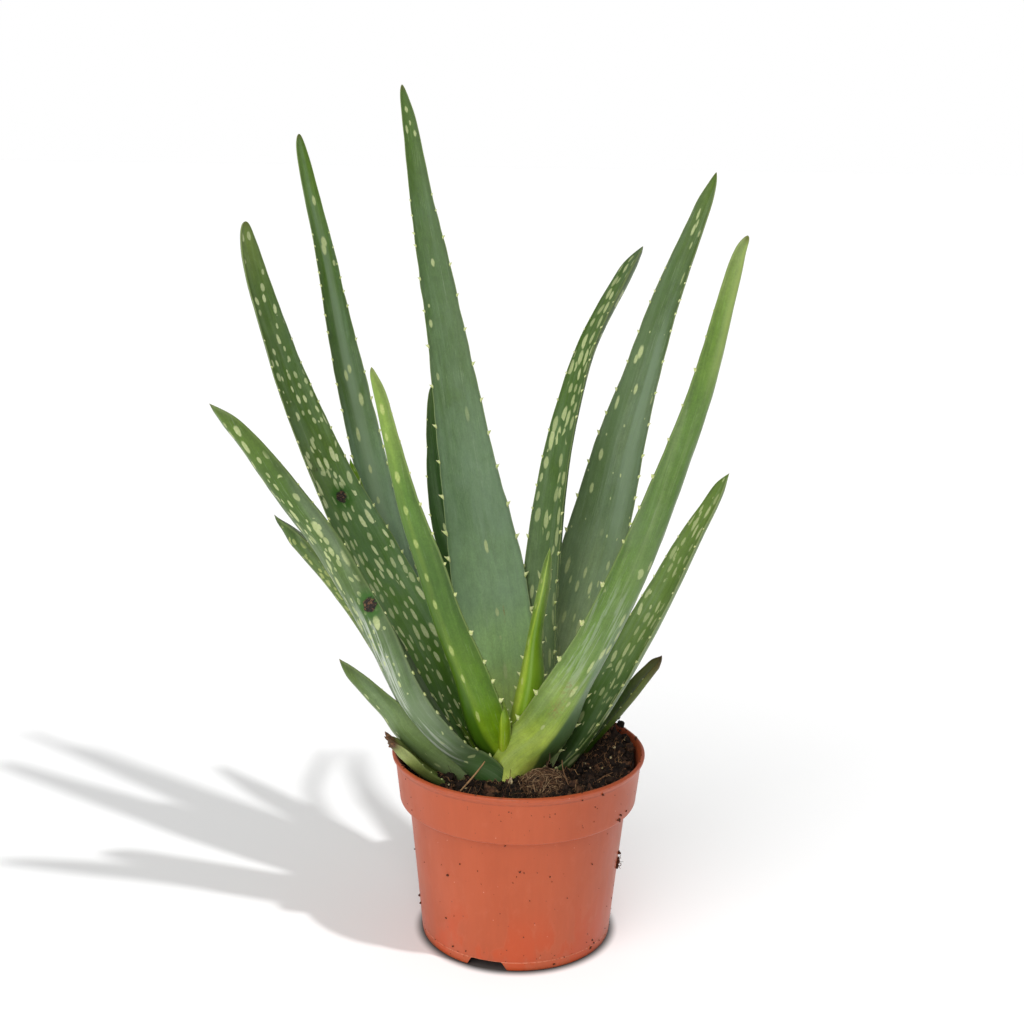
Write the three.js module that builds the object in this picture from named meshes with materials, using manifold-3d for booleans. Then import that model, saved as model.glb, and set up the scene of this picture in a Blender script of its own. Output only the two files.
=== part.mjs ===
// Potted aloe plant: a 12 cm nursery pot, its potting soil, one short stem with its main roots,
// and a rosette of seventeen leaves. Millimetres, +Z up. The origin is the centre of the pot's
// underside, on the surface it stands on; -Y is the front.
import * as THREE from 'three';
import { mergeVertices } from 'three/addons/utils/BufferGeometryUtils.js';
import Module from 'manifold-3d';

const wasm = await Module();
wasm.setup();

// ---------------------------------------------------------------- driving dimensions (mm)
const GAP = 0.32;                 // clearance kept between touching pieces
const CUT = 0.42;                 // how far a leaf is swollen before its neighbours are cut back from it
const POT_H = 92.2;               // height of the pot over its lip
const LIP_R = 60.0;               // outer radius of the rolled lip (a 12 cm pot)
const BAND_R_TOP = 58.3;          // rim band, just under the lip
const BAND_R_LOW = 56.2;          // rim band, at its lower edge
const BAND_Z = 68.1;              // height of the band's lower edge
const BODY_R_TOP = 51.9;          // tapered body, just under the band
const BASE_R = 45.3;              // outer radius at the foot
const WALL = 1.5;                 // wall thickness
const FLOOR_Z = 4.6;              // underside of the raised floor
const FLOOR_T = 1.6;              // floor thickness
const PAD_R = 15;                 // central pad that reaches down to the resting surface
const FOOT_W = 3.4;               // width of the foot ring
const NOTCH_LOW_W = 20;           // drainage notch in the foot ring: width at the bottom
const NOTCH_TOP_W = 14.5;         // and at its top
const NOTCH_ANGLES = [-107.5, 12.5, 132.5];   // degrees, one shows at the front left
const HOLE_R = 4.2;               // round drainage holes in the floor
const HOLE_PCD_R = 30;
const SOIL_Z = 83.5;              // mean height of the soil
const CROWN = [-5, -4];           // where the rosette stands in the pot (x, y)
const STEM_R = 6.2;
const STEM_TOP = 86;
const STEM_FOOT = 52;
const PTS = 359;                  // seed of the soil's small undulation

// Leaves. One row per station along a leaf, from its base to its tip:
// [share of the length, centre x, y, z, half-width, inner-face direction x, y, z, channel depth, thickness]
// the last two as shares of the half-width. keel is the roundness of the back (low = keeled).
const LEAVES = {
  leaf_tall_centre: { keel: 2.3, rows: [
    [0, -5.7, 2.0, 80.0, 14.0, 0.12, -0.95, 0.27, 0.42, 0.26],
    [0.05, -6.4, 6.5, 95.8, 15.5, 0.11, -0.96, 0.27, 0.40, 0.27],
    [0.11, -7.7, 11.2, 115.0, 16.9, 0.10, -0.97, 0.24, 0.34, 0.28],
    [0.18, -10.5, 16.4, 137.3, 17.9, 0.09, -0.97, 0.23, 0.26, 0.31],
    [0.26, -14.5, 22.1, 162.8, 18.2, 0.09, -0.97, 0.23, 0.20, 0.34],
    [0.35, -19.9, 28.2, 191.3, 16.2, 0.07, -0.97, 0.23, 0.20, 0.34],
    [0.45, -26.5, 34.9, 222.9, 13.4, 0.09, -0.97, 0.22, 0.20, 0.34],
    [0.55, -32.2, 41.5, 254.7, 11.2, 0.08, -0.97, 0.22, 0.20, 0.34],
    [0.65, -38.0, 47.9, 286.5, 9.0, 0.09, -0.97, 0.21, 0.19, 0.36],
    [0.75, -44.3, 54.3, 318.3, 7.5, 0.08, -0.97, 0.21, 0.16, 0.47],
    [0.84, -50.2, 60.0, 346.8, 5.4, 0.08, -0.97, 0.21, 0.13, 0.61],
    [0.91, -54.0, 64.4, 369.1, 4.1, 0.09, -0.97, 0.21, 0.11, 0.70],
    [0.96, -57.0, 67.5, 385.1, 3.0, 0.08, -0.97, 0.22, 0.10, 0.74],
    [0.985, -58.9, 69.3, 392.9, 1.8, 0.08, -0.98, 0.20, 0.10, 0.75],
    [1, -59.8, 70.0, 397.7, 0.0, 0.08, -0.98, 0.20, 0.10, 0.75],
  ] },
  leaf_back_left: { keel: 2.3, rows: [
    [0, -9.7, 0.5, 78.0, 13.0, 0.37, -0.85, 0.36, 0.56, 0.26],
    [0.05, -19.7, 2.9, 91.2, 12.5, 0.27, -0.72, 0.63, 0.54, 0.27],
    [0.11, -29.9, 15.5, 103.0, 12.0, 0.37, -0.39, 0.85, 0.48, 0.30],
    [0.18, -40.8, 30.6, 117.1, 11.5, 0.38, -0.66, 0.65, 0.40, 0.35],
    [0.26, -51.6, 41.0, 139.6, 10.9, 0.47, -0.73, 0.49, 0.34, 0.39],
    [0.35, -61.4, 50.6, 166.7, 10.3, 0.51, -0.76, 0.40, 0.34, 0.40],
    [0.45, -70.6, 59.4, 198.0, 9.7, 0.53, -0.77, 0.35, 0.34, 0.40],
    [0.55, -78.9, 67.5, 229.7, 9.3, 0.54, -0.78, 0.33, 0.34, 0.40],
    [0.65, -86.9, 75.2, 261.6, 8.4, 0.54, -0.78, 0.33, 0.31, 0.42],
    [0.75, -94.3, 82.3, 293.8, 6.5, 0.56, -0.79, 0.27, 0.24, 0.51],
    [0.84, -100.6, 88.5, 322.9, 5.1, 0.54, -0.78, 0.31, 0.17, 0.63],
    [0.91, -106.4, 93.9, 345.1, 4.2, 0.54, -0.78, 0.33, 0.12, 0.70],
    [0.96, -110.3, 97.7, 361.1, 3.6, 0.55, -0.78, 0.30, 0.11, 0.74],
    [0.985, -112.2, 99.4, 369.2, 2.4, 0.55, -0.79, 0.27, 0.10, 0.75],
    [1, -113.0, 100.3, 374.1, 0.0, 0.56, -0.79, 0.27, 0.10, 0.75],
  ] },
  leaf_young_left: { keel: 1.45, rows: [
    [0, -7.2, -6.0, 86.0, 8.0, 0.43, 0.89, 0.16, 0.68, 0.26],
    [0.05, -10.3, -6.6, 96.0, 10.8, 0.38, 0.87, 0.32, 0.66, 0.27],
    [0.11, -14.3, -10.4, 107.4, 12.6, 0.46, 0.78, 0.43, 0.60, 0.30],
    [0.18, -17.5, -15.7, 120.8, 12.6, 0.56, 0.74, 0.36, 0.52, 0.35],
    [0.26, -21.4, -19.7, 136.6, 11.9, 0.65, 0.66, 0.36, 0.46, 0.39],
    [0.35, -27.0, -24.9, 154.0, 11.2, 0.67, 0.60, 0.44, 0.46, 0.40],
    [0.45, -33.7, -30.7, 173.1, 9.8, 0.69, 0.62, 0.37, 0.46, 0.40],
    [0.55, -39.3, -35.8, 192.8, 9.2, 0.68, 0.62, 0.39, 0.46, 0.40],
    [0.65, -45.6, -41.2, 212.1, 8.1, 0.68, 0.62, 0.38, 0.41, 0.42],
    [0.75, -51.1, -46.0, 231.9, 6.3, 0.71, 0.64, 0.31, 0.31, 0.51],
    [0.84, -55.3, -49.6, 250.0, 5.0, 0.71, 0.64, 0.28, 0.20, 0.63],
    [0.91, -58.4, -52.4, 264.1, 4.1, 0.71, 0.64, 0.30, 0.14, 0.70],
    [0.96, -60.9, -54.7, 274.1, 3.4, 0.69, 0.63, 0.36, 0.11, 0.74],
    [0.985, -62.6, -56.0, 278.9, 1.9, 0.68, 0.63, 0.39, 0.10, 0.75],
    [1, -63.5, -56.7, 281.8, 0.0, 0.67, 0.63, 0.39, 0.10, 0.75],
  ] },
  leaf_left_spotted: { keel: 2.3, rows: [
    [0, -11.2, -0.7, 76.0, 14.0, 0.69, -0.68, 0.24, 0.47, 0.26],
    [0.05, -16.1, -0.1, 89.9, 14.6, 0.60, -0.67, 0.44, 0.45, 0.27],
    [0.11, -25.9, 5.3, 103.5, 15.2, 0.52, -0.54, 0.66, 0.39, 0.30],
    [0.18, -35.8, 12.6, 120.0, 15.6, 0.59, -0.62, 0.52, 0.31, 0.34],
    [0.26, -47.1, 18.6, 140.0, 15.8, 0.57, -0.63, 0.54, 0.25, 0.37],
    [0.35, -60.6, 25.8, 161.7, 15.9, 0.56, -0.62, 0.55, 0.25, 0.38],
    [0.45, -75.6, 33.7, 185.9, 15.1, 0.56, -0.63, 0.55, 0.25, 0.38],
    [0.55, -89.9, 41.3, 210.7, 12.6, 0.59, -0.63, 0.50, 0.25, 0.38],
    [0.65, -102.4, 47.9, 236.6, 11.0, 0.63, -0.64, 0.44, 0.23, 0.40],
    [0.75, -113.8, 53.9, 263.2, 9.2, 0.65, -0.65, 0.40, 0.19, 0.50],
    [0.84, -122.5, 58.7, 287.9, 7.7, 0.68, -0.65, 0.34, 0.14, 0.62],
    [0.91, -129.0, 62.0, 307.3, 6.5, 0.68, -0.66, 0.32, 0.12, 0.70],
    [0.96, -132.7, 64.0, 321.4, 5.2, 0.72, -0.66, 0.22, 0.10, 0.74],
    [0.985, -134.1, 64.6, 328.7, 3.4, 0.73, -0.67, 0.18, 0.10, 0.75],
    [1, -134.6, 64.9, 333.1, 0.0, 0.73, -0.67, 0.17, 0.10, 0.75],
  ] },
  leaf_centre_young: { keel: 1.6, rows: [
    [0, -3.1, -5.7, 87.0, 6.0, 0.14, 0.99, -0.01, 0.64, 0.26],
    [0.05, -1.6, -6.0, 92.4, 6.3, 0.17, 0.98, 0.09, 0.62, 0.27],
    [0.11, -0.0, -7.4, 98.7, 6.5, 0.20, 0.95, 0.24, 0.56, 0.31],
    [0.18, 1.4, -9.6, 106.1, 6.7, 0.18, 0.97, 0.19, 0.48, 0.36],
    [0.26, 3.1, -11.3, 114.7, 6.7, 0.17, 0.98, 0.14, 0.42, 0.41],
    [0.35, 4.7, -12.8, 124.5, 6.5, 0.15, 0.98, 0.10, 0.42, 0.42],
    [0.45, 5.8, -13.7, 135.6, 5.6, 0.14, 0.99, 0.04, 0.42, 0.42],
    [0.55, 6.2, -14.1, 146.8, 3.9, 0.14, 0.99, 0.04, 0.42, 0.42],
    [0.65, 7.3, -15.1, 157.8, 3.1, 0.15, 0.98, 0.10, 0.38, 0.43],
    [0.75, 8.9, -16.5, 168.8, 2.9, 0.16, 0.98, 0.11, 0.29, 0.52],
    [0.84, 10.5, -17.9, 178.6, 2.7, 0.15, 0.98, 0.10, 0.19, 0.63],
    [0.91, 11.4, -18.8, 186.3, 2.1, 0.15, 0.98, 0.09, 0.13, 0.71],
    [0.96, 12.2, -19.4, 191.9, 1.3, 0.15, 0.99, 0.08, 0.11, 0.74],
    [0.985, 12.4, -19.7, 194.6, 0.4, 0.14, 0.99, 0.07, 0.10, 0.75],
    [1, 12.5, -19.8, 196.3, 0.0, 0.14, 0.99, 0.07, 0.10, 0.75],
  ] },
  leaf_centre_tiny: { keel: 2.3, rows: [
    [0, -6.2, -13.9, 94.0, 3.0, 0.16, 0.84, 0.52, 0.52, 0.26],
    [0.05, -6.3, -14.8, 95.4, 3.0, 0.16, 0.87, 0.46, 0.50, 0.29],
    [0.11, -6.5, -15.5, 97.2, 3.0, 0.16, 0.92, 0.36, 0.44, 0.36],
    [0.18, -6.6, -16.3, 99.3, 3.0, 0.17, 0.94, 0.31, 0.36, 0.48],
    [0.26, -6.7, -17.0, 101.8, 3.1, 0.18, 0.94, 0.28, 0.30, 0.58],
    [0.35, -6.7, -17.8, 104.7, 3.1, 0.18, 0.95, 0.26, 0.30, 0.60],
    [0.45, -6.7, -18.6, 107.8, 3.1, 0.18, 0.95, 0.24, 0.30, 0.60],
    [0.55, -6.8, -19.4, 111.0, 3.1, 0.18, 0.96, 0.23, 0.30, 0.60],
    [0.65, -6.9, -20.1, 114.2, 2.9, 0.16, 0.96, 0.23, 0.27, 0.61],
    [0.75, -7.2, -20.8, 117.3, 2.4, 0.15, 0.96, 0.23, 0.22, 0.65],
    [0.84, -7.5, -21.4, 120.2, 1.7, 0.16, 0.96, 0.22, 0.16, 0.70],
    [0.91, -7.7, -21.9, 122.4, 1.1, 0.17, 0.96, 0.21, 0.12, 0.73],
    [0.96, -7.8, -22.2, 124.0, 0.5, 0.17, 0.96, 0.21, 0.10, 0.75],
    [0.985, -7.8, -22.4, 124.8, 0.1, 0.17, 0.97, 0.20, 0.10, 0.75],
    [1, -7.8, -22.5, 125.3, 0.0, 0.17, 0.97, 0.19, 0.10, 0.75],
  ] },
  leaf_front_right: { keel: 1.5, rows: [
    [0, -6.7, -13.8, 80.0, 11.0, -0.19, 0.98, -0.04, 0.58, 0.26],
    [0.05, -0.7, -12.4, 92.1, 12.6, -0.12, 0.99, 0.07, 0.56, 0.27],
    [0.11, 9.5, -14.8, 105.4, 14.4, -0.10, 0.93, 0.35, 0.50, 0.31],
    [0.18, 17.1, -21.3, 122.7, 14.2, -0.34, 0.84, 0.43, 0.42, 0.36],
    [0.26, 24.9, -28.0, 143.0, 14.5, -0.55, 0.70, 0.45, 0.36, 0.41],
    [0.35, 34.5, -35.8, 165.6, 13.6, -0.62, 0.62, 0.48, 0.36, 0.42],
    [0.45, 44.4, -43.5, 191.2, 12.6, -0.66, 0.63, 0.41, 0.36, 0.42],
    [0.55, 53.6, -50.5, 217.3, 11.2, -0.67, 0.64, 0.37, 0.36, 0.42],
    [0.65, 62.0, -56.9, 243.8, 9.8, -0.67, 0.64, 0.37, 0.33, 0.43],
    [0.75, 69.8, -62.9, 270.6, 7.9, -0.69, 0.66, 0.30, 0.25, 0.52],
    [0.84, 75.4, -67.2, 295.3, 6.4, -0.70, 0.66, 0.26, 0.18, 0.63],
    [0.91, 79.3, -70.2, 314.7, 5.2, -0.70, 0.66, 0.25, 0.13, 0.71],
    [0.96, 82.2, -72.6, 328.5, 4.3, -0.69, 0.65, 0.31, 0.11, 0.74],
    [0.985, 84.2, -74.1, 335.1, 2.9, -0.63, 0.64, 0.44, 0.10, 0.75],
    [1, 86.2, -75.3, 338.7, 0.0, -0.62, 0.64, 0.46, 0.10, 0.75],
  ] },
  leaf_right_dark: { keel: 2.3, rows: [
    [0, -0.5, 0.0, 79.0, 14.0, -0.51, -0.80, 0.32, 0.42, 0.26],
    [0.05, 6.6, 1.5, 92.6, 15.4, -0.49, -0.73, 0.48, 0.40, 0.27],
    [0.11, 13.6, 9.9, 107.4, 16.7, -0.56, -0.57, 0.60, 0.34, 0.28],
    [0.18, 19.4, 18.2, 126.2, 17.7, -0.60, -0.73, 0.32, 0.26, 0.31],
    [0.26, 25.3, 23.6, 149.6, 18.3, -0.59, -0.73, 0.35, 0.20, 0.34],
    [0.35, 32.6, 30.2, 175.6, 18.5, -0.59, -0.73, 0.35, 0.20, 0.34],
    [0.45, 40.2, 36.9, 204.8, 16.8, -0.61, -0.74, 0.29, 0.20, 0.34],
    [0.55, 47.4, 43.4, 234.1, 14.1, -0.59, -0.73, 0.35, 0.20, 0.34],
    [0.65, 56.2, 51.2, 262.7, 10.6, -0.58, -0.72, 0.38, 0.19, 0.36],
    [0.75, 65.1, 59.3, 291.1, 8.7, -0.57, -0.71, 0.41, 0.16, 0.47],
    [0.84, 74.6, 67.8, 315.9, 6.8, -0.54, -0.70, 0.48, 0.13, 0.61],
    [0.91, 82.5, 74.9, 334.7, 5.2, -0.53, -0.69, 0.48, 0.11, 0.70],
    [0.96, 88.1, 79.9, 348.2, 4.0, -0.53, -0.70, 0.48, 0.10, 0.74],
    [0.985, 91.0, 82.4, 354.9, 1.9, -0.54, -0.70, 0.47, 0.10, 0.75],
    [1, 92.5, 83.8, 359.0, 0.0, -0.54, -0.70, 0.47, 0.10, 0.75],
  ] },
  leaf_back_right: { keel: 2.3, rows: [
    [0, -1.3, 1.9, 76.0, 13.0, -0.70, -0.67, 0.23, 0.46, 0.26],
    [0.05, 2.2, 3.4, 89.7, 13.0, -0.71, -0.60, 0.36, 0.44, 0.27],
    [0.11, 5.2, 11.5, 104.4, 12.9, -0.75, -0.50, 0.42, 0.38, 0.31],
    [0.18, 7.6, 17.3, 123.0, 12.7, -0.74, -0.66, 0.12, 0.30, 0.36],
    [0.26, 8.1, 18.0, 145.8, 12.3, -0.74, -0.67, 0.02, 0.24, 0.41],
    [0.35, 9.0, 19.4, 171.4, 11.7, -0.74, -0.66, 0.11, 0.24, 0.42],
    [0.45, 11.6, 23.3, 199.6, 10.4, -0.73, -0.65, 0.21, 0.24, 0.42],
    [0.55, 15.5, 29.5, 227.1, 9.2, -0.73, -0.62, 0.30, 0.24, 0.42],
    [0.65, 21.5, 39.2, 253.2, 7.9, -0.71, -0.55, 0.45, 0.22, 0.43],
    [0.75, 29.3, 52.1, 277.4, 6.7, -0.69, -0.43, 0.58, 0.18, 0.52],
    [0.84, 38.8, 67.8, 295.3, 6.6, -0.66, -0.29, 0.69, 0.14, 0.63],
    [0.91, 46.9, 80.9, 308.0, 5.9, -0.66, -0.25, 0.71, 0.11, 0.71],
    [0.96, 53.0, 90.6, 316.4, 4.8, -0.61, -0.17, 0.77, 0.10, 0.74],
    [0.985, 56.8, 95.6, 319.9, 2.1, -0.58, -0.14, 0.80, 0.10, 0.75],
    [1, 59.1, 98.6, 321.8, 0.0, -0.57, -0.14, 0.81, 0.10, 0.75],
  ] },
  leaf_right_spotted: { keel: 2.3, rows: [
    [0, 2.0, -3.3, 76.0, 13.0, -0.53, -0.10, 0.84, 0.50, 0.26],
    [0.05, 9.2, -2.8, 81.1, 12.1, -0.65, -0.04, 0.76, 0.48, 0.27],
    [0.11, 17.2, -1.6, 88.2, 11.3, -0.69, -0.10, 0.72, 0.42, 0.31],
    [0.18, 25.1, -0.6, 97.7, 10.7, -0.77, -0.30, 0.57, 0.34, 0.38],
    [0.26, 32.8, 0.2, 109.7, 10.5, -0.76, -0.43, 0.48, 0.28, 0.43],
    [0.35, 40.5, 0.9, 123.7, 10.8, -0.77, -0.48, 0.43, 0.28, 0.44],
    [0.45, 48.9, 1.8, 139.4, 10.7, -0.76, -0.48, 0.44, 0.28, 0.44],
    [0.55, 57.2, 2.7, 155.2, 10.1, -0.77, -0.48, 0.42, 0.28, 0.44],
    [0.65, 65.4, 3.5, 171.0, 9.0, -0.77, -0.48, 0.42, 0.26, 0.45],
    [0.75, 73.2, 4.3, 187.0, 7.8, -0.78, -0.48, 0.41, 0.20, 0.54],
    [0.84, 80.6, 5.1, 201.2, 6.0, -0.76, -0.48, 0.44, 0.15, 0.64],
    [0.91, 86.7, 5.7, 212.1, 4.6, -0.76, -0.48, 0.44, 0.12, 0.71],
    [0.96, 90.9, 6.2, 220.0, 3.3, -0.73, -0.49, 0.47, 0.10, 0.74],
    [0.985, 93.4, 6.4, 223.6, 1.1, -0.69, -0.51, 0.52, 0.10, 0.75],
    [1, 95.0, 6.5, 225.7, 0.0, -0.68, -0.51, 0.53, 0.10, 0.75],
  ] },
  leaf_front_left: { keel: 2.3, rows: [
    [0, -8.0, -14.6, 77.0, 9.0, 0.72, 0.69, 0.08, 0.56, 0.26],
    [0.05, -12.8, -12.3, 86.2, 11.2, 0.63, 0.64, 0.44, 0.54, 0.28],
    [0.11, -22.1, -10.0, 96.0, 13.7, 0.74, 0.38, 0.56, 0.48, 0.33],
    [0.18, -32.0, -12.1, 108.4, 16.0, 0.76, 0.22, 0.61, 0.40, 0.42],
    [0.26, -41.8, -15.2, 123.7, 16.7, 0.84, 0.15, 0.51, 0.34, 0.49],
    [0.35, -51.0, -18.1, 142.0, 15.6, 0.89, 0.14, 0.43, 0.34, 0.50],
    [0.45, -61.2, -20.9, 162.4, 14.3, 0.80, 0.26, 0.54, 0.34, 0.50],
    [0.55, -73.1, -24.0, 181.8, 11.7, 0.75, 0.41, 0.52, 0.34, 0.50],
    [0.65, -84.8, -27.2, 201.4, 10.9, 0.66, 0.51, 0.55, 0.31, 0.51],
    [0.75, -97.8, -30.8, 220.0, 10.2, 0.64, 0.54, 0.54, 0.24, 0.58],
    [0.84, -109.5, -34.1, 236.8, 8.6, 0.62, 0.55, 0.56, 0.17, 0.66],
    [0.91, -119.1, -36.8, 249.4, 6.5, 0.57, 0.55, 0.62, 0.12, 0.72],
    [0.96, -126.9, -39.0, 257.5, 4.7, 0.47, 0.54, 0.70, 0.11, 0.74],
    [0.985, -131.4, -40.3, 260.9, 1.8, 0.40, 0.54, 0.74, 0.10, 0.75],
    [1, -134.1, -41.0, 262.9, 0.0, 0.39, 0.54, 0.75, 0.10, 0.75],
  ] },
  leaf_small_left: { keel: 2.3, rows: [
    [0, -12.0, -4.2, 74.0, 10.0, 0.62, 0.27, 0.74, 0.52, 0.26],
    [0.05, -18.3, -4.2, 79.5, 9.5, 0.68, 0.24, 0.70, 0.50, 0.28],
    [0.11, -25.1, -4.4, 86.9, 9.1, 0.74, 0.21, 0.64, 0.44, 0.33],
    [0.18, -32.5, -4.6, 96.0, 8.6, 0.76, 0.21, 0.62, 0.36, 0.42],
    [0.26, -40.8, -4.9, 106.6, 8.2, 0.79, 0.20, 0.57, 0.30, 0.49],
    [0.35, -49.3, -5.2, 119.1, 7.9, 0.83, 0.19, 0.52, 0.30, 0.50],
    [0.45, -57.3, -5.6, 133.8, 7.7, 0.87, 0.19, 0.45, 0.30, 0.50],
    [0.55, -65.4, -5.8, 148.5, 7.6, 0.84, 0.19, 0.51, 0.30, 0.50],
    [0.65, -74.4, -6.1, 162.7, 7.6, 0.82, 0.20, 0.54, 0.27, 0.51],
    [0.75, -83.8, -6.4, 176.6, 7.8, 0.80, 0.20, 0.56, 0.22, 0.58],
    [0.84, -92.8, -6.6, 188.7, 8.4, 0.75, 0.21, 0.63, 0.16, 0.66],
    [0.91, -100.8, -6.9, 197.3, 7.6, 0.65, 0.21, 0.73, 0.12, 0.72],
    [0.96, -107.4, -7.4, 202.4, 3.7, 0.56, 0.21, 0.80, 0.10, 0.74],
    [0.985, -110.9, -7.6, 204.8, 1.0, 0.59, 0.21, 0.78, 0.10, 0.75],
    [1, -112.7, -7.8, 206.5, 0.0, 0.59, 0.21, 0.78, 0.10, 0.75],
  ] },
  leaf_low_left: { keel: 2.3, rows: [
    [0, -11.8, -5.6, 73.0, 9.5, 0.48, 0.53, 0.70, 0.52, 0.26],
    [0.05, -15.8, -5.6, 76.1, 9.5, 0.58, 0.51, 0.64, 0.50, 0.28],
    [0.11, -19.8, -6.6, 80.5, 9.6, 0.48, 0.53, 0.70, 0.44, 0.33],
    [0.18, -25.2, -8.4, 84.6, 9.7, 0.39, 0.56, 0.73, 0.36, 0.42],
    [0.26, -31.4, -9.9, 89.6, 9.9, 0.47, 0.56, 0.68, 0.30, 0.49],
    [0.35, -38.0, -11.5, 95.7, 10.1, 0.49, 0.58, 0.65, 0.30, 0.50],
    [0.45, -44.9, -13.1, 102.9, 10.5, 0.51, 0.60, 0.62, 0.30, 0.50],
    [0.55, -51.6, -14.8, 110.3, 10.0, 0.57, 0.60, 0.57, 0.30, 0.50],
    [0.65, -58.0, -16.2, 118.0, 8.3, 0.51, 0.61, 0.60, 0.27, 0.51],
    [0.75, -64.9, -17.8, 125.2, 6.9, 0.50, 0.62, 0.60, 0.22, 0.58],
    [0.84, -71.1, -19.2, 131.7, 5.7, 0.48, 0.63, 0.61, 0.16, 0.66],
    [0.91, -76.1, -20.4, 136.6, 4.3, 0.46, 0.63, 0.63, 0.12, 0.72],
    [0.96, -79.6, -21.2, 140.1, 2.3, 0.46, 0.63, 0.62, 0.10, 0.74],
    [0.985, -81.4, -21.6, 141.8, 0.7, 0.48, 0.63, 0.61, 0.10, 0.75],
    [1, -82.4, -21.9, 142.9, 0.0, 0.48, 0.63, 0.61, 0.10, 0.75],
  ] },
  leaf_cut_stub: { keel: 2.3, rows: [
    [0, -12.4, -7.1, 73.0, 4.2, 0.47, 0.54, 0.70, 0.52, 0.26],
    [0.1, -17.4, -8.5, 76.1, 4.7, 0.54, -0.18, 0.82, 0.46, 0.32],
    [0.25, -25.1, -12.4, 79.6, 5.5, 0.33, -0.05, 0.94, 0.31, 0.48],
    [0.4, -33.1, -15.8, 83.2, 6.2, 0.48, 0.06, 0.88, 0.30, 0.50],
    [0.55, -40.3, -19.0, 88.3, 6.2, 0.60, 0.14, 0.79, 0.30, 0.50],
    [0.7, -46.4, -21.8, 94.8, 6.6, 0.72, 0.22, 0.66, 0.25, 0.54],
    [0.82, -50.9, -23.8, 100.5, 6.7, 0.72, 0.24, 0.65, 0.17, 0.64],
    [0.92, -55.3, -25.5, 104.5, 5.0, 0.52, 0.14, 0.84, 0.12, 0.72],
    [1, -59.4, -27.1, 106.8, 3.7, 0.39, 0.13, 0.91, 0.10, 0.75],
  ] },
  leaf_low_right: { keel: 2.3, rows: [
    [0, 1.6, -1.6, 74.0, 9.0, -0.26, -0.50, 0.83, 0.50, 0.26],
    [0.05, 5.9, -1.2, 75.7, 7.9, -0.43, -0.02, 0.90, 0.48, 0.28],
    [0.11, 10.6, 1.1, 77.7, 6.8, -0.56, 0.52, 0.64, 0.42, 0.33],
    [0.18, 15.9, 4.3, 79.8, 5.8, -0.38, 0.22, 0.90, 0.34, 0.42],
    [0.26, 22.4, 6.4, 82.8, 5.1, -0.53, 0.02, 0.85, 0.28, 0.49],
    [0.35, 29.0, 8.8, 87.5, 4.6, -0.62, -0.05, 0.79, 0.28, 0.50],
    [0.45, 35.3, 11.1, 94.1, 4.5, -0.73, -0.11, 0.67, 0.28, 0.50],
    [0.55, 41.2, 13.3, 101.0, 5.1, -0.74, -0.12, 0.66, 0.28, 0.50],
    [0.65, 47.1, 15.4, 108.1, 5.6, -0.75, -0.12, 0.65, 0.26, 0.51],
    [0.75, 52.7, 17.5, 115.3, 6.0, -0.77, -0.13, 0.63, 0.20, 0.58],
    [0.84, 58.0, 19.5, 121.6, 5.5, -0.70, -0.11, 0.70, 0.15, 0.66],
    [0.91, 62.5, 21.0, 126.2, 4.6, -0.67, -0.09, 0.73, 0.12, 0.72],
    [0.96, 66.0, 22.1, 129.1, 3.9, -0.58, -0.11, 0.81, 0.10, 0.74],
    [0.985, 67.9, 22.6, 130.4, 1.4, -0.58, -0.13, 0.80, 0.10, 0.75],
    [1, 68.9, 22.9, 131.4, 0.0, -0.59, -0.14, 0.80, 0.10, 0.75],
  ] },
  leaf_back_dark: { keel: 2.3, rows: [
    [0, -6.2, 2.9, 76.0, 13.0, 0.04, -0.59, 0.80, 0.47, 0.26],
    [0.05, -8.2, 10.8, 82.1, 12.2, 0.04, -0.69, 0.73, 0.45, 0.27],
    [0.11, -10.7, 18.4, 91.3, 11.5, 0.06, -0.80, 0.60, 0.39, 0.30],
    [0.18, -13.7, 26.2, 102.9, 10.9, 0.07, -0.83, 0.55, 0.31, 0.34],
    [0.26, -16.9, 34.4, 116.6, 10.5, 0.09, -0.86, 0.51, 0.25, 0.37],
    [0.35, -20.4, 42.9, 132.5, 10.2, 0.09, -0.87, 0.48, 0.25, 0.38],
    [0.45, -24.7, 51.9, 150.3, 10.2, 0.08, -0.89, 0.45, 0.25, 0.38],
    [0.55, -29.8, 60.4, 168.1, 10.7, 0.07, -0.90, 0.44, 0.25, 0.38],
    [0.65, -34.8, 68.5, 186.1, 10.7, 0.09, -0.90, 0.42, 0.23, 0.40],
    [0.75, -38.8, 76.4, 204.5, 9.4, 0.12, -0.91, 0.40, 0.19, 0.50],
    [0.84, -41.6, 83.2, 221.3, 7.1, 0.12, -0.91, 0.39, 0.14, 0.62],
    [0.91, -43.8, 88.4, 234.4, 5.2, 0.13, -0.92, 0.38, 0.12, 0.70],
    [0.96, -44.9, 92.2, 243.8, 3.9, 0.14, -0.91, 0.39, 0.10, 0.74],
    [0.985, -45.6, 94.2, 248.4, 2.1, 0.16, -0.92, 0.35, 0.10, 0.75],
    [1, -45.5, 95.0, 251.4, 0.0, 0.16, -0.93, 0.34, 0.10, 0.75],
  ] },
  leaf_bright_back: { keel: 2.3, rows: [
    [0, -9.9, -0.5, 81.0, 6.0, 0.52, -0.76, 0.40, 0.57, 0.26],
    [0.05, -14.6, 0.3, 87.9, 5.9, 0.46, -0.67, 0.58, 0.55, 0.28],
    [0.11, -20.0, 5.3, 94.8, 5.7, 0.48, -0.39, 0.78, 0.49, 0.33],
    [0.18, -26.2, 11.5, 102.5, 5.5, 0.48, -0.58, 0.66, 0.41, 0.42],
    [0.26, -33.2, 16.6, 113.0, 5.2, 0.51, -0.61, 0.61, 0.35, 0.49],
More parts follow.
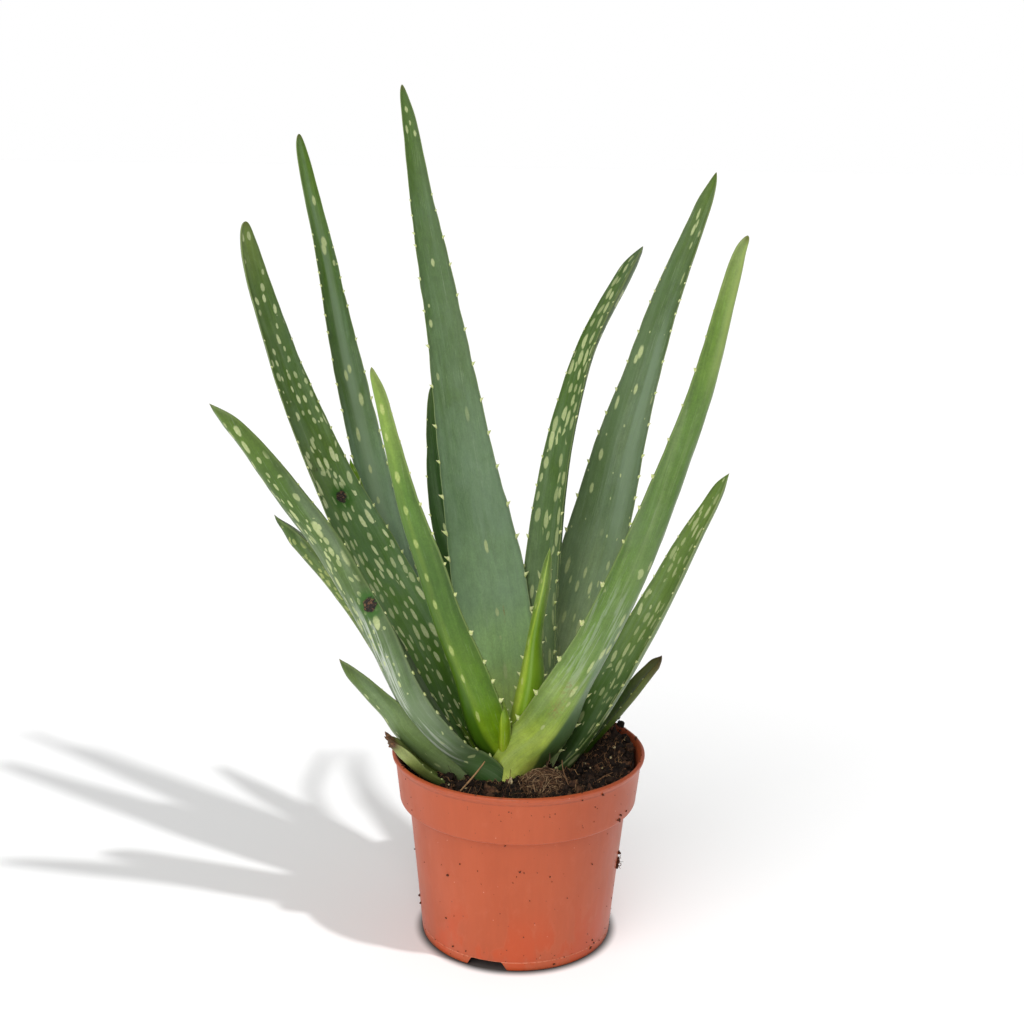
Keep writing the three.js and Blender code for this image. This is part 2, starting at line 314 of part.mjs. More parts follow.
    [0.35, -40.6, 22.0, 125.1, 4.9, 0.53, -0.62, 0.58, 0.35, 0.50],
    [0.45, -48.4, 27.7, 138.9, 4.6, 0.55, -0.63, 0.55, 0.35, 0.50],
    [0.55, -55.9, 33.1, 153.0, 4.2, 0.57, -0.64, 0.51, 0.35, 0.50],
    [0.65, -62.7, 38.1, 167.7, 3.8, 0.59, -0.65, 0.48, 0.32, 0.51],
    [0.75, -69.4, 42.9, 182.4, 3.5, 0.59, -0.65, 0.48, 0.25, 0.58],
    [0.84, -75.4, 47.2, 195.7, 3.1, 0.60, -0.65, 0.47, 0.17, 0.66],
    [0.91, -79.8, 50.4, 206.2, 2.8, 0.61, -0.66, 0.43, 0.13, 0.72],
    [0.96, -82.7, 52.4, 213.9, 2.3, 0.64, -0.67, 0.37, 0.11, 0.74],
    [0.985, -83.9, 53.3, 217.9, 0.8, 0.66, -0.68, 0.33, 0.10, 0.75],
    [1, -84.5, 53.7, 220.3, 0.0, 0.66, -0.68, 0.32, 0.10, 0.75],
  ] },
};

const COLOURS = {
  leaf_tall_centre: 0x587a5c, leaf_back_left: 0x557a50, leaf_young_left: 0x7fa83c, leaf_left_spotted: 0x4a6f3c,
  leaf_centre_young: 0x86ae3c, leaf_centre_tiny: 0x96b83c, leaf_front_right: 0x7fa35c, leaf_right_dark: 0x50644f,
  leaf_back_right: 0x4b6e40, leaf_right_spotted: 0x456b33, leaf_front_left: 0x5c8059, leaf_small_left: 0x587a3c,
  leaf_low_left: 0x54773f, leaf_cut_stub: 0x7e8f55, leaf_low_right: 0x55592f, leaf_back_dark: 0x2c4a20,
  leaf_bright_back: 0x6d9c2c,
};

// ---------------------------------------------------------------- solid helpers
const toSolid = (geometry, tolerance = 1e-4) => {
  const g = geometry.clone();
  g.deleteAttribute('normal');
  g.deleteAttribute('uv');
  const m = mergeVertices(g, tolerance);
  return new wasm.Manifold(new wasm.Mesh({
    numProp: 3,
    vertProperties: Float32Array.from(m.attributes.position.array),
    triVerts: Uint32Array.from(m.index.array),
  }));
};
const toGeometry = (solid) => {
  const m = solid.getMesh();
  const g = new THREE.BufferGeometry();
  g.setAttribute('position', new THREE.BufferAttribute(Float32Array.from(m.vertProperties), 3));
  g.setIndex(new THREE.BufferAttribute(Uint32Array.from(m.triVerts), 1));
  g.computeVertexNormals();
  return g;
};
// the largest separate body of a solid: crumbs and slivers left by a cut are dropped
const mainBody = (solid) => {
  let s = solid;
  for (let pass = 0; pass < 5; pass++) {
    const parts = s.decompose();
    let best = parts[0];
    for (const p of parts) if (p.volume() > best.volume()) best = p;
    const again = toSolid(toGeometry(best), 1e-3);
    s = again;
    if (again.decompose().length === 1) break;
  }
  return s;
};
const group = new THREE.Group();
const add = (name, solidOrGeometry, colour, roughness) => {
  const g = solidOrGeometry.isBufferGeometry ? solidOrGeometry : toGeometry(solidOrGeometry);
  const mesh = new THREE.Mesh(g, new THREE.MeshStandardMaterial({ color: colour, roughness, metalness: 0 }));
  mesh.name = name;
  group.add(mesh);
};
// closed solid from rings of equal length, capped at both ends: with a fan, or (for the crescent-shaped leaf
// sections) with a ladder from the inner face to the back
const ringsToSolid = (rings, ladder = false) => {
  const n = rings[0].length;
  const pos = [];
  const idx = [];
  for (const r of rings) for (const p of r) pos.push(p.x, p.y, p.z);
  for (let i = 0; i + 1 < rings.length; i++) {
    for (let j = 0; j < n; j++) {
      const a = i * n + j, b = i * n + ((j + 1) % n), c = a + n, d = b + n;
      idx.push(a, b, d, a, d, c);
    }
  }
  const cap = (k, flip) => {
    if (ladder) {
      const put = (a, b, c) => (flip ? idx.push(k * n + c, k * n + b, k * n + a) : idx.push(k * n + a, k * n + b, k * n + c));
      put(0, 1, n - 1);
      for (let j = 1; j < n / 2 - 1; j++) {
        put(j, j + 1, n - j);
        put(j + 1, n - j - 1, n - j);
      }
      put(n / 2 - 1, n / 2, n / 2 + 1);
      return;
    }
    const c = new THREE.Vector3();
    for (const p of rings[k]) c.add(p);
    c.multiplyScalar(1 / n);
    const ci = pos.length / 3;
    pos.push(c.x, c.y, c.z);
    for (let j = 0; j < n; j++) {
      const a = k * n + j, b = k * n + ((j + 1) % n);
      if (flip) idx.push(ci, b, a); else idx.push(ci, a, b);
    }
  };
  cap(0, true);
  cap(rings.length - 1, false);
  let g = new THREE.BufferGeometry();
  g.setAttribute('position', new THREE.Float32BufferAttribute(pos, 3));
  g.setIndex(idx);
  let s = toSolid(g);
  if (s.volume() < 0) {
    for (let k = 0; k < idx.length; k += 3) { const t = idx[k]; idx[k] = idx[k + 1]; idx[k + 1] = t; }
    g.setIndex(idx);
    s = toSolid(g);
  }
  return s;
};

// ---------------------------------------------------------------- leaves
// cross-section of unit half-width: s across the leaf, z out of the inner face; the margins are at z = 0
const HALF = 5;
const section = (channel, thick, keel) => {
  const out = [];
  for (let k = 0; k <= HALF; k++) {
    const s = Math.cos((Math.PI * k) / HALF);
    out.push([s, -channel * (1 - s * s)]);
  }
  for (let k = 1; k < HALF; k++) {
    const s = -Math.cos((Math.PI * k) / HALF);
    out.push([s, -(channel + thick) * Math.pow(1 - Math.pow(Math.abs(s), keel), 0.85)]);
  }
  return out;
};
// the same outline moved outwards by d, for a half-width w: every edge moves by d and the corners are mitred
const offsetSection = (sec, w, d) => {
  const p = sec.map(([s, z]) => new THREE.Vector2(s * w, z * w));
  if (!(d > 0)) return p;
  const n = p.length;
  let area = 0;
  for (let i = 0; i < n; i++) area += p[i].x * p[(i + 1) % n].y - p[(i + 1) % n].x * p[i].y;
  const turn = area > 0 ? 1 : -1;
  const edgeNormal = (i) => {
    const e = p[(i + 1) % n].clone().sub(p[i]);
    const l = Math.max(e.length(), 1e-6);
    return new THREE.Vector2((turn * e.y) / l, (-turn * e.x) / l);
  };
  return p.map((q, i) => {
    const n1 = edgeNormal((i + n - 1) % n), n2 = edgeNormal(i);
    const m = n1.clone().add(n2);
    const k = Math.min(1 / Math.max(1 + n1.dot(n2), 0.28), 3.5);
    return q.clone().addScaledVector(m, d * k);
  });
};
const leafSolid = (leaf, grow) => {
  const rows = leaf.rows;
  const centres = rows.map((r) => new THREE.Vector3(r[1], r[2], r[3]));
  const rings = [];
  for (let i = 0; i < rows.length; i++) {
    const t = centres[Math.min(i + 1, rows.length - 1)].clone().sub(centres[Math.max(i - 1, 0)]).normalize();
    const nrm = new THREE.Vector3(rows[i][5], rows[i][6], rows[i][7]);
    nrm.addScaledVector(t, -nrm.dot(t)).normalize();
    const across = new THREE.Vector3().crossVectors(t, nrm);
    const w = Math.max(rows[i][4], 0.25);
    const c = centres[i].clone();
    if (grow > 0 && i === rows.length - 1) c.addScaledVector(t, grow);
    if (grow > 0 && i === 0) c.addScaledVector(t, -grow);
    const sec = offsetSection(section(rows[i][8], rows[i][9], leaf.keel), w, grow);
    rings.push(sec.map((q) => c.clone().addScaledVector(across, q.x).addScaledVector(nrm, q.y)));
  }
  return ringsToSolid(rings, true);
};

// ---------------------------------------------------------------- pot
const lathe = (profile, segments) => toSolid(new THREE.LatheGeometry(
  profile.map(([r, z]) => new THREE.Vector2(r, z)), segments).rotateX(Math.PI / 2));
const floorTop = FLOOR_Z + FLOOR_T;
const wallIn = (r) => r - WALL;
const potProfile = [
  [0, 0], [PAD_R, 0], [PAD_R + 1.2, FLOOR_Z], [BASE_R - FOOT_W - 0.8, FLOOR_Z], [BASE_R - FOOT_W, 0], [BASE_R - 0.6, 0],
  [BASE_R, 0.7], [BASE_R + 0.35, 3.8], [BODY_R_TOP, BAND_Z - 0.6], [BAND_R_LOW - 0.5, BAND_Z],
  [BAND_R_LOW, BAND_Z + 0.6], [BAND_R_TOP, POT_H - 4.2], [LIP_R - 0.5, POT_H - 3.4], [LIP_R, POT_H - 2.0],
  [LIP_R - 0.5, POT_H - 0.6], [LIP_R - 1.5, POT_H], [LIP_R - 2.6, POT_H - 0.5], [BAND_R_TOP - WALL, POT_H - 3.4],
  [wallIn(BAND_R_LOW), BAND_Z + 1.6], [wallIn(BODY_R_TOP), BAND_Z - 1.2], [wallIn(BASE_R) + 0.2, floorTop + 1.2],
  [wallIn(BASE_R) - 1.0, floorTop], [PAD_R - 0.4, floorTop], [0, floorTop],
];
let pot = lathe(potProfile, 48);
if (pot.volume() < 0) throw new Error('pot profile is inside out');
for (const deg of NOTCH_ANGLES) {
  const shape = new THREE.Shape([
    new THREE.Vector2(-NOTCH_LOW_W / 2, -1), new THREE.Vector2(NOTCH_LOW_W / 2, -1),
    new THREE.Vector2(NOTCH_TOP_W / 2, FLOOR_Z - 0.1), new THREE.Vector2(-NOTCH_TOP_W / 2, FLOOR_Z - 0.1)]);
  const cutter = new THREE.ExtrudeGeometry(shape, { depth: 12, bevelEnabled: false, steps: 1 });
  cutter.rotateX(Math.PI / 2);                      // the outline stands up, the depth runs along -Y
  cutter.translate(0, -(BASE_R - FOOT_W - 3), 0);
  cutter.rotateZ(THREE.MathUtils.degToRad(deg + 90));
  pot = pot.subtract(toSolid(cutter));
}
for (let k = 0; k < 6; k++) {
  const a = THREE.MathUtils.degToRad(20 + 60 * k);
  const hole = new THREE.CylinderGeometry(HOLE_R, HOLE_R, 12, 12).rotateX(Math.PI / 2);
  hole.translate(HOLE_PCD_R * Math.cos(a), HOLE_PCD_R * Math.sin(a), FLOOR_Z + 1);
  pot = pot.subtract(toSolid(hole));
}
add('pot', mainBody(pot), 0xc8623f, 0.5);

// ---------------------------------------------------------------- stem and main roots
const stemRings = [[STEM_FOOT, 3.0], [58, 4.6], [66, 5.6], [75, STEM_R], [81, STEM_R - 0.6], [STEM_TOP - 1.5, 3.6], [STEM_TOP, 1.6]];
const roundStem = (grow) => ringsToSolid(stemRings.map(([z, r], i) => {
  const ring = [];
  const zz = z + (i === 0 ? -grow : i === stemRings.length - 1 ? grow : 0);
  for (let k = 0; k < 12; k++) {
    const a = (2 * Math.PI * k) / 12;
    ring.push(new THREE.Vector3(CROWN[0] + (r + grow) * Math.cos(a), CROWN[1] + (r + grow) * Math.sin(a), zz));
  }
  return ring;
}));
const rootPaths = [20, 95, 168, 240, 310].map((deg, k) => {
  const a = THREE.MathUtils.degToRad(deg);
  const dir = new THREE.Vector3(Math.cos(a), Math.sin(a), 0);
  const at = (r, z) => new THREE.Vector3(CROWN[0], CROWN[1], z).addScaledVector(dir, r);
  return new THREE.CatmullRomCurve3([at(0, 62 - 2 * (k % 2)), at(9, 58 - 3 * (k % 2)), at(19 + 2 * (k % 3), 46), at(26 + 2 * (k % 2), 28 + 3 * (k % 3))]);
});
const rootSolid = (curve, grow) => {
  const rings = [];
  const steps = 5;
  for (let i = 0; i <= steps; i++) {
    const u = i / steps;
    const c = curve.getPointAt(u);
    const t = curve.getTangentAt(u);
    const side = new THREE.Vector3(-t.y, t.x, 0).normalize();
    const up = new THREE.Vector3().crossVectors(t, side);
    if (i === steps) c.addScaledVector(t, grow);
    const r = 1.9 - 1.1 * u + grow;
    const ring = [];
    for (let k = 0; k < 6; k++) {
      const a = (2 * Math.PI * k) / 6;
      ring.push(c.clone().addScaledVector(side, r * Math.cos(a)).addScaledVector(up, r * Math.sin(a)));
    }
    rings.push(ring);
  }
  return ringsToSolid(rings);
};
const stemWithRoots = (grow) => rootPaths.reduce((s, c) => s.add(rootSolid(c, grow)), roundStem(grow));
const stem = stemWithRoots(0);
add('stem', mainBody(stem), 0xa9b06a, 0.6);

// ---------------------------------------------------------------- cut the leaf bases free of each other
// inner leaves keep their full shape, and each one further out stands clear of those inside it
const ORDER = ['leaf_centre_tiny', 'leaf_centre_young', 'leaf_young_left', 'leaf_front_right', 'leaf_tall_centre',
  'leaf_right_dark', 'leaf_bright_back', 'leaf_back_left', 'leaf_front_left', 'leaf_right_spotted', 'leaf_back_right',
  'leaf_left_spotted', 'leaf_back_dark', 'leaf_small_left', 'leaf_low_left', 'leaf_low_right', 'leaf_cut_stub'];
const taken = [roundStem(GAP), ...rootPaths.map((c) => rootSolid(c, GAP))];
const clearOf = (solid) => mainBody(taken.reduce((s, t) => s.subtract(t), solid));
for (const name of ORDER) {
  add(name, clearOf(leafSolid(LEAVES[name], 0)), COLOURS[name], 0.45);
  taken.push(leafSolid(LEAVES[name], CUT));
}

// ---------------------------------------------------------------- fine-root tuft on the soil
const TUFT = { x: 12.2, y: -23.5, z: 81.5, a: 12.4, b: 9.0, h: 9.8 };
const tuftSolid = (grow) => {
  const rings = [];
  const levels = [-0.55, -0.3, 0.05, 0.4, 0.7, 0.92];
  levels.forEach((v, i) => {
    const r = Math.sqrt(1 - v * v);
    const ring = [];
    for (let k = 0; k < 12; k++) {
      const a = (2 * Math.PI * k) / 12;
      const lump = 1 + 0.07 * Math.sin(3 * a + 0.6) + 0.05 * Math.sin(5 * a + 1.9 + i);
      ring.push(new THREE.Vector3(TUFT.x + (TUFT.a * r * lump + grow) * Math.cos(a),
        TUFT.y + (TUFT.b * r * lump + grow) * Math.sin(a),
        TUFT.z + TUFT.h * v + (i === 0 ? -grow : i === levels.length - 1 ? grow : 0)));
    }
    rings.push(ring);
  });
  return ringsToSolid(rings);
};
add('root_tuft', clearOf(tuftSolid(0)), 0x6b4b36, 0.9);
taken.push(tuftSolid(GAP));

// ---------------------------------------------------------------- soil
// height of the soil: level in front, heaped behind the plant on the right, a little lower at the left wall
const soilHeight = (x, y) => {
  const heap = 12.5 * Math.exp(-(((x - 44) / 17) ** 2 + ((y - 23) / 20) ** 2));
  const back = 3.0 * Math.exp(-(((x + 5) / 40) ** 2 + ((y - 38) / 18) ** 2));
  const crown = 3.0 * Math.exp(-(((x + 5) / 18) ** 2 + ((y + 4) / 16) ** 2));
  const left = -3.5 * Math.exp(-(((x + 50) / 14) ** 2 + ((y + 10) / 26) ** 2));
  const ripple = 0.5 * Math.sin(0.21 * x + PTS) * Math.cos(0.17 * y - 1.3) + 0.35 * Math.sin(0.43 * x - 0.31 * y);
  return SOIL_Z + heap + back + crown + left + ripple;
};
// inner wall of the pot at a height, less the gap
const innerR = (z) => {
  const pts = [[floorTop + 1.2, wallIn(BASE_R) + 0.2], [BAND_Z - 1.2, wallIn(BODY_R_TOP)], [BAND_Z + 1.6, wallIn(BAND_R_LOW)], [POT_H - 3.4, BAND_R_TOP - WALL]];
  if (z <= pts[0][0]) return pts[0][1] - GAP - 0.1;
  for (let i = 0; i + 1 < pts.length; i++) {
    if (z <= pts[i + 1][0]) {
      const u = (z - pts[i][0]) / (pts[i + 1][0] - pts[i][0]);
      return pts[i][1] + u * (pts[i + 1][1] - pts[i][1]) - GAP - 0.1;
    }
  }
  return pts[3][1] - GAP - 0.1;
};
const SOIL_SEG = 30;
const soilRings = [];
const ringAt = (r, zOf) => {
  const ring = [];
  for (let k = 0; k < SOIL_SEG; k++) {
    const a = (2 * Math.PI * k) / SOIL_SEG;
    const x = r(a) * Math.cos(a), y = r(a) * Math.sin(a);
    ring.push(new THREE.Vector3(x, y, zOf(x, y)));
  }
  return ring;
};
const zLow = floorTop + GAP;
for (const [r, z] of [[innerR(0) - 1.6, zLow], [innerR(floorTop + 1.5), floorTop + 1.6], [innerR(BAND_Z - 1.4) - 0.1, BAND_Z - 1.4], [innerR(BAND_Z + 1.7) - 0.1, BAND_Z + 1.9]]) {
  soilRings.push(ringAt(() => r, () => z));
}
const topR = innerR(80) - 0.15;
for (const f of [1, 0.85, 0.62, 0.36]) {
  soilRings.push(ringAt(() => topR * f, (x, y) => Math.min(soilHeight(x, y), f === 1 ? 88.0 : 200)));
}
add('soil', clearOf(ringsToSolid(soilRings)), 0x2a1d17, 0.95);

export default group;
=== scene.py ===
"""Potted aloe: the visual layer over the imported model. Metres, +Z up, the origin is the centre of the pot's underside."""

import math

import bpy
import numpy as np
from mathutils import Matrix, Vector


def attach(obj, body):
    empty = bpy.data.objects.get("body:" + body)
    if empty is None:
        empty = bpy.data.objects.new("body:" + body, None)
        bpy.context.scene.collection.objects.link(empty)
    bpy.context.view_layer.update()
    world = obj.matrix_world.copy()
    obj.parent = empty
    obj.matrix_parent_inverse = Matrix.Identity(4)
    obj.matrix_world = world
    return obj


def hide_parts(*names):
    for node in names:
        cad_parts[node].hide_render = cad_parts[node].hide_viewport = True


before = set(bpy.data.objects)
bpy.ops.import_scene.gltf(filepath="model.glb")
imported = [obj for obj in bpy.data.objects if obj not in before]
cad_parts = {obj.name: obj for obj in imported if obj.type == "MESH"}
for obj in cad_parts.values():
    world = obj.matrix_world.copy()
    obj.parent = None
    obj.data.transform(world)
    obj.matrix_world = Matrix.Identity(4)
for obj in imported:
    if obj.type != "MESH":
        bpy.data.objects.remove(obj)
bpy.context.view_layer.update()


MM = 0.001
rng = np.random.default_rng(20417)

# ------------------------------------------------------------------ camera: the photograph's viewing angle
cam_data = bpy.data.cameras.new("view_camera")
cam_data.sensor_fit = "HORIZONTAL"
cam_data.sensor_width = 36.0
cam_data.lens = 36.0 * 1571.0 / 1024.0
cam_data.clip_start = 0.01
cam_data.clip_end = 60.0
camera = bpy.data.objects.new("view_camera", cam_data)
bpy.context.scene.collection.objects.link(camera)
camera.matrix_world = (
    Matrix.Translation((-0.00473, -0.700, 0.378))
    @ Matrix.Rotation(math.radians(90.0 - 13.70), 4, "X")
    @ Matrix.Rotation(math.radians(0.84), 4, "Z")
)
bpy.context.scene.camera = camera


# ------------------------------------------------------------------ small numeric helpers
def spline(x, y, q):
    """natural cubic spline through (x, y), y with one or more columns, read at q"""
    x = np.asarray(x, float)
    y = np.asarray(y, float)
    one = y.ndim == 1
    if one:
        y = y[:, None]
    n = len(x)
    h = np.diff(x)
    a = np.zeros((n, n))
    r = np.zeros((n, y.shape[1]))
    a[0, 0] = a[-1, -1] = 1.0
    for i in range(1, n - 1):
        a[i, i - 1] = h[i - 1]
        a[i, i] = 2 * (h[i - 1] + h[i])
        a[i, i + 1] = h[i]
        r[i] = 6 * ((y[i + 1] - y[i]) / h[i] - (y[i] - y[i - 1]) / h[i - 1])
    m = np.linalg.solve(a, r)
    q = np.asarray(q, float)
    k = np.clip(np.searchsorted(x, q, side="right") - 1, 0, n - 2)
    u = (q - x[k])[:, None]
    v = (x[k + 1] - q)[:, None]
    hk = h[k][:, None]
    out = (
        m[k] * v**3 / (6 * hk) + m[k + 1] * u**3 / (6 * hk)
        + (y[k] / hk - m[k] * hk / 6) * v + (y[k + 1] / hk - m[k + 1] * hk / 6) * u
    )
    return out[:, 0] if one else out


def monotone(x, y, q):
    """monotone cubic (no overshoot) through (x, y), read at q"""
    x = np.asarray(x, float)
    y = np.asarray(y, float)
    h = np.diff(x)
    d = np.diff(y) / h
    m = np.zeros_like(y)
    for i in range(1, len(x) - 1):
        if d[i - 1] * d[i] > 0:
            w1 = 2 * h[i] + h[i - 1]
            w2 = h[i] + 2 * h[i - 1]
            m[i] = (w1 + w2) / (w1 / d[i - 1] + w2 / d[i])
    m[0], m[-1] = d[0], d[-1]
    q = np.asarray(q, float)
    k = np.clip(np.searchsorted(x, q, side="right") - 1, 0, len(x) - 2)
    t = (q - x[k]) / h[k]
    return (
        (2 * t**3 - 3 * t**2 + 1) * y[k] + (t**3 - 2 * t**2 + t) * h[k] * m[k]
        + (-2 * t**3 + 3 * t**2) * y[k + 1] + (t**3 - t**2) * h[k] * m[k + 1]
    )


def waves(seed, count, lo, hi):
    """a smooth random field: the sum of plane waves with lengths between lo and hi; returns f(points Nx3) of about unit size"""
    g = np.random.default_rng(seed)
    d = g.normal(size=(count, 3))
    d /= np.linalg.norm(d, axis=1)[:, None]
    k = 2 * math.pi / np.exp(g.uniform(math.log(lo), math.log(hi), count))
    p = g.uniform(0, 2 * math.pi, count)

    def f(pts):
        pts = np.atleast_2d(pts)
        out = np.zeros(len(pts))
        for i in range(count):
            out += np.sin((pts @ d[i]) * k[i] + p[i])
        return out / math.sqrt(count / 2.0)

    return f


def make_mesh(name, verts, faces, mats, mat_index=None, vectors=None, floats=None, uv=None, smooth=True, sharp_deg=None):
    """an object from arrays: verts in mm, faces as lists of indices; vectors and floats are point attributes"""
    me = bpy.data.meshes.new(name)
    verts = np.asarray(verts, float) * MM
    if isinstance(faces, np.ndarray):
        n = len(faces)
        k = faces.shape[1]
        me.vertices.add(len(verts))
        me.vertices.foreach_set("co", verts.astype(np.float32).ravel())
        me.loops.add(n * k)
        me.loops.foreach_set("vertex_index", faces.astype(np.int32).ravel())
        me.polygons.add(n)
        me.polygons.foreach_set("loop_start", (np.arange(n) * k).astype(np.int32))
        me.update(calc_edges=True)
    else:
        me.from_pydata([tuple(v) for v in verts], [], [tuple(f) for f in faces])
    me.validate()
    for m in mats:
        me.materials.append(m)
    if mat_index is not None:
        me.polygons.foreach_set("material_index", np.asarray(mat_index, np.int32))
    for key, val in (vectors or {}).items():
        a = me.attributes.new(key, "FLOAT_VECTOR", "POINT")
        a.data.foreach_set("vector", np.asarray(val, np.float32).ravel())
    for key, val in (floats or {}).items():
        a = me.attributes.new(key, "FLOAT", "POINT")
        a.data.foreach_set("value", np.asarray(val, np.float32).ravel())
    if uv is not None:
        layer = me.uv_layers.new(name="OFBake")
        layer.uv.foreach_set("vector", np.asarray(uv, np.float32).ravel())
    me.polygons.foreach_set("use_smooth", np.full(len(me.polygons), bool(smooth)))
    me.update()
    ob = bpy.data.objects.new(name, me)
    bpy.context.scene.collection.objects.link(ob)
    return ob


class Heap:
    """collects many small closed lumps and tubes into one mesh"""

    def __init__(self):
        self.v, self.f, self.tone, self.n = [], [], [], 0

    def put(self, verts, faces, tone):
        self.v.append(verts)
        self.f.append(np.asarray(faces) + self.n)
        self.tone.append(np.full(len(verts), tone))
        self.n += len(verts)

    def tube(self, pts, radius, tone, sides=5, taper=0.5):
        pts = np.asarray(pts, float)
        t = np.gradient(pts, axis=0)
        t /= np.maximum(np.linalg.norm(t, axis=1)[:, None], 1e-9)
        up = np.array([0.31, 0.52, 0.79])
        a = np.cross(t, up)
        a /= np.maximum(np.linalg.norm(a, axis=1)[:, None], 1e-9)
        b = np.cross(t, a)
        n = len(pts)
        r = radius * (1 - taper * np.abs(np.linspace(-1, 1, n)) ** 3)
        ang = np.arange(sides) * 2 * math.pi / sides
        ring = pts[:, None] + r[:, None, None] * (np.cos(ang)[None, :, None] * a[:, None] + np.sin(ang)[None, :, None] * b[:, None])
        v = np.concatenate([ring.reshape(-1, 3), pts[:1] - t[:1] * radius * 0.4, pts[-1:] + t[-1:] * radius * 0.4])
        f = []
        for i in range(n - 1):
            for j in range(sides):
                p, q = i * sides + j, i * sides + (j + 1) % sides
                f.append((p, q, q + sides))
                f.append((p, q + sides, p + sides))
        c0, c1 = n * sides, n * sides + 1
        for j in range(sides):
            f.append((c0, (j + 1) % sides, j))
            f.append((c1, (n - 1) * sides + j, (n - 1) * sides + (j + 1) % sides))
        # the faces of a tube point out
        self.put(v, np.array(f)[:, ::-1], tone)

    def object(self, name, mats, smooth=True):
        v = np.concatenate(self.v)
        return make_mesh(name, v, np.concatenate(self.f), mats, floats={"tone": np.concatenate(self.tone)}, smooth=smooth)


def ico(level):
    p = (1 + 5**0.5) / 2
    v = [(-1, p, 0), (1, p, 0), (-1, -p, 0), (1, -p, 0), (0, -1, p), (0, 1, p), (0, -1, -p), (0, 1, -p), (p, 0, -1), (p, 0, 1), (-p, 0, -1), (-p, 0, 1)]
    v = [np.array(x) / np.linalg.norm(x) for x in v]
    f = [(0, 11, 5), (0, 5, 1), (0, 1, 7), (0, 7, 10), (0, 10, 11), (1, 5, 9), (5, 11, 4), (11, 10, 2), (10, 7, 6), (7, 1, 8),
         (3, 9, 4), (3, 4, 2), (3, 2, 6), (3, 6, 8), (3, 8, 9), (4, 9, 5), (2, 4, 11), (6, 2, 10), (8, 6, 7), (9, 8, 1)]
    for _ in range(level):
        cut, g = {}, []

        def mid(a, b):
            key = (min(a, b), max(a, b))
            if key not in cut:
                m = v[a] + v[b]
                v.append(m / np.linalg.norm(m))
                cut[key] = len(v) - 1
            return cut[key]

        for a, b, c in f:
            ab, bc, ca = mid(a, b), mid(b, c), mid(c, a)
            g += [(a, ab, ca), (b, bc, ab), (c, ca, bc), (ab, bc, ca)]
        f = g
    return np.array(v), np.array(f)


def lumps(level, kinds, seed, rough=0.35):
    """a few differently shaped irregular lumps of unit size"""
    v, f = ico(level)
    out = []
    for i in range(kinds):
        w1 = waves(seed + i, 9, 0.9, 2.4)
        w2 = waves(seed + 100 + i, 9, 0.35, 0.8)
        r = 1 + rough * 0.6 * w1(v) + rough * 0.35 * w2(v)
        g = np.random.default_rng(seed + 200 + i)
        out.append((v * np.clip(r, 0.35, 1.9)[:, None] * g.uniform(0.6, 1.15, 3), f))
    return out


def turned(g):
    """a random rotation"""
    q = g.normal(size=4)
    q /= np.linalg.norm(q)
    w, x, y, z = q
    return np.array([
        [1 - 2 * (y * y + z * z), 2 * (x * y - z * w), 2 * (x * z + y * w)],
        [2 * (x * y + z * w), 1 - 2 * (x * x + z * z), 2 * (y * z - x * w)],
        [2 * (x * z - y * w), 2 * (y * z + x * w), 1 - 2 * (x * x + y * y)],
    ])


# ------------------------------------------------------------------ material helpers
def lin(r, g, b, k=1.0):
    """a display colour 0-255 as the linear albedo that gives it, times k"""
    def one(c):
        c = c / 255.0
        return (c / 12.92 if c <= 0.04045 else ((c + 0.055) / 1.055) ** 2.4) * k
    return (one(r), one(g), one(b), 1.0)


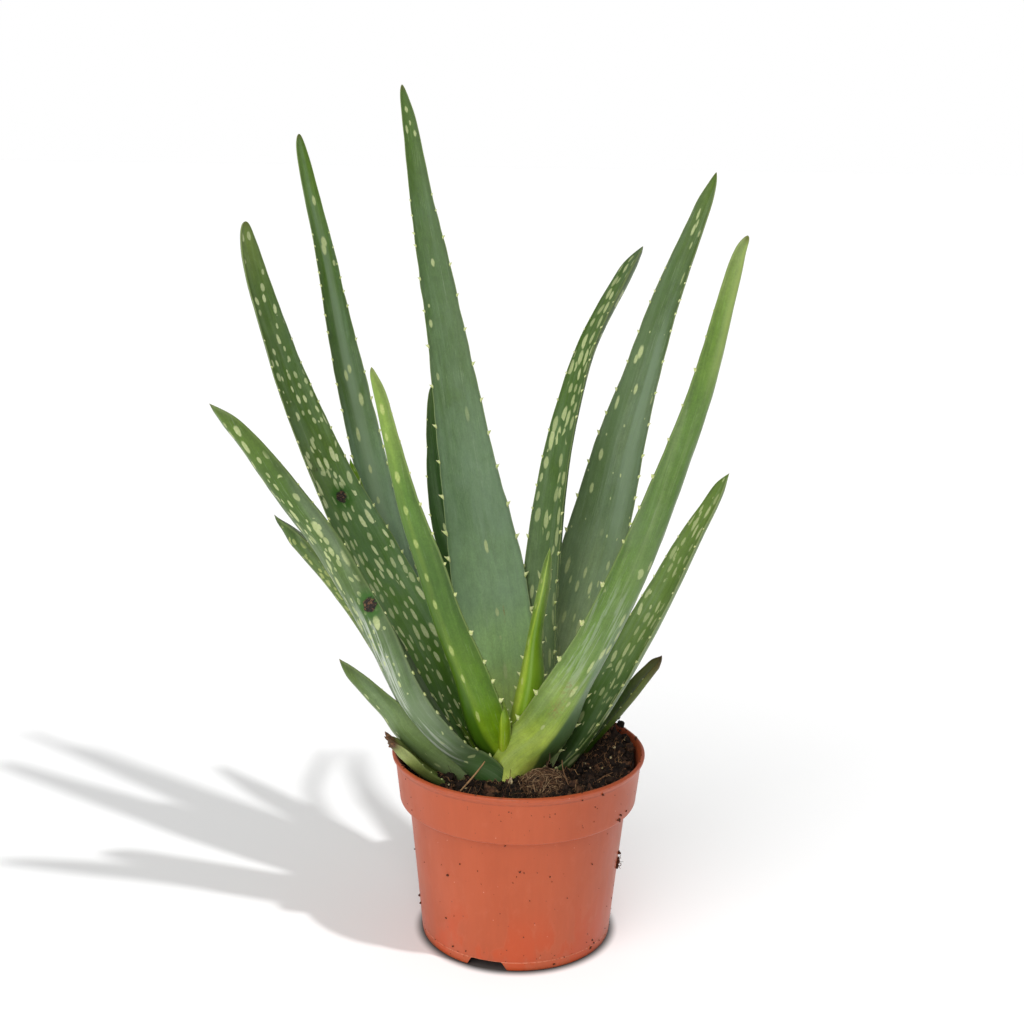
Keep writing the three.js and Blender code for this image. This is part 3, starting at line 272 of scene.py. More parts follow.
class Net:
    """a short way to write shader nodes"""

    def __init__(self, name):
        self.mat = bpy.data.materials.new(name)
        self.mat.use_nodes = True
        self.t = self.mat.node_tree
        self.t.nodes.clear()
        self.out = self.t.nodes.new("ShaderNodeOutputMaterial")
        self.bsdf = self.t.nodes.new("ShaderNodeBsdfPrincipled")
        self.t.links.new(self.bsdf.outputs[0], self.out.inputs["Surface"])

    def link(self, a, b):
        if isinstance(a, bpy.types.NodeSocket):
            self.t.links.new(a, b)
        else:
            b.default_value = a

    def math(self, op, a, b=0.0, c=None, clamp=False):
        n = self.t.nodes.new("ShaderNodeMath")
        n.operation = op
        n.use_clamp = clamp
        self.link(a, n.inputs[0])
        self.link(b, n.inputs[1])
        if c is not None:
            self.link(c, n.inputs[2])
        return n.outputs[0]

    def vec(self, op, a, b=None, scale=None):
        n = self.t.nodes.new("ShaderNodeVectorMath")
        n.operation = op
        self.link(a, n.inputs[0])
        if b is not None:
            self.link(b, n.inputs[1])
        if scale is not None:
            self.link(scale, n.inputs["Scale"])
        return n.outputs["Value"] if op in ("LENGTH", "DOT_PRODUCT", "DISTANCE") else n.outputs[0]

    def attr(self, name, out="Vector"):
        n = self.t.nodes.new("ShaderNodeAttribute")
        n.attribute_name = name
        return n.outputs[out]

    def geo(self, out="Position"):
        return self.t.nodes.new("ShaderNodeNewGeometry").outputs[out]

    def sep(self, v):
        n = self.t.nodes.new("ShaderNodeSeparateXYZ")
        self.link(v, n.inputs[0])
        return n.outputs[0], n.outputs[1], n.outputs[2]

    def comb(self, x=0.0, y=0.0, z=0.0):
        n = self.t.nodes.new("ShaderNodeCombineXYZ")
        self.link(x, n.inputs[0])
        self.link(y, n.inputs[1])
        self.link(z, n.inputs[2])
        return n.outputs[0]

    def noise(self, v, scale=1.0, detail=3.0, rough=0.55, dist=0.0, out="Fac"):
        n = self.t.nodes.new("ShaderNodeTexNoise")
        self.link(v, n.inputs["Vector"])
        n.inputs["Scale"].default_value = scale
        n.inputs["Detail"].default_value = detail
        n.inputs["Roughness"].default_value = rough
        n.inputs["Distortion"].default_value = dist
        return n.outputs["Fac" if out == "Fac" else "Color"]

    def voronoi(self, v, scale=1.0, feature="F1", randomness=1.0):
        n = self.t.nodes.new("ShaderNodeTexVoronoi")
        n.feature = feature
        self.link(v, n.inputs["Vector"])
        n.inputs["Scale"].default_value = scale
        n.inputs["Randomness"].default_value = randomness
        return n

    def step(self, v, lo, hi, a=0.0, b=1.0, smooth=True):
        n = self.t.nodes.new("ShaderNodeMapRange")
        n.interpolation_type = "SMOOTHSTEP" if smooth else "LINEAR"
        n.clamp = True
        for k, x in zip(("Value", "From Min", "From Max", "To Min", "To Max"), (v, lo, hi, a, b)):
            self.link(x, n.inputs[k])
        return n.outputs[0]

    def mix(self, fac, a, b, mode="MIX"):
        n = self.t.nodes.new("ShaderNodeMix")
        n.data_type = "RGBA"
        n.blend_type = mode
        n.clamp_factor = True
        self.link(fac, n.inputs["Factor"])
        self.link(a, n.inputs[6])
        self.link(b, n.inputs[7])
        return n.outputs[2]

    def ramp(self, v, stops, interp="EASE"):
        n = self.t.nodes.new("ShaderNodeValToRGB")
        r = n.color_ramp
        r.interpolation = interp
        while len(r.elements) < len(stops):
            r.elements.new(0.5)
        for e, (p, c) in zip(r.elements, stops):
            e.position = p
            e.color = c if hasattr(c, "__len__") else (c, c, c, 1.0)
        self.link(v, n.inputs[0])
        return n.outputs[0]

    def bump(self, height, strength, distance, normal=None):
        n = self.t.nodes.new("ShaderNodeBump")
        n.inputs["Strength"].default_value = strength
        n.inputs["Distance"].default_value = distance
        self.link(height, n.inputs["Height"])
        if normal is not None:
            self.link(normal, n.inputs["Normal"])
        return n.outputs[0]

    def finish(self, colour, rough, normal=None, spec=0.5, sss=None, coat=None):
        self.link(colour, self.bsdf.inputs["Base Color"])
        self.link(rough, self.bsdf.inputs["Roughness"])
        self.bsdf.inputs["Specular IOR Level"].default_value = spec
        if normal is not None:
            self.link(normal, self.bsdf.inputs["Normal"])
        if sss is not None:
            self.bsdf.inputs["Subsurface Weight"].default_value = sss[0]
            self.bsdf.inputs["Subsurface Radius"].default_value = sss[1]
            self.bsdf.inputs["Subsurface Scale"].default_value = sss[2]
        if coat is not None:
            self.bsdf.inputs["Coat Weight"].default_value = coat[0]
            self.bsdf.inputs["Coat Roughness"].default_value = coat[1]
        return self.mat


# ------------------------------------------------------------------ leaves: the same stations as the CAD solids, millimetres
# (share of the length, centre x, y, z, half-width, inner-face direction x, y, z, channel depth, thickness), the last two
# as shares of the half-width; keel is the roundness of the back
LEAVES = {
    "leaf_tall_centre": {"keel": 2.3, "rows": [
        (0, -5.7, 2.0, 80.0, 14.0, 0.12, -0.95, 0.27, 0.42, 0.26),
        (0.05, -6.4, 6.5, 95.8, 15.5, 0.11, -0.96, 0.27, 0.40, 0.27),
        (0.11, -7.7, 11.2, 115.0, 16.9, 0.10, -0.97, 0.24, 0.34, 0.28),
        (0.18, -10.5, 16.4, 137.3, 17.9, 0.09, -0.97, 0.23, 0.26, 0.31),
        (0.26, -14.5, 22.1, 162.8, 18.2, 0.09, -0.97, 0.23, 0.20, 0.34),
        (0.35, -19.9, 28.2, 191.3, 16.2, 0.07, -0.97, 0.23, 0.20, 0.34),
        (0.45, -26.5, 34.9, 222.9, 13.4, 0.09, -0.97, 0.22, 0.20, 0.34),
        (0.55, -32.2, 41.5, 254.7, 11.2, 0.08, -0.97, 0.22, 0.20, 0.34),
        (0.65, -38.0, 47.9, 286.5, 9.0, 0.09, -0.97, 0.21, 0.19, 0.36),
        (0.75, -44.3, 54.3, 318.3, 7.5, 0.08, -0.97, 0.21, 0.16, 0.47),
        (0.84, -50.2, 60.0, 346.8, 5.4, 0.08, -0.97, 0.21, 0.13, 0.61),
        (0.91, -54.0, 64.4, 369.1, 4.1, 0.09, -0.97, 0.21, 0.11, 0.70),
        (0.96, -57.0, 67.5, 385.1, 3.0, 0.08, -0.97, 0.22, 0.10, 0.74),
        (0.985, -58.9, 69.3, 392.9, 1.8, 0.08, -0.98, 0.20, 0.10, 0.75),
        (1, -59.8, 70.0, 397.7, 0.0, 0.08, -0.98, 0.20, 0.10, 0.75),
    ]},
    "leaf_back_left": {"keel": 2.3, "rows": [
        (0, -9.7, 0.5, 78.0, 13.0, 0.37, -0.85, 0.36, 0.56, 0.26),
        (0.05, -19.7, 2.9, 91.2, 12.5, 0.27, -0.72, 0.63, 0.54, 0.27),
        (0.11, -29.9, 15.5, 103.0, 12.0, 0.37, -0.39, 0.85, 0.48, 0.30),
        (0.18, -40.8, 30.6, 117.1, 11.5, 0.38, -0.66, 0.65, 0.40, 0.35),
        (0.26, -51.6, 41.0, 139.6, 10.9, 0.47, -0.73, 0.49, 0.34, 0.39),
        (0.35, -61.4, 50.6, 166.7, 10.3, 0.51, -0.76, 0.40, 0.34, 0.40),
        (0.45, -70.6, 59.4, 198.0, 9.7, 0.53, -0.77, 0.35, 0.34, 0.40),
        (0.55, -78.9, 67.5, 229.7, 9.3, 0.54, -0.78, 0.33, 0.34, 0.40),
        (0.65, -86.9, 75.2, 261.6, 8.4, 0.54, -0.78, 0.33, 0.31, 0.42),
        (0.75, -94.3, 82.3, 293.8, 6.5, 0.56, -0.79, 0.27, 0.24, 0.51),
        (0.84, -100.6, 88.5, 322.9, 5.1, 0.54, -0.78, 0.31, 0.17, 0.63),
        (0.91, -106.4, 93.9, 345.1, 4.2, 0.54, -0.78, 0.33, 0.12, 0.70),
        (0.96, -110.3, 97.7, 361.1, 3.6, 0.55, -0.78, 0.30, 0.11, 0.74),
        (0.985, -112.2, 99.4, 369.2, 2.4, 0.55, -0.79, 0.27, 0.10, 0.75),
        (1, -113.0, 100.3, 374.1, 0.0, 0.56, -0.79, 0.27, 0.10, 0.75),
    ]},
    "leaf_young_left": {"keel": 1.45, "rows": [
        (0, -7.2, -6.0, 86.0, 8.0, 0.43, 0.89, 0.16, 0.68, 0.26),
        (0.05, -10.3, -6.6, 96.0, 10.8, 0.38, 0.87, 0.32, 0.66, 0.27),
        (0.11, -14.3, -10.4, 107.4, 12.6, 0.46, 0.78, 0.43, 0.60, 0.30),
        (0.18, -17.5, -15.7, 120.8, 12.6, 0.56, 0.74, 0.36, 0.52, 0.35),
        (0.26, -21.4, -19.7, 136.6, 11.9, 0.65, 0.66, 0.36, 0.46, 0.39),
        (0.35, -27.0, -24.9, 154.0, 11.2, 0.67, 0.60, 0.44, 0.46, 0.40),
        (0.45, -33.7, -30.7, 173.1, 9.8, 0.69, 0.62, 0.37, 0.46, 0.40),
        (0.55, -39.3, -35.8, 192.8, 9.2, 0.68, 0.62, 0.39, 0.46, 0.40),
        (0.65, -45.6, -41.2, 212.1, 8.1, 0.68, 0.62, 0.38, 0.41, 0.42),
        (0.75, -51.1, -46.0, 231.9, 6.3, 0.71, 0.64, 0.31, 0.31, 0.51),
        (0.84, -55.3, -49.6, 250.0, 5.0, 0.71, 0.64, 0.28, 0.20, 0.63),
        (0.91, -58.4, -52.4, 264.1, 4.1, 0.71, 0.64, 0.30, 0.14, 0.70),
        (0.96, -60.9, -54.7, 274.1, 3.4, 0.69, 0.63, 0.36, 0.11, 0.74),
        (0.985, -62.6, -56.0, 278.9, 1.9, 0.68, 0.63, 0.39, 0.10, 0.75),
        (1, -63.5, -56.7, 281.8, 0.0, 0.67, 0.63, 0.39, 0.10, 0.75),
    ]},
    "leaf_left_spotted": {"keel": 2.3, "rows": [
        (0, -11.2, -0.7, 76.0, 14.0, 0.69, -0.68, 0.24, 0.47, 0.26),
        (0.05, -16.1, -0.1, 89.9, 14.6, 0.60, -0.67, 0.44, 0.45, 0.27),
        (0.11, -25.9, 5.3, 103.5, 15.2, 0.52, -0.54, 0.66, 0.39, 0.30),
        (0.18, -35.8, 12.6, 120.0, 15.6, 0.59, -0.62, 0.52, 0.31, 0.34),
        (0.26, -47.1, 18.6, 140.0, 15.8, 0.57, -0.63, 0.54, 0.25, 0.37),
        (0.35, -60.6, 25.8, 161.7, 15.9, 0.56, -0.62, 0.55, 0.25, 0.38),
        (0.45, -75.6, 33.7, 185.9, 15.1, 0.56, -0.63, 0.55, 0.25, 0.38),
        (0.55, -89.9, 41.3, 210.7, 12.6, 0.59, -0.63, 0.50, 0.25, 0.38),
        (0.65, -102.4, 47.9, 236.6, 11.0, 0.63, -0.64, 0.44, 0.23, 0.40),
        (0.75, -113.8, 53.9, 263.2, 9.2, 0.65, -0.65, 0.40, 0.19, 0.50),
        (0.84, -122.5, 58.7, 287.9, 7.7, 0.68, -0.65, 0.34, 0.14, 0.62),
        (0.91, -129.0, 62.0, 307.3, 6.5, 0.68, -0.66, 0.32, 0.12, 0.70),
        (0.96, -132.7, 64.0, 321.4, 5.2, 0.72, -0.66, 0.22, 0.10, 0.74),
        (0.985, -134.1, 64.6, 328.7, 3.4, 0.73, -0.67, 0.18, 0.10, 0.75),
        (1, -134.6, 64.9, 333.1, 0.0, 0.73, -0.67, 0.17, 0.10, 0.75),
    ]},
    "leaf_centre_young": {"keel": 1.6, "rows": [
        (0, -3.1, -5.7, 87.0, 6.0, 0.14, 0.99, -0.01, 0.64, 0.26),
        (0.05, -1.6, -6.0, 92.4, 6.3, 0.17, 0.98, 0.09, 0.62, 0.27),
        (0.11, -0.0, -7.4, 98.7, 6.5, 0.20, 0.95, 0.24, 0.56, 0.31),
        (0.18, 1.4, -9.6, 106.1, 6.7, 0.18, 0.97, 0.19, 0.48, 0.36),
        (0.26, 3.1, -11.3, 114.7, 6.7, 0.17, 0.98, 0.14, 0.42, 0.41),
        (0.35, 4.7, -12.8, 124.5, 6.5, 0.15, 0.98, 0.10, 0.42, 0.42),
        (0.45, 5.8, -13.7, 135.6, 5.6, 0.14, 0.99, 0.04, 0.42, 0.42),
        (0.55, 6.2, -14.1, 146.8, 3.9, 0.14, 0.99, 0.04, 0.42, 0.42),
        (0.65, 7.3, -15.1, 157.8, 3.1, 0.15, 0.98, 0.10, 0.38, 0.43),
        (0.75, 8.9, -16.5, 168.8, 2.9, 0.16, 0.98, 0.11, 0.29, 0.52),
        (0.84, 10.5, -17.9, 178.6, 2.7, 0.15, 0.98, 0.10, 0.19, 0.63),
        (0.91, 11.4, -18.8, 186.3, 2.1, 0.15, 0.98, 0.09, 0.13, 0.71),
        (0.96, 12.2, -19.4, 191.9, 1.3, 0.15, 0.99, 0.08, 0.11, 0.74),
        (0.985, 12.4, -19.7, 194.6, 0.4, 0.14, 0.99, 0.07, 0.10, 0.75),
        (1, 12.5, -19.8, 196.3, 0.0, 0.14, 0.99, 0.07, 0.10, 0.75),
    ]},
    "leaf_centre_tiny": {"keel": 2.3, "rows": [
        (0, -6.2, -13.9, 94.0, 3.0, 0.16, 0.84, 0.52, 0.52, 0.26),
        (0.05, -6.3, -14.8, 95.4, 3.0, 0.16, 0.87, 0.46, 0.50, 0.29),
        (0.11, -6.5, -15.5, 97.2, 3.0, 0.16, 0.92, 0.36, 0.44, 0.36),
        (0.18, -6.6, -16.3, 99.3, 3.0, 0.17, 0.94, 0.31, 0.36, 0.48),
        (0.26, -6.7, -17.0, 101.8, 3.1, 0.18, 0.94, 0.28, 0.30, 0.58),
        (0.35, -6.7, -17.8, 104.7, 3.1, 0.18, 0.95, 0.26, 0.30, 0.60),
        (0.45, -6.7, -18.6, 107.8, 3.1, 0.18, 0.95, 0.24, 0.30, 0.60),
        (0.55, -6.8, -19.4, 111.0, 3.1, 0.18, 0.96, 0.23, 0.30, 0.60),
        (0.65, -6.9, -20.1, 114.2, 2.9, 0.16, 0.96, 0.23, 0.27, 0.61),
        (0.75, -7.2, -20.8, 117.3, 2.4, 0.15, 0.96, 0.23, 0.22, 0.65),
        (0.84, -7.5, -21.4, 120.2, 1.7, 0.16, 0.96, 0.22, 0.16, 0.70),
        (0.91, -7.7, -21.9, 122.4, 1.1, 0.17, 0.96, 0.21, 0.12, 0.73),
        (0.96, -7.8, -22.2, 124.0, 0.5, 0.17, 0.96, 0.21, 0.10, 0.75),
        (0.985, -7.8, -22.4, 124.8, 0.1, 0.17, 0.97, 0.20, 0.10, 0.75),
        (1, -7.8, -22.5, 125.3, 0.0, 0.17, 0.97, 0.19, 0.10, 0.75),
    ]},
    "leaf_front_right": {"keel": 1.5, "rows": [
        (0, -6.7, -13.8, 80.0, 11.0, -0.19, 0.98, -0.04, 0.58, 0.26),
        (0.05, -0.7, -12.4, 92.1, 12.6, -0.12, 0.99, 0.07, 0.56, 0.27),
        (0.11, 9.5, -14.8, 105.4, 14.4, -0.10, 0.93, 0.35, 0.50, 0.31),
        (0.18, 17.1, -21.3, 122.7, 14.2, -0.34, 0.84, 0.43, 0.42, 0.36),
        (0.26, 24.9, -28.0, 143.0, 14.5, -0.55, 0.70, 0.45, 0.36, 0.41),
        (0.35, 34.5, -35.8, 165.6, 13.6, -0.62, 0.62, 0.48, 0.36, 0.42),
        (0.45, 44.4, -43.5, 191.2, 12.6, -0.66, 0.63, 0.41, 0.36, 0.42),
        (0.55, 53.6, -50.5, 217.3, 11.2, -0.67, 0.64, 0.37, 0.36, 0.42),
        (0.65, 62.0, -56.9, 243.8, 9.8, -0.67, 0.64, 0.37, 0.33, 0.43),
        (0.75, 69.8, -62.9, 270.6, 7.9, -0.69, 0.66, 0.30, 0.25, 0.52),
        (0.84, 75.4, -67.2, 295.3, 6.4, -0.70, 0.66, 0.26, 0.18, 0.63),
        (0.91, 79.3, -70.2, 314.7, 5.2, -0.70, 0.66, 0.25, 0.13, 0.71),
        (0.96, 82.2, -72.6, 328.5, 4.3, -0.69, 0.65, 0.31, 0.11, 0.74),
        (0.985, 84.2, -74.1, 335.1, 2.9, -0.63, 0.64, 0.44, 0.10, 0.75),
        (1, 86.2, -75.3, 338.7, 0.0, -0.62, 0.64, 0.46, 0.10, 0.75),
    ]},
    "leaf_right_dark": {"keel": 2.3, "rows": [
        (0, -0.5, 0.0, 79.0, 14.0, -0.51, -0.80, 0.32, 0.42, 0.26),
        (0.05, 6.6, 1.5, 92.6, 15.4, -0.49, -0.73, 0.48, 0.40, 0.27),
        (0.11, 13.6, 9.9, 107.4, 16.7, -0.56, -0.57, 0.60, 0.34, 0.28),
        (0.18, 19.4, 18.2, 126.2, 17.7, -0.60, -0.73, 0.32, 0.26, 0.31),
        (0.26, 25.3, 23.6, 149.6, 18.3, -0.59, -0.73, 0.35, 0.20, 0.34),
        (0.35, 32.6, 30.2, 175.6, 18.5, -0.59, -0.73, 0.35, 0.20, 0.34),
        (0.45, 40.2, 36.9, 204.8, 16.8, -0.61, -0.74, 0.29, 0.20, 0.34),
        (0.55, 47.4, 43.4, 234.1, 14.1, -0.59, -0.73, 0.35, 0.20, 0.34),
        (0.65, 56.2, 51.2, 262.7, 10.6, -0.58, -0.72, 0.38, 0.19, 0.36),
        (0.75, 65.1, 59.3, 291.1, 8.7, -0.57, -0.71, 0.41, 0.16, 0.47),
        (0.84, 74.6, 67.8, 315.9, 6.8, -0.54, -0.70, 0.48, 0.13, 0.61),
        (0.91, 82.5, 74.9, 334.7, 5.2, -0.53, -0.69, 0.48, 0.11, 0.70),
        (0.96, 88.1, 79.9, 348.2, 4.0, -0.53, -0.70, 0.48, 0.10, 0.74),
        (0.985, 91.0, 82.4, 354.9, 1.9, -0.54, -0.70, 0.47, 0.10, 0.75),
        (1, 92.5, 83.8, 359.0, 0.0, -0.54, -0.70, 0.47, 0.10, 0.75),
    ]},
    "leaf_back_right": {"keel": 2.3, "rows": [
        (0, -1.3, 1.9, 76.0, 13.0, -0.70, -0.67, 0.23, 0.46, 0.26),
        (0.05, 2.2, 3.4, 89.7, 13.0, -0.71, -0.60, 0.36, 0.44, 0.27),
        (0.11, 5.2, 11.5, 104.4, 12.9, -0.75, -0.50, 0.42, 0.38, 0.31),
        (0.18, 7.6, 17.3, 123.0, 12.7, -0.74, -0.66, 0.12, 0.30, 0.36),
        (0.26, 8.1, 18.0, 145.8, 12.3, -0.74, -0.67, 0.02, 0.24, 0.41),
        (0.35, 9.0, 19.4, 171.4, 11.7, -0.74, -0.66, 0.11, 0.24, 0.42),
        (0.45, 11.6, 23.3, 199.6, 10.4, -0.73, -0.65, 0.21, 0.24, 0.42),
        (0.55, 15.5, 29.5, 227.1, 9.2, -0.73, -0.62, 0.30, 0.24, 0.42),
        (0.65, 21.5, 39.2, 253.2, 7.9, -0.71, -0.55, 0.45, 0.22, 0.43),
        (0.75, 29.3, 52.1, 277.4, 6.7, -0.69, -0.43, 0.58, 0.18, 0.52),
        (0.84, 38.8, 67.8, 295.3, 6.6, -0.66, -0.29, 0.69, 0.14, 0.63),
        (0.91, 46.9, 80.9, 308.0, 5.9, -0.66, -0.25, 0.71, 0.11, 0.71),
        (0.96, 53.0, 90.6, 316.4, 4.8, -0.61, -0.17, 0.77, 0.10, 0.74),
        (0.985, 56.8, 95.6, 319.9, 2.1, -0.58, -0.14, 0.80, 0.10, 0.75),
        (1, 59.1, 98.6, 321.8, 0.0, -0.57, -0.14, 0.81, 0.10, 0.75),
    ]},
    "leaf_right_spotted": {"keel": 2.3, "rows": [
        (0, 2.0, -3.3, 76.0, 13.0, -0.53, -0.10, 0.84, 0.50, 0.26),
        (0.05, 9.2, -2.8, 81.1, 12.1, -0.65, -0.04, 0.76, 0.48, 0.27),
        (0.11, 17.2, -1.6, 88.2, 11.3, -0.69, -0.10, 0.72, 0.42, 0.31),
        (0.18, 25.1, -0.6, 97.7, 10.7, -0.77, -0.30, 0.57, 0.34, 0.38),
        (0.26, 32.8, 0.2, 109.7, 10.5, -0.76, -0.43, 0.48, 0.28, 0.43),
        (0.35, 40.5, 0.9, 123.7, 10.8, -0.77, -0.48, 0.43, 0.28, 0.44),
        (0.45, 48.9, 1.8, 139.4, 10.7, -0.76, -0.48, 0.44, 0.28, 0.44),
        (0.55, 57.2, 2.7, 155.2, 10.1, -0.77, -0.48, 0.42, 0.28, 0.44),
        (0.65, 65.4, 3.5, 171.0, 9.0, -0.77, -0.48, 0.42, 0.26, 0.45),
        (0.75, 73.2, 4.3, 187.0, 7.8, -0.78, -0.48, 0.41, 0.20, 0.54),
        (0.84, 80.6, 5.1, 201.2, 6.0, -0.76, -0.48, 0.44, 0.15, 0.64),
        (0.91, 86.7, 5.7, 212.1, 4.6, -0.76, -0.48, 0.44, 0.12, 0.71),
        (0.96, 90.9, 6.2, 220.0, 3.3, -0.73, -0.49, 0.47, 0.10, 0.74),
        (0.985, 93.4, 6.4, 223.6, 1.1, -0.69, -0.51, 0.52, 0.10, 0.75),
        (1, 95.0, 6.5, 225.7, 0.0, -0.68, -0.51, 0.53, 0.10, 0.75),
    ]},
    "leaf_front_left": {"keel": 2.3, "rows": [
        (0, -8.0, -14.6, 77.0, 9.0, 0.72, 0.69, 0.08, 0.56, 0.26),
        (0.05, -12.8, -12.3, 86.2, 11.2, 0.63, 0.64, 0.44, 0.54, 0.28),
        (0.11, -22.1, -10.0, 96.0, 13.7, 0.74, 0.38, 0.56, 0.48, 0.33),
        (0.18, -32.0, -12.1, 108.4, 16.0, 0.76, 0.22, 0.61, 0.40, 0.42),
        (0.26, -41.8, -15.2, 123.7, 16.7, 0.84, 0.15, 0.51, 0.34, 0.49),
        (0.35, -51.0, -18.1, 142.0, 15.6, 0.89, 0.14, 0.43, 0.34, 0.50),
        (0.45, -61.2, -20.9, 162.4, 14.3, 0.80, 0.26, 0.54, 0.34, 0.50),
        (0.55, -73.1, -24.0, 181.8, 11.7, 0.75, 0.41, 0.52, 0.34, 0.50),
        (0.65, -84.8, -27.2, 201.4, 10.9, 0.66, 0.51, 0.55, 0.31, 0.51),
        (0.75, -97.8, -30.8, 220.0, 10.2, 0.64, 0.54, 0.54, 0.24, 0.58),
        (0.84, -109.5, -34.1, 236.8, 8.6, 0.62, 0.55, 0.56, 0.17, 0.66),
        (0.91, -119.1, -36.8, 249.4, 6.5, 0.57, 0.55, 0.62, 0.12, 0.72),
        (0.96, -126.9, -39.0, 257.5, 4.7, 0.47, 0.54, 0.70, 0.11, 0.74),
        (0.985, -131.4, -40.3, 260.9, 1.8, 0.40, 0.54, 0.74, 0.10, 0.75),
        (1, -134.1, -41.0, 262.9, 0.0, 0.39, 0.54, 0.75, 0.10, 0.75),
    ]},
    "leaf_small_left": {"keel": 2.3, "rows": [
        (0, -12.0, -4.2, 74.0, 10.0, 0.62, 0.27, 0.74, 0.52, 0.26),
        (0.05, -18.3, -4.2, 79.5, 9.5, 0.68, 0.24, 0.70, 0.50, 0.28),
        (0.11, -25.1, -4.4, 86.9, 9.1, 0.74, 0.21, 0.64, 0.44, 0.33),
        (0.18, -32.5, -4.6, 96.0, 8.6, 0.76, 0.21, 0.62, 0.36, 0.42),
        (0.26, -40.8, -4.9, 106.6, 8.2, 0.79, 0.20, 0.57, 0.30, 0.49),
        (0.35, -49.3, -5.2, 119.1, 7.9, 0.83, 0.19, 0.52, 0.30, 0.50),
        (0.45, -57.3, -5.6, 133.8, 7.7, 0.87, 0.19, 0.45, 0.30, 0.50),
        (0.55, -65.4, -5.8, 148.5, 7.6, 0.84, 0.19, 0.51, 0.30, 0.50),
        (0.65, -74.4, -6.1, 162.7, 7.6, 0.82, 0.20, 0.54, 0.27, 0.51),
        (0.75, -83.8, -6.4, 176.6, 7.8, 0.80, 0.20, 0.56, 0.22, 0.58),
        (0.84, -92.8, -6.6, 188.7, 8.4, 0.75, 0.21, 0.63, 0.16, 0.66),
        (0.91, -100.8, -6.9, 197.3, 7.6, 0.65, 0.21, 0.73, 0.12, 0.72),
        (0.96, -107.4, -7.4, 202.4, 3.7, 0.56, 0.21, 0.80, 0.10, 0.74),
        (0.985, -110.9, -7.6, 204.8, 1.0, 0.59, 0.21, 0.78, 0.10, 0.75),
        (1, -112.7, -7.8, 206.5, 0.0, 0.59, 0.21, 0.78, 0.10, 0.75),
    ]},
    "leaf_low_left": {"keel": 2.3, "rows": [
        (0, -11.8, -5.6, 73.0, 9.5, 0.48, 0.53, 0.70, 0.52, 0.26),
        (0.05, -15.8, -5.6, 76.1, 9.5, 0.58, 0.51, 0.64, 0.50, 0.28),
        (0.11, -19.8, -6.6, 80.5, 9.6, 0.48, 0.53, 0.70, 0.44, 0.33),
        (0.18, -25.2, -8.4, 84.6, 9.7, 0.39, 0.56, 0.73, 0.36, 0.42),
        (0.26, -31.4, -9.9, 89.6, 9.9, 0.47, 0.56, 0.68, 0.30, 0.49),
        (0.35, -38.0, -11.5, 95.7, 10.1, 0.49, 0.58, 0.65, 0.30, 0.50),
        (0.45, -44.9, -13.1, 102.9, 10.5, 0.51, 0.60, 0.62, 0.30, 0.50),
        (0.55, -51.6, -14.8, 110.3, 10.0, 0.57, 0.60, 0.57, 0.30, 0.50),
        (0.65, -58.0, -16.2, 118.0, 8.3, 0.51, 0.61, 0.60, 0.27, 0.51),
        (0.75, -64.9, -17.8, 125.2, 6.9, 0.50, 0.62, 0.60, 0.22, 0.58),
        (0.84, -71.1, -19.2, 131.7, 5.7, 0.48, 0.63, 0.61, 0.16, 0.66),
        (0.91, -76.1, -20.4, 136.6, 4.3, 0.46, 0.63, 0.63, 0.12, 0.72),
        (0.96, -79.6, -21.2, 140.1, 2.3, 0.46, 0.63, 0.62, 0.10, 0.74),
        (0.985, -81.4, -21.6, 141.8, 0.7, 0.48, 0.63, 0.61, 0.10, 0.75),
        (1, -82.4, -21.9, 142.9, 0.0, 0.48, 0.63, 0.61, 0.10, 0.75),
    ]},
    "leaf_cut_stub": {"keel": 2.3, "rows": [
        (0, -12.4, -7.1, 73.0, 4.2, 0.47, 0.54, 0.70, 0.52, 0.26),
        (0.1, -17.4, -8.5, 76.1, 4.7, 0.54, -0.18, 0.82, 0.46, 0.32),
        (0.25, -25.1, -12.4, 79.6, 5.5, 0.33, -0.05, 0.94, 0.31, 0.48),
        (0.4, -33.1, -15.8, 83.2, 6.2, 0.48, 0.06, 0.88, 0.30, 0.50),
        (0.55, -40.3, -19.0, 88.3, 6.2, 0.60, 0.14, 0.79, 0.30, 0.50),
        (0.7, -46.4, -21.8, 94.8, 6.6, 0.72, 0.22, 0.66, 0.25, 0.54),
        (0.82, -50.9, -23.8, 100.5, 6.7, 0.72, 0.24, 0.65, 0.17, 0.64),
        (0.92, -55.3, -25.5, 104.5, 5.0, 0.52, 0.14, 0.84, 0.12, 0.72),
        (1, -59.4, -27.1, 106.8, 3.7, 0.39, 0.13, 0.91, 0.10, 0.75),
    ]},
    "leaf_low_right": {"keel": 2.3, "rows": [
        (0, 1.6, -1.6, 74.0, 9.0, -0.26, -0.50, 0.83, 0.50, 0.26),
        (0.05, 5.9, -1.2, 75.7, 7.9, -0.43, -0.02, 0.90, 0.48, 0.28),
        (0.11, 10.6, 1.1, 77.7, 6.8, -0.56, 0.52, 0.64, 0.42, 0.33),
        (0.18, 15.9, 4.3, 79.8, 5.8, -0.38, 0.22, 0.90, 0.34, 0.42),
        (0.26, 22.4, 6.4, 82.8, 5.1, -0.53, 0.02, 0.85, 0.28, 0.49),
        (0.35, 29.0, 8.8, 87.5, 4.6, -0.62, -0.05, 0.79, 0.28, 0.50),
        (0.45, 35.3, 11.1, 94.1, 4.5, -0.73, -0.11, 0.67, 0.28, 0.50),
        (0.55, 41.2, 13.3, 101.0, 5.1, -0.74, -0.12, 0.66, 0.28, 0.50),
        (0.65, 47.1, 15.4, 108.1, 5.6, -0.75, -0.12, 0.65, 0.26, 0.51),
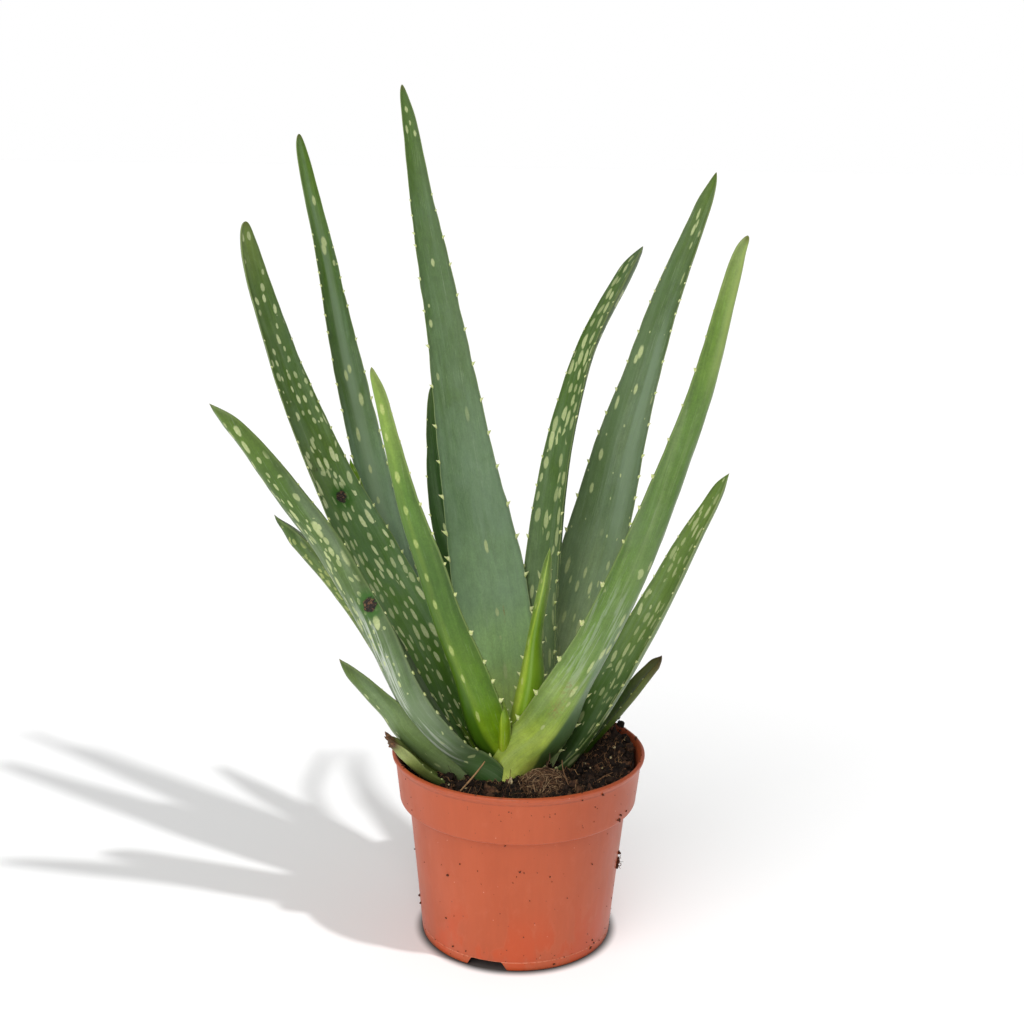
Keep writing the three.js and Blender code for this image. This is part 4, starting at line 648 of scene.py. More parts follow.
        (0.75, 52.7, 17.5, 115.3, 6.0, -0.77, -0.13, 0.63, 0.20, 0.58),
        (0.84, 58.0, 19.5, 121.6, 5.5, -0.70, -0.11, 0.70, 0.15, 0.66),
        (0.91, 62.5, 21.0, 126.2, 4.6, -0.67, -0.09, 0.73, 0.12, 0.72),
        (0.96, 66.0, 22.1, 129.1, 3.9, -0.58, -0.11, 0.81, 0.10, 0.74),
        (0.985, 67.9, 22.6, 130.4, 1.4, -0.58, -0.13, 0.80, 0.10, 0.75),
        (1, 68.9, 22.9, 131.4, 0.0, -0.59, -0.14, 0.80, 0.10, 0.75),
    ]},
    "leaf_back_dark": {"keel": 2.3, "rows": [
        (0, -6.2, 2.9, 76.0, 13.0, 0.04, -0.59, 0.80, 0.47, 0.26),
        (0.05, -8.2, 10.8, 82.1, 12.2, 0.04, -0.69, 0.73, 0.45, 0.27),
        (0.11, -10.7, 18.4, 91.3, 11.5, 0.06, -0.80, 0.60, 0.39, 0.30),
        (0.18, -13.7, 26.2, 102.9, 10.9, 0.07, -0.83, 0.55, 0.31, 0.34),
        (0.26, -16.9, 34.4, 116.6, 10.5, 0.09, -0.86, 0.51, 0.25, 0.37),
        (0.35, -20.4, 42.9, 132.5, 10.2, 0.09, -0.87, 0.48, 0.25, 0.38),
        (0.45, -24.7, 51.9, 150.3, 10.2, 0.08, -0.89, 0.45, 0.25, 0.38),
        (0.55, -29.8, 60.4, 168.1, 10.7, 0.07, -0.90, 0.44, 0.25, 0.38),
        (0.65, -34.8, 68.5, 186.1, 10.7, 0.09, -0.90, 0.42, 0.23, 0.40),
        (0.75, -38.8, 76.4, 204.5, 9.4, 0.12, -0.91, 0.40, 0.19, 0.50),
        (0.84, -41.6, 83.2, 221.3, 7.1, 0.12, -0.91, 0.39, 0.14, 0.62),
        (0.91, -43.8, 88.4, 234.4, 5.2, 0.13, -0.92, 0.38, 0.12, 0.70),
        (0.96, -44.9, 92.2, 243.8, 3.9, 0.14, -0.91, 0.39, 0.10, 0.74),
        (0.985, -45.6, 94.2, 248.4, 2.1, 0.16, -0.92, 0.35, 0.10, 0.75),
        (1, -45.5, 95.0, 251.4, 0.0, 0.16, -0.93, 0.34, 0.10, 0.75),
    ]},
    "leaf_bright_back": {"keel": 2.3, "rows": [
        (0, -9.9, -0.5, 81.0, 6.0, 0.52, -0.76, 0.40, 0.57, 0.26),
        (0.05, -14.6, 0.3, 87.9, 5.9, 0.46, -0.67, 0.58, 0.55, 0.28),
        (0.11, -20.0, 5.3, 94.8, 5.7, 0.48, -0.39, 0.78, 0.49, 0.33),
        (0.18, -26.2, 11.5, 102.5, 5.5, 0.48, -0.58, 0.66, 0.41, 0.42),
        (0.26, -33.2, 16.6, 113.0, 5.2, 0.51, -0.61, 0.61, 0.35, 0.49),
        (0.35, -40.6, 22.0, 125.1, 4.9, 0.53, -0.62, 0.58, 0.35, 0.50),
        (0.45, -48.4, 27.7, 138.9, 4.6, 0.55, -0.63, 0.55, 0.35, 0.50),
        (0.55, -55.9, 33.1, 153.0, 4.2, 0.57, -0.64, 0.51, 0.35, 0.50),
        (0.65, -62.7, 38.1, 167.7, 3.8, 0.59, -0.65, 0.48, 0.32, 0.51),
        (0.75, -69.4, 42.9, 182.4, 3.5, 0.59, -0.65, 0.48, 0.25, 0.58),
        (0.84, -75.4, 47.2, 195.7, 3.1, 0.60, -0.65, 0.47, 0.17, 0.66),
        (0.91, -79.8, 50.4, 206.2, 2.8, 0.61, -0.66, 0.43, 0.13, 0.72),
        (0.96, -82.7, 52.4, 213.9, 2.3, 0.64, -0.67, 0.37, 0.11, 0.74),
        (0.985, -83.9, 53.3, 217.9, 0.8, 0.66, -0.68, 0.33, 0.10, 0.75),
        (1, -84.5, 53.7, 220.3, 0.0, 0.66, -0.68, 0.32, 0.10, 0.75),
    ]},
}


# ------------------------------------------------------------------ leaf skin
TOOTH = None


def tissue(r, g, b):
    """The wax mirrors a little of the white room over everything, so the tissue below it is deeper than it looks."""
    return tuple(max(c - off, 0.15 * c) * 0.93 for c, off in zip(lin(r, g, b)[:3], (0.022, 0.020, 0.028))) + (1.0,)


def leaf_skin(name, k):
    """Waxy leaf skin. Attributes on the mesh: co = (across mm, along mm, 1 on the back), lf = (share of length, mm from the margin, share across)."""
    n = Net("skin_" + name)
    x, y, back = n.sep(n.attr("co"))
    t, edge, s = n.sep(n.attr("lf"))
    seed = k["seed"] * 13.7
    flat = n.comb(n.math("MULTIPLY_ADD", back, 61.0, x), y, seed)

    # colour along the leaf, inner face and back
    inner = n.ramp(t, [(p, tissue(*c)) for p, c in k["inner"]], "EASE")
    outer = n.ramp(t, [(p, tissue(*c)) for p, c in k.get("back", k["inner"])], "EASE")
    col = n.mix(n.step(back, 0.25, 0.75), inner, outer)

    # broad cloudy change, then lengthwise bands and fine veins
    cloud = n.noise(n.vec("MULTIPLY", flat, (0.045, 0.022, 1.0)), 1.0, 3.0, 0.6)
    col = n.mix(n.step(cloud, 0.32, 0.68, 0.0, k.get("cloud", 0.35)), col, tissue(*k.get("cloud_col", (70, 100, 50))))
    band = n.noise(n.vec("MULTIPLY", flat, (0.36, 0.011, 1.0)), 1.0, 2.0, 0.5)
    col = n.mix(n.step(band, 0.42, 0.72, 0.0, k.get("band", 0.28)), col, tissue(*k.get("band_col", (140, 160, 128))))
    vein = n.noise(n.vec("MULTIPLY", flat, (1.9, 0.035, 1.0)), 1.0, 3.0, 0.6)
    shade = n.step(vein, 0.3, 0.7, 1.0 - k.get("vein", 0.10), 1.0 + k.get("vein", 0.10), smooth=False)
    blot = n.noise(n.vec("MULTIPLY", flat, (0.42, 0.15, 1.0)), 1.0, 4.0, 0.68, 0.4)
    shade = n.math("MULTIPLY", shade, n.step(blot, 0.3, 0.7, 0.86, 1.12, smooth=False))
    col = n.mix(1.0, col, n.comb(shade, shade, shade), "MULTIPLY")
    # hair-fine pale lines in the wax
    hair = n.noise(n.vec("MULTIPLY", flat, (2.3, 0.045, 1.0)), 1.0, 3.0, 0.65, 0.2)
    hair = n.math("MULTIPLY", n.step(hair, 0.55, 0.74), n.step(blot, 0.42, 0.6, 0.3, 1.0))
    col = n.mix(n.math("MULTIPLY", hair, k.get("hair", 0.22)), col, tissue(*k.get("hair_col", (176, 190, 160))))
    pore = n.noise(n.vec("MULTIPLY", flat, (1.5, 0.9, 1.0)), 1.0, 2.0, 0.65)
    fine = n.noise(n.vec("MULTIPLY", flat, (3.4, 1.7, 1.0)), 1.0, 2.0, 0.7)
    fleck = n.math("MULTIPLY", n.step(pore, 0.3, 0.75, 0.91, 1.10, smooth=False), n.step(fine, 0.3, 0.7, 0.93, 1.07, smooth=False))
    col = n.mix(1.0, col, n.comb(fleck, fleck, fleck), "MULTIPLY")

    # the grey-blue waxy bloom, rubbed off in places
    wear = n.noise(n.vec("MULTIPLY", flat, (0.10, 0.035, 1.0)), 1.0, 4.0, 0.6, 0.6)
    bloom = n.step(wear, 0.22, 0.78)
    if "bloom" in k:
        amount = n.ramp(t, k["bloom"], "EASE")
        col = n.mix(n.math("MULTIPLY", bloom, amount), col, tissue(*k.get("bloom_col", (150, 172, 158))))

    # beyond the keel the back may have another tone, on some leaves painted shade on the side of the back turned from
    # the light: (which way, border along the leaf, colours, amount, softness)
    if k.get("flank"):
        way, border, tones, amount, soft = k["flank"]
        edge_s = n.math("MULTIPLY_ADD", n.ramp(t, [(p, 0.5 + 0.5 * v) for p, v in border], "LINEAR"), 2.0, -1.0)
        past = n.math("MULTIPLY", n.math("SUBTRACT", s, edge_s), float(way))
        fm = n.math("MULTIPLY", n.step(past, -soft, soft), n.step(back, 0.4, 0.8))
        fm = n.math("MULTIPLY", fm, n.ramp(t, amount, "LINEAR"))
        col = n.mix(fm, col, n.ramp(t, [(p, tissue(*c)) for p, c in tones], "EASE"))
    # long stripes: (middle across [(t, s)], half-width across, amount along [(t, a)], colour, 1 on the back); on some
    # leaves a pale stripe is painted sheen, the wax's soft reflection
    for mid, half, amount, rgb, face in k.get("stripe", []):
        ms = n.math("MULTIPLY_ADD", n.ramp(t, [(p, 0.5 + 0.5 * v) for p, v in mid], "LINEAR"), 2.0, -1.0)
        sw = n.math("MULTIPLY_ADD", n.math("SUBTRACT", band, 0.5), 0.5, n.math("SUBTRACT", s, ms))
        mk = n.math("MULTIPLY", n.step(n.math("ABSOLUTE", sw), half, half * 0.25), n.ramp(t, amount, "LINEAR"))
        mk = n.math("MULTIPLY", mk, n.step(back, 0.4, 0.8) if face else n.step(back, 0.6, 0.2))
        col = n.mix(mk, col, tissue(*rgb))
    # whitish streaks where the wax is scraped: (from s, to s, from t, to t, strength)
    for s0, s1, t0, t1, face, strength in k.get("streaks", []):
        st = n.noise(n.vec("MULTIPLY", flat, (0.75, 0.030, 1.0)), 1.0, 4.0, 0.7, 0.3)
        mk = n.math("MULTIPLY", n.step(s, s0, s0 + 0.35 * (s1 - s0)), n.step(t, t1, t1 - 0.12))
        mk = n.math("MULTIPLY", mk, n.step(t, t0, t0 + 0.08))
        mk = n.math("MULTIPLY", mk, n.step(back, 0.4, 0.8) if face else n.step(back, 0.6, 0.2))
        mk = n.math("MULTIPLY", mk, n.step(st, 0.48, 0.60))
        col = n.mix(n.math("MULTIPLY", mk, strength), col, tissue(206, 214, 200))

    # the keel on the back: a painted highlight, a lighter line along it
    if k.get("keel_highlight"):
        at = k.get("keel_at", 0.0)
        if isinstance(at, list):
            at = n.math("MULTIPLY_ADD", n.ramp(t, [(p, 0.5 + 0.5 * v) for p, v in at], "LINEAR"), 2.0, -1.0)
        keel_highlight_mask = n.step(n.math("ABSOLUTE", n.math("SUBTRACT", s, at)), k.get("keel_w", 0.16), 0.02)
        keel_highlight_mask = n.math("MULTIPLY", keel_highlight_mask, n.step(back, 0.5, 0.9))
        keel_highlight_mask = n.math("MULTIPLY", keel_highlight_mask, n.step(n.noise(n.vec("MULTIPLY", flat, (0.2, 0.05, 1.0)), 1.0, 3.0), 0.25, 0.6, 0.45, 1.0))
        col = n.mix(n.math("MULTIPLY", keel_highlight_mask, k["keel_highlight"]), col, tissue(*k.get("keel_highlight_col", (196, 210, 130))))

    # pale spots: long ellipses, one in a cell, some left out, denser in some places than in others
    wob = n.noise(n.vec("MULTIPLY", flat, (0.8, 0.55, 1.0)), 1.0, 2.0, 0.5, 0.0, "Color")
    wob = n.vec("SUBTRACT", wob, (0.5, 0.5, 0.5))
    drift = n.noise(n.vec("MULTIPLY", flat, (0.07, 0.035, 1.0)), 1.0, 1.0, 0.5, 0.0, "Color")
    drift = n.vec("SUBTRACT", drift, (0.5, 0.5, 0.5))
    crowd = n.step(n.noise(n.vec("MULTIPLY", flat, (0.10, 0.05, 1.0)), 1.0, 1.0, 0.5), 0.3, 0.7, -0.22, 0.22)
    clear = n.step(edge, 0.5, 1.4)
    spots = None
    for i, (a, b, hw, hl, dens_in, dens_back) in enumerate(k.get("spots", [])):
        v = n.vec("ADD", n.vec("MULTIPLY", flat, (1.0 / a, 1.0 / b, 1.0)), (7.3 * i, 3.1 * i + seed, 0.0))
        v = n.vec("ADD", v, n.vec("MULTIPLY", drift, (1.1, 0.9, 0.0)))
        vo = n.voronoi(v, 1.0, "F1", 0.62)
        vo.voronoi_dimensions = "2D"
        cr, cg, cb = n.sep(vo.outputs["Color"])
        off = n.vec("MULTIPLY", n.vec("SUBTRACT", v, vo.outputs["Position"]), (a, b, 0.0))
        off = n.vec("ADD", off, n.vec("MULTIPLY", wob, (0.42, 0.8, 0.0)))
        ox, oy, _ = n.sep(off)
        ox = n.math("MULTIPLY_ADD", oy, n.math("MULTIPLY_ADD", cb, 0.16, -0.08), ox)
        size = n.math("MULTIPLY_ADD", cr, 0.62, 0.66)
        ex = n.math("DIVIDE", ox, n.math("MULTIPLY", size, hw))
        ey = n.math("DIVIDE", oy, n.math("MULTIPLY", n.math("MULTIPLY_ADD", cb, 0.35, 0.8), n.math("MULTIPLY", size, hl)))
        d = n.math("SQRT", n.math("ADD", n.math("MULTIPLY", ex, ex), n.math("MULTIPLY", ey, ey)))
        dens = n.mix(n.step(back, 0.4, 0.6), n.ramp(t, dens_in, "LINEAR"), n.ramp(t, dens_back, "LINEAR"))
        dens = n.math("ADD", dens, n.math("MULTIPLY", crowd, n.step(dens, 0.0, 0.2)))
        on = n.step(n.math("SUBTRACT", dens, cg), -0.004, 0.004)
        m = n.math("MULTIPLY", n.math("MULTIPLY", n.step(d, 1.16, 0.78), on), n.step(cb, 0.0, 1.0, 0.62, 1.0))
        spots = m if spots is None else n.math("MAXIMUM", spots, m)
    for fx, fy, hw, hl, face, strength in k.get("fixed", []):
        c = n.vec("SUBTRACT", n.comb(n.math("MULTIPLY_ADD", n.sep(wob)[0], 0.5, x), n.math("MULTIPLY_ADD", n.sep(wob)[1], 0.9, y), n.math("MULTIPLY", back, 60.0)), (fx, fy, 60.0 * face))
        d = n.vec("LENGTH", n.vec("MULTIPLY", c, (1.0 / hw, 1.0 / hl, 0.5)))
        m = n.math("MULTIPLY", n.step(d, 1.25, 0.66), strength)
        spots = m if spots is None else n.math("MAXIMUM", spots, m)
    if spots is not None:
        spots = n.math("MULTIPLY", spots, clear)
        tint = n.mix(n.step(pore, 0.3, 0.7), tissue(*k.get("spot_col", (190, 203, 142))), tissue(*k.get("spot_col2", (206, 214, 160))))
        col = n.mix(n.math("MULTIPLY", spots, k.get("spot_mix", 0.86)), col, tint)

    # the face darkens along the side, painted shade where the leaf's edge and thickness turn from the light, then the
    # pale margin
    edge_shade_factor = n.step(edge, 2.3, 0.5, 1.0, k.get("edge_dark", 0.78))
    col = n.mix(1.0, col, n.comb(edge_shade_factor, edge_shade_factor, edge_shade_factor), "MULTIPLY")
    rim = n.step(edge, 0.55, 0.1, 0.0, k.get("rim", 0.3))
    col = n.mix(rim, col, tissue(*k.get("rim_col", (186, 200, 130))))

    # dark scars with a green ring, dry tips and brown scrapes
    pit = None
    for fx, fy, hw, hl, face in k.get("scars", []):
        c = n.vec("SUBTRACT", n.comb(x, y, n.math("MULTIPLY", back, 60.0)), (fx, fy, 60.0 * face))
        jag = n.noise(n.vec("MULTIPLY", flat, (0.55, 0.55, 1.0)), 1.0, 4.0, 0.7)
        d = n.vec("LENGTH", n.vec("MULTIPLY", c, (1.0 / hw, 1.0 / hl, 0.5)))
        d = n.math("ADD", d, n.math("MULTIPLY", n.math("SUBTRACT", jag, 0.5), 1.5))
        col = n.mix(n.step(d, 2.9, 1.1, 0.0, 0.85), col, tissue(60, 102, 12))
        grain = n.noise(n.vec("MULTIPLY", flat, (1.1, 1.1, 1.0)), 1.0, 4.0, 0.75)
        crust = n.mix(n.step(grain, 0.50, 0.66), (0.0090, 0.0050, 0.0022, 1.0), lin(132, 94, 60))
        inner_m = n.step(d, 1.18, 0.82)
        col = n.mix(inner_m, col, crust)
        relief = n.math("MULTIPLY", inner_m, n.math("SUBTRACT", grain, 1.0))
        pit = relief if pit is None else n.math("ADD", pit, relief)
    for fx, fy, hw, hl, face, rgb, strength in k.get("stains", []):
        c = n.vec("SUBTRACT", n.comb(x, y, n.math("MULTIPLY", back, 60.0)), (fx, fy, 60.0 * face))
        d = n.vec("LENGTH", n.vec("MULTIPLY", c, (1.0 / hw, 1.0 / hl, 0.5)))
        jag = n.noise(n.vec("MULTIPLY", flat, (0.8, 0.5, 1.0)), 1.0, 5.0, 0.75)
        m = n.math("MULTIPLY", n.step(d, 1.3, 0.2), n.step(jag, 0.45, 0.62))
        col = n.mix(n.math("MULTIPLY", m, strength), col, tissue(*rgb))
    tip = k.get("tip", (0.988, 1.0, 0.4))
    jagt = n.math("MULTIPLY_ADD", n.math("SUBTRACT", n.noise(n.vec("MULTIPLY", flat, (0.6, 0.25, 1.0)), 1.0, 3.0), 0.5), (tip[1] - tip[0]) * 0.9, t)
    col = n.mix(n.step(jagt, tip[0], tip[1], 0.0, tip[2]), col, tissue(*k.get("tip_col", (104, 84, 52))))

    rough = n.step(wear, 0.3, 0.7, k.get("rough", 0.40), k.get("rough", 0.40) + 0.12)
    if spots is not None:
        rough = n.math("MULTIPLY_ADD", spots, 0.06, rough)
    h = n.math("ADD", n.math("MULTIPLY", vein, 0.6), n.math("MULTIPLY", pore, 0.55))
    normal = n.bump(h, 0.35, 0.00016)
    broad = n.noise(n.vec("MULTIPLY", flat, (0.16, 0.05, 1.0)), 1.0, 2.0, 0.5)
    normal = n.bump(broad, 0.5, 0.0006, normal)
    if pit is not None:
        normal = n.bump(pit, 0.9, 0.0012, normal)
    return n.finish(col, rough, normal, spec=k.get("spec", 0.4), sss=(k.get("sss", 0.08), (0.5, 1.0, 0.25), 0.0022))


def tooth_skin():
    n = Net("leaf_tooth")
    v = n.geo()
    g = n.noise(n.vec("SCALE", v, scale=900.0), 1.0, 2.0)
    tone = n.attr("lf")
    up = n.sep(tone)[2]
    col = n.mix(n.step(g, 0.3, 0.7), lin(186, 200, 120), lin(214, 220, 160))
    col = n.mix(n.step(up, 0.55, 1.0, 0.0, 0.55), col, lin(226, 214, 170))
    rough = n.step(g, 0.2, 0.8, 0.42, 0.55)
    return n.finish(col, rough, n.bump(g, 0.3, 0.0001), sss=(0.2, (0.8, 1.0, 0.4), 0.0015))


# ------------------------------------------------------------------ leaf shape
NH = 18  # steps across each face


def leaf_frame(rows, t):
    rows = np.asarray(rows, float)
    tt = rows[:, 0]
    c = spline(tt, rows[:, 1:4], t)
    grid = np.linspace(0, 1, 1201)
    wg = np.maximum(monotone(tt, rows[:, 4], grid), 0.0)
    bell = np.exp(-0.5 * (np.arange(-72, 73) / 24.0) ** 2)
    soft = np.convolve(np.r_[2 * wg[0] - wg[72:0:-1], wg, np.zeros(72)], bell / bell.sum(), "valid")
    late = np.clip((grid - 0.84) / 0.08, 0, 1)
    late = late * late * (3 - 2 * late)
    wg = soft * (1 - late) + wg * late
    w1, w2 = np.interp([0.955, 0.985], grid, wg)
    p_tip = float(np.clip(math.log(max(w1, 0.2) / max(w2, 0.1)) / math.log(0.045 / 0.015), 0.42, 1.0))
    end = w1 * ((1 - grid) / 0.045) ** p_tip
    wg = np.where(grid > 0.955, end, wg)
    bell = np.exp(-0.5 * (np.arange(-36, 37) / 12.0) ** 2)
    soft = np.convolve(np.r_[2 * wg[0] - wg[36:0:-1], wg, np.zeros(36)], bell / bell.sum(), "valid")
    late = np.clip((grid - 0.966) / 0.016, 0, 1)
    wg = soft * (1 - late) + wg * late
    w = np.where(t > 0.982, w1 * (np.maximum(1 - t, 0.0) / 0.045) ** p_tip, np.interp(t, grid, wg))
    nn = spline(tt, rows[:, 5:8], t)
    ch = monotone(tt, rows[:, 8], t)
    th = monotone(tt, rows[:, 9], t)
    fine = np.linspace(0, 1, 800)
    cf = spline(tt, rows[:, 1:4], fine)
    tf = np.gradient(cf, axis=0)
    tf /= np.linalg.norm(tf, axis=1)[:, None]
    tan = np.stack([np.interp(t, fine, tf[:, i]) for i in range(3)], 1)
    tan /= np.linalg.norm(tan, axis=1)[:, None]
    arc_f = np.r_[0, np.cumsum(np.linalg.norm(np.diff(cf, axis=0), axis=1))]
    arc = np.interp(t, fine, arc_f)
    nn = nn - (nn * tan).sum(1)[:, None] * tan
    nn /= np.linalg.norm(nn, axis=1)[:, None]
    across = np.cross(tan, nn)
    return c, w, tan, nn, across, ch, th, arc, arc_f[-1]


def make_leaf(name, leaf, look):
    rows, keel = leaf["rows"], leaf["keel"]
    length = leaf_frame(rows, np.array([0.0, 1.0]))[8]
    count = int(length / 1.15) + 8
    t = np.r_[np.linspace(0, 0.962, count), 1.0 - 0.036 * (1.0 - np.arange(1, 15) / 14.6) ** 1.7]
    c, w, tan, nn, across, ch, th, arc, length = leaf_frame(rows, t)
    th_k = np.pi * np.arange(NH + 1) / NH
    s_in = np.cos(th_k)
    s_bk = -np.cos(th_k[1:-1])
    s = np.r_[s_in, s_bk]
    face = np.r_[np.zeros(NH + 1), np.ones(NH - 1)]
    face[0] = face[NH] = 0.5
    m = len(s)
    z_in = -(ch[:, None]) * (1 - s_in[None] ** 2)
    z_bk = -((ch + th)[:, None]) * (1 - np.abs(s_bk[None]) ** keel) ** 0.85
    z = np.concatenate([z_in, z_bk], 1)
    # the margins are rounded, about a millimetre thick
    wide = np.maximum(w, 0.3)[:, None]
    fat = np.minimum(0.5 / wide, 0.25) * np.sqrt(np.clip(1 - s[None] ** 2, 0, 1)) ** 0.8
    z = z + fat * np.where(face[None] < 0.5, 0.45, np.where(face[None] > 0.5, -0.9, 0.0))
    x_mm = s[None] * w[:, None]
    y_mm = np.repeat(arc[:, None], m, 1)
    pts = c[:, None] + x_mm[..., None] * across[:, None] + (z * w[:, None])[..., None] * nn[:, None]
    # slow unevenness of a grown surface: a fraction of a millimetre, fading out at the tip
    seed = look["seed"]
    f1 = waves(seed * 7 + 1, 14, 14.0, 60.0)
    f2 = waves(seed * 7 + 2, 14, 3.5, 10.0)
    q = np.stack([x_mm, y_mm * 0.35, face[None] * 40.0 + 0 * x_mm], 2).reshape(-1, 3)
    amp = np.minimum(w / 9.0, 1.0)[:, None] * (1 - np.abs(s[None]) ** 4)
    bump = (0.16 * f1(q) + 0.05 * f2(q)).reshape(x_mm.shape) * amp
    sign = np.where(face < 0.5, 1.0, np.where(face > 0.5, -1.0, 0.0))[None]
    pts = pts + (bump * sign)[..., None] * nn[:, None]
    # margins wave a little between the teeth
    f3 = waves(seed * 7 + 3, 10, 7.0, 30.0)
    for sd in (1, -1):
        sway = 0.10 * f3(np.stack([np.full(len(arc), sd * 50.0), arc, 0 * arc], 1)) * np.minimum(w / 7.0, 1.0)
        near = np.clip((sd * s[None] - 0.6) / 0.4, 0, 1) ** 2
        pts = pts + (near * (sd * sway)[:, None])[..., None] * across[:, None]
    n_r = len(t)
    verts = pts.reshape(-1, 3)
    co = np.stack([x_mm, y_mm, np.repeat(face[None], n_r, 0)], 2).reshape(-1, 3)
    lf = np.stack([np.repeat(t[:, None], m, 1), (1 - np.abs(s[None])) * w[:, None], np.repeat(s[None], n_r, 0)], 2).reshape(-1, 3)
    faces, uvs = [], []
    v_at = arc / length
    per = np.r_[np.arange(m) / m, 1.0] * 0.9
    for i in range(n_r - 1):
        for j in range(m):
            a, b = i * m + j, i * m + (j + 1) % m
            faces.append((a, a + m, b + m, b))
            uvs += [(per[j], v_at[i]), (per[j], v_at[i + 1]), (per[j + 1], v_at[i + 1]), (per[j + 1], v_at[i])]
    # base and tip caps
    extra = [pts[0].mean(0) + tan[0] * -1.0, c[-1] + tan[-1] * 0.15]
    base = len(verts)
    verts = np.concatenate([verts, extra])
    co = np.concatenate([co, [[0, 0, 0.5], [0, length, 0.5]]])
    lf = np.concatenate([lf, [[0, 5, 0], [1, 0.5, 0]]])
    mats = [0] * len(faces)
    ladder = []
    ladder.append((0, 1, m - 1))
    for j in range(1, m // 2 - 1):
        ladder.append((j, j + 1, m - j - 1, m - j))
    ladder.append((m // 2 - 1, m // 2, m // 2 + 1))
    for f in ladder:
        faces.append(f)
        mats.append(0)
        uvs += [(0.905 + 0.002 * q_, 0.002 + 0.002 * (q_ % 2)) for q_ in range(len(f))]
    last = (n_r - 1) * m
    for j in range(m):
        faces.append((last + j, base + 1, last + (j + 1) % m))
        mats.append(0)
        uvs += [(per[j], 0.999), (per[j], 1.0), (per[j + 1], 0.999)]
    # marginal teeth: small hooked thorns that lean towards the tip
    g = np.random.default_rng(seed + 900)
    teeth = []
    for sd in (1, -1):
        known = sorted(look.get("teeth", {}).get(sd, []))
        lo, hi = look.get("teeth_span", (0.06, 0.93))
        at = lo * length
        ys = [k * length for k in known]
        gap0, gap1 = look.get("tooth_gap", (14.0, 6.0))
        fill = []
        pos = at
        while pos < hi * length:
            u = pos / length
            gap = gap0 + (gap1 - gap0) * u
            if all(abs(pos - k) > gap * 0.62 for k in ys):
                fill.append(pos)
            pos += gap * g.uniform(0.8, 1.2)
        lo_k, hi_k = (min(ys), max(ys)) if ys else (1e9, -1e9)
        fill = [p for p in fill if not (lo_k < p < hi_k)]
        for p in ys + fill:
            u = p / length
            big = look.get("tooth", 1.9) * (0.55 + 0.75 * math.exp(-((u - 0.22) / 0.34) ** 2)) * g.uniform(0.8, 1.15)
            teeth.append((sd, u, big * (0.55 if u > 0.8 else 1.0)))
    tv, tf, tco, tlf = [], [], [], []
    off = len(verts)
    if teeth:
        tu = np.array([x[1] for x in teeth])
        cc, ww, tt_, nn_, aa, _, _, ar, _ = leaf_frame(rows, tu)
        lev = np.array([0.0, 0.22, 0.5, 0.78])
        sides = 7
        ang = np.arange(sides) * 2 * math.pi / sides
        for i, (sd, u, h) in enumerate(teeth):
            if ww[i] < 0.9:
                continue
            o = sd * aa[i] + 0.30 * tt_[i] + 0.10 * nn_[i]
            o /= np.linalg.norm(o)
            root = cc[i] + sd * (ww[i] - 0.45) * aa[i]
            k0 = off + len(tv)
            for q_, l in enumerate(lev):
                ctr = root + o * (h + 0.45) * l + tt_[i] * (0.55 * h * l * l)
                ra = (0.62 * h + 0.25) * (1 - l) ** 1.15 + 0.07
                rb = (0.24 * h + 0.18) * (1 - l) ** 0.9 + 0.06
                for a_ in ang:
                    tv.append(ctr + ra * math.cos(a_) * tt_[i] + rb * math.sin(a_) * nn_[i])
                    tco.append((sd * ww[i], ar[i], 0.5))
                    tlf.append((u, 0.2, l))
            tv.append(root + o * (h + 0.45) * 1.02 + tt_[i] * (0.55 * h))
            tco.append((sd * ww[i], ar[i], 0.5))
            tlf.append((u, 0.2, 1.0))
            tv.append(root - o * 0.3)
            tco.append((sd * ww[i], ar[i], 0.5))
            tlf.append((u, 0.2, 0.0))
            apex, foot = k0 + len(lev) * sides, k0 + len(lev) * sides + 1
            flip = sd < 0
            cell = 0.92 + 0.07 * ((i % 4) / 4.0), 0.01 + 0.97 * (i // 4) / max(1, (len(teeth) + 3) // 4)
            def add(f):
                f = f[::-1] if flip else f
                tf.append(f)
                for q_ in range(len(f)):
                    uvs.append((cell[0] + 0.012 * (q_ in (1, 2)), cell[1] + 0.01 * (q_ in (2, 3))))
            for q_ in range(len(lev) - 1):
                for j in range(sides):
                    a, b = k0 + q_ * sides + j, k0 + q_ * sides + (j + 1) % sides
                    add((a, a + sides, b + sides, b))
            top = k0 + (len(lev) - 1) * sides
            for j in range(sides):
                add((top + j, apex, top + (j + 1) % sides))
                add((k0 + (j + 1) % sides, foot, k0 + j))
    if tv:
        verts = np.concatenate([verts, tv])
        co = np.concatenate([co, tco])
        lf = np.concatenate([lf, tlf])
        faces += tf
        mats += [1] * len(tf)
    ob = make_mesh("visual_" + name, verts, faces, [leaf_skin(name, look), TOOTH], mats, {"co": co, "lf": lf}, uv=uvs)
    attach(ob, "root")
    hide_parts(name)
    return ob


# ------------------------------------------------------------------ how each leaf looks
# colours are display values at a share of the length; spots are layers of
# (cell width mm, cell length mm, half-width, half-length, density along the inner face, density along the back)
def same(*stops):
    return list(stops)


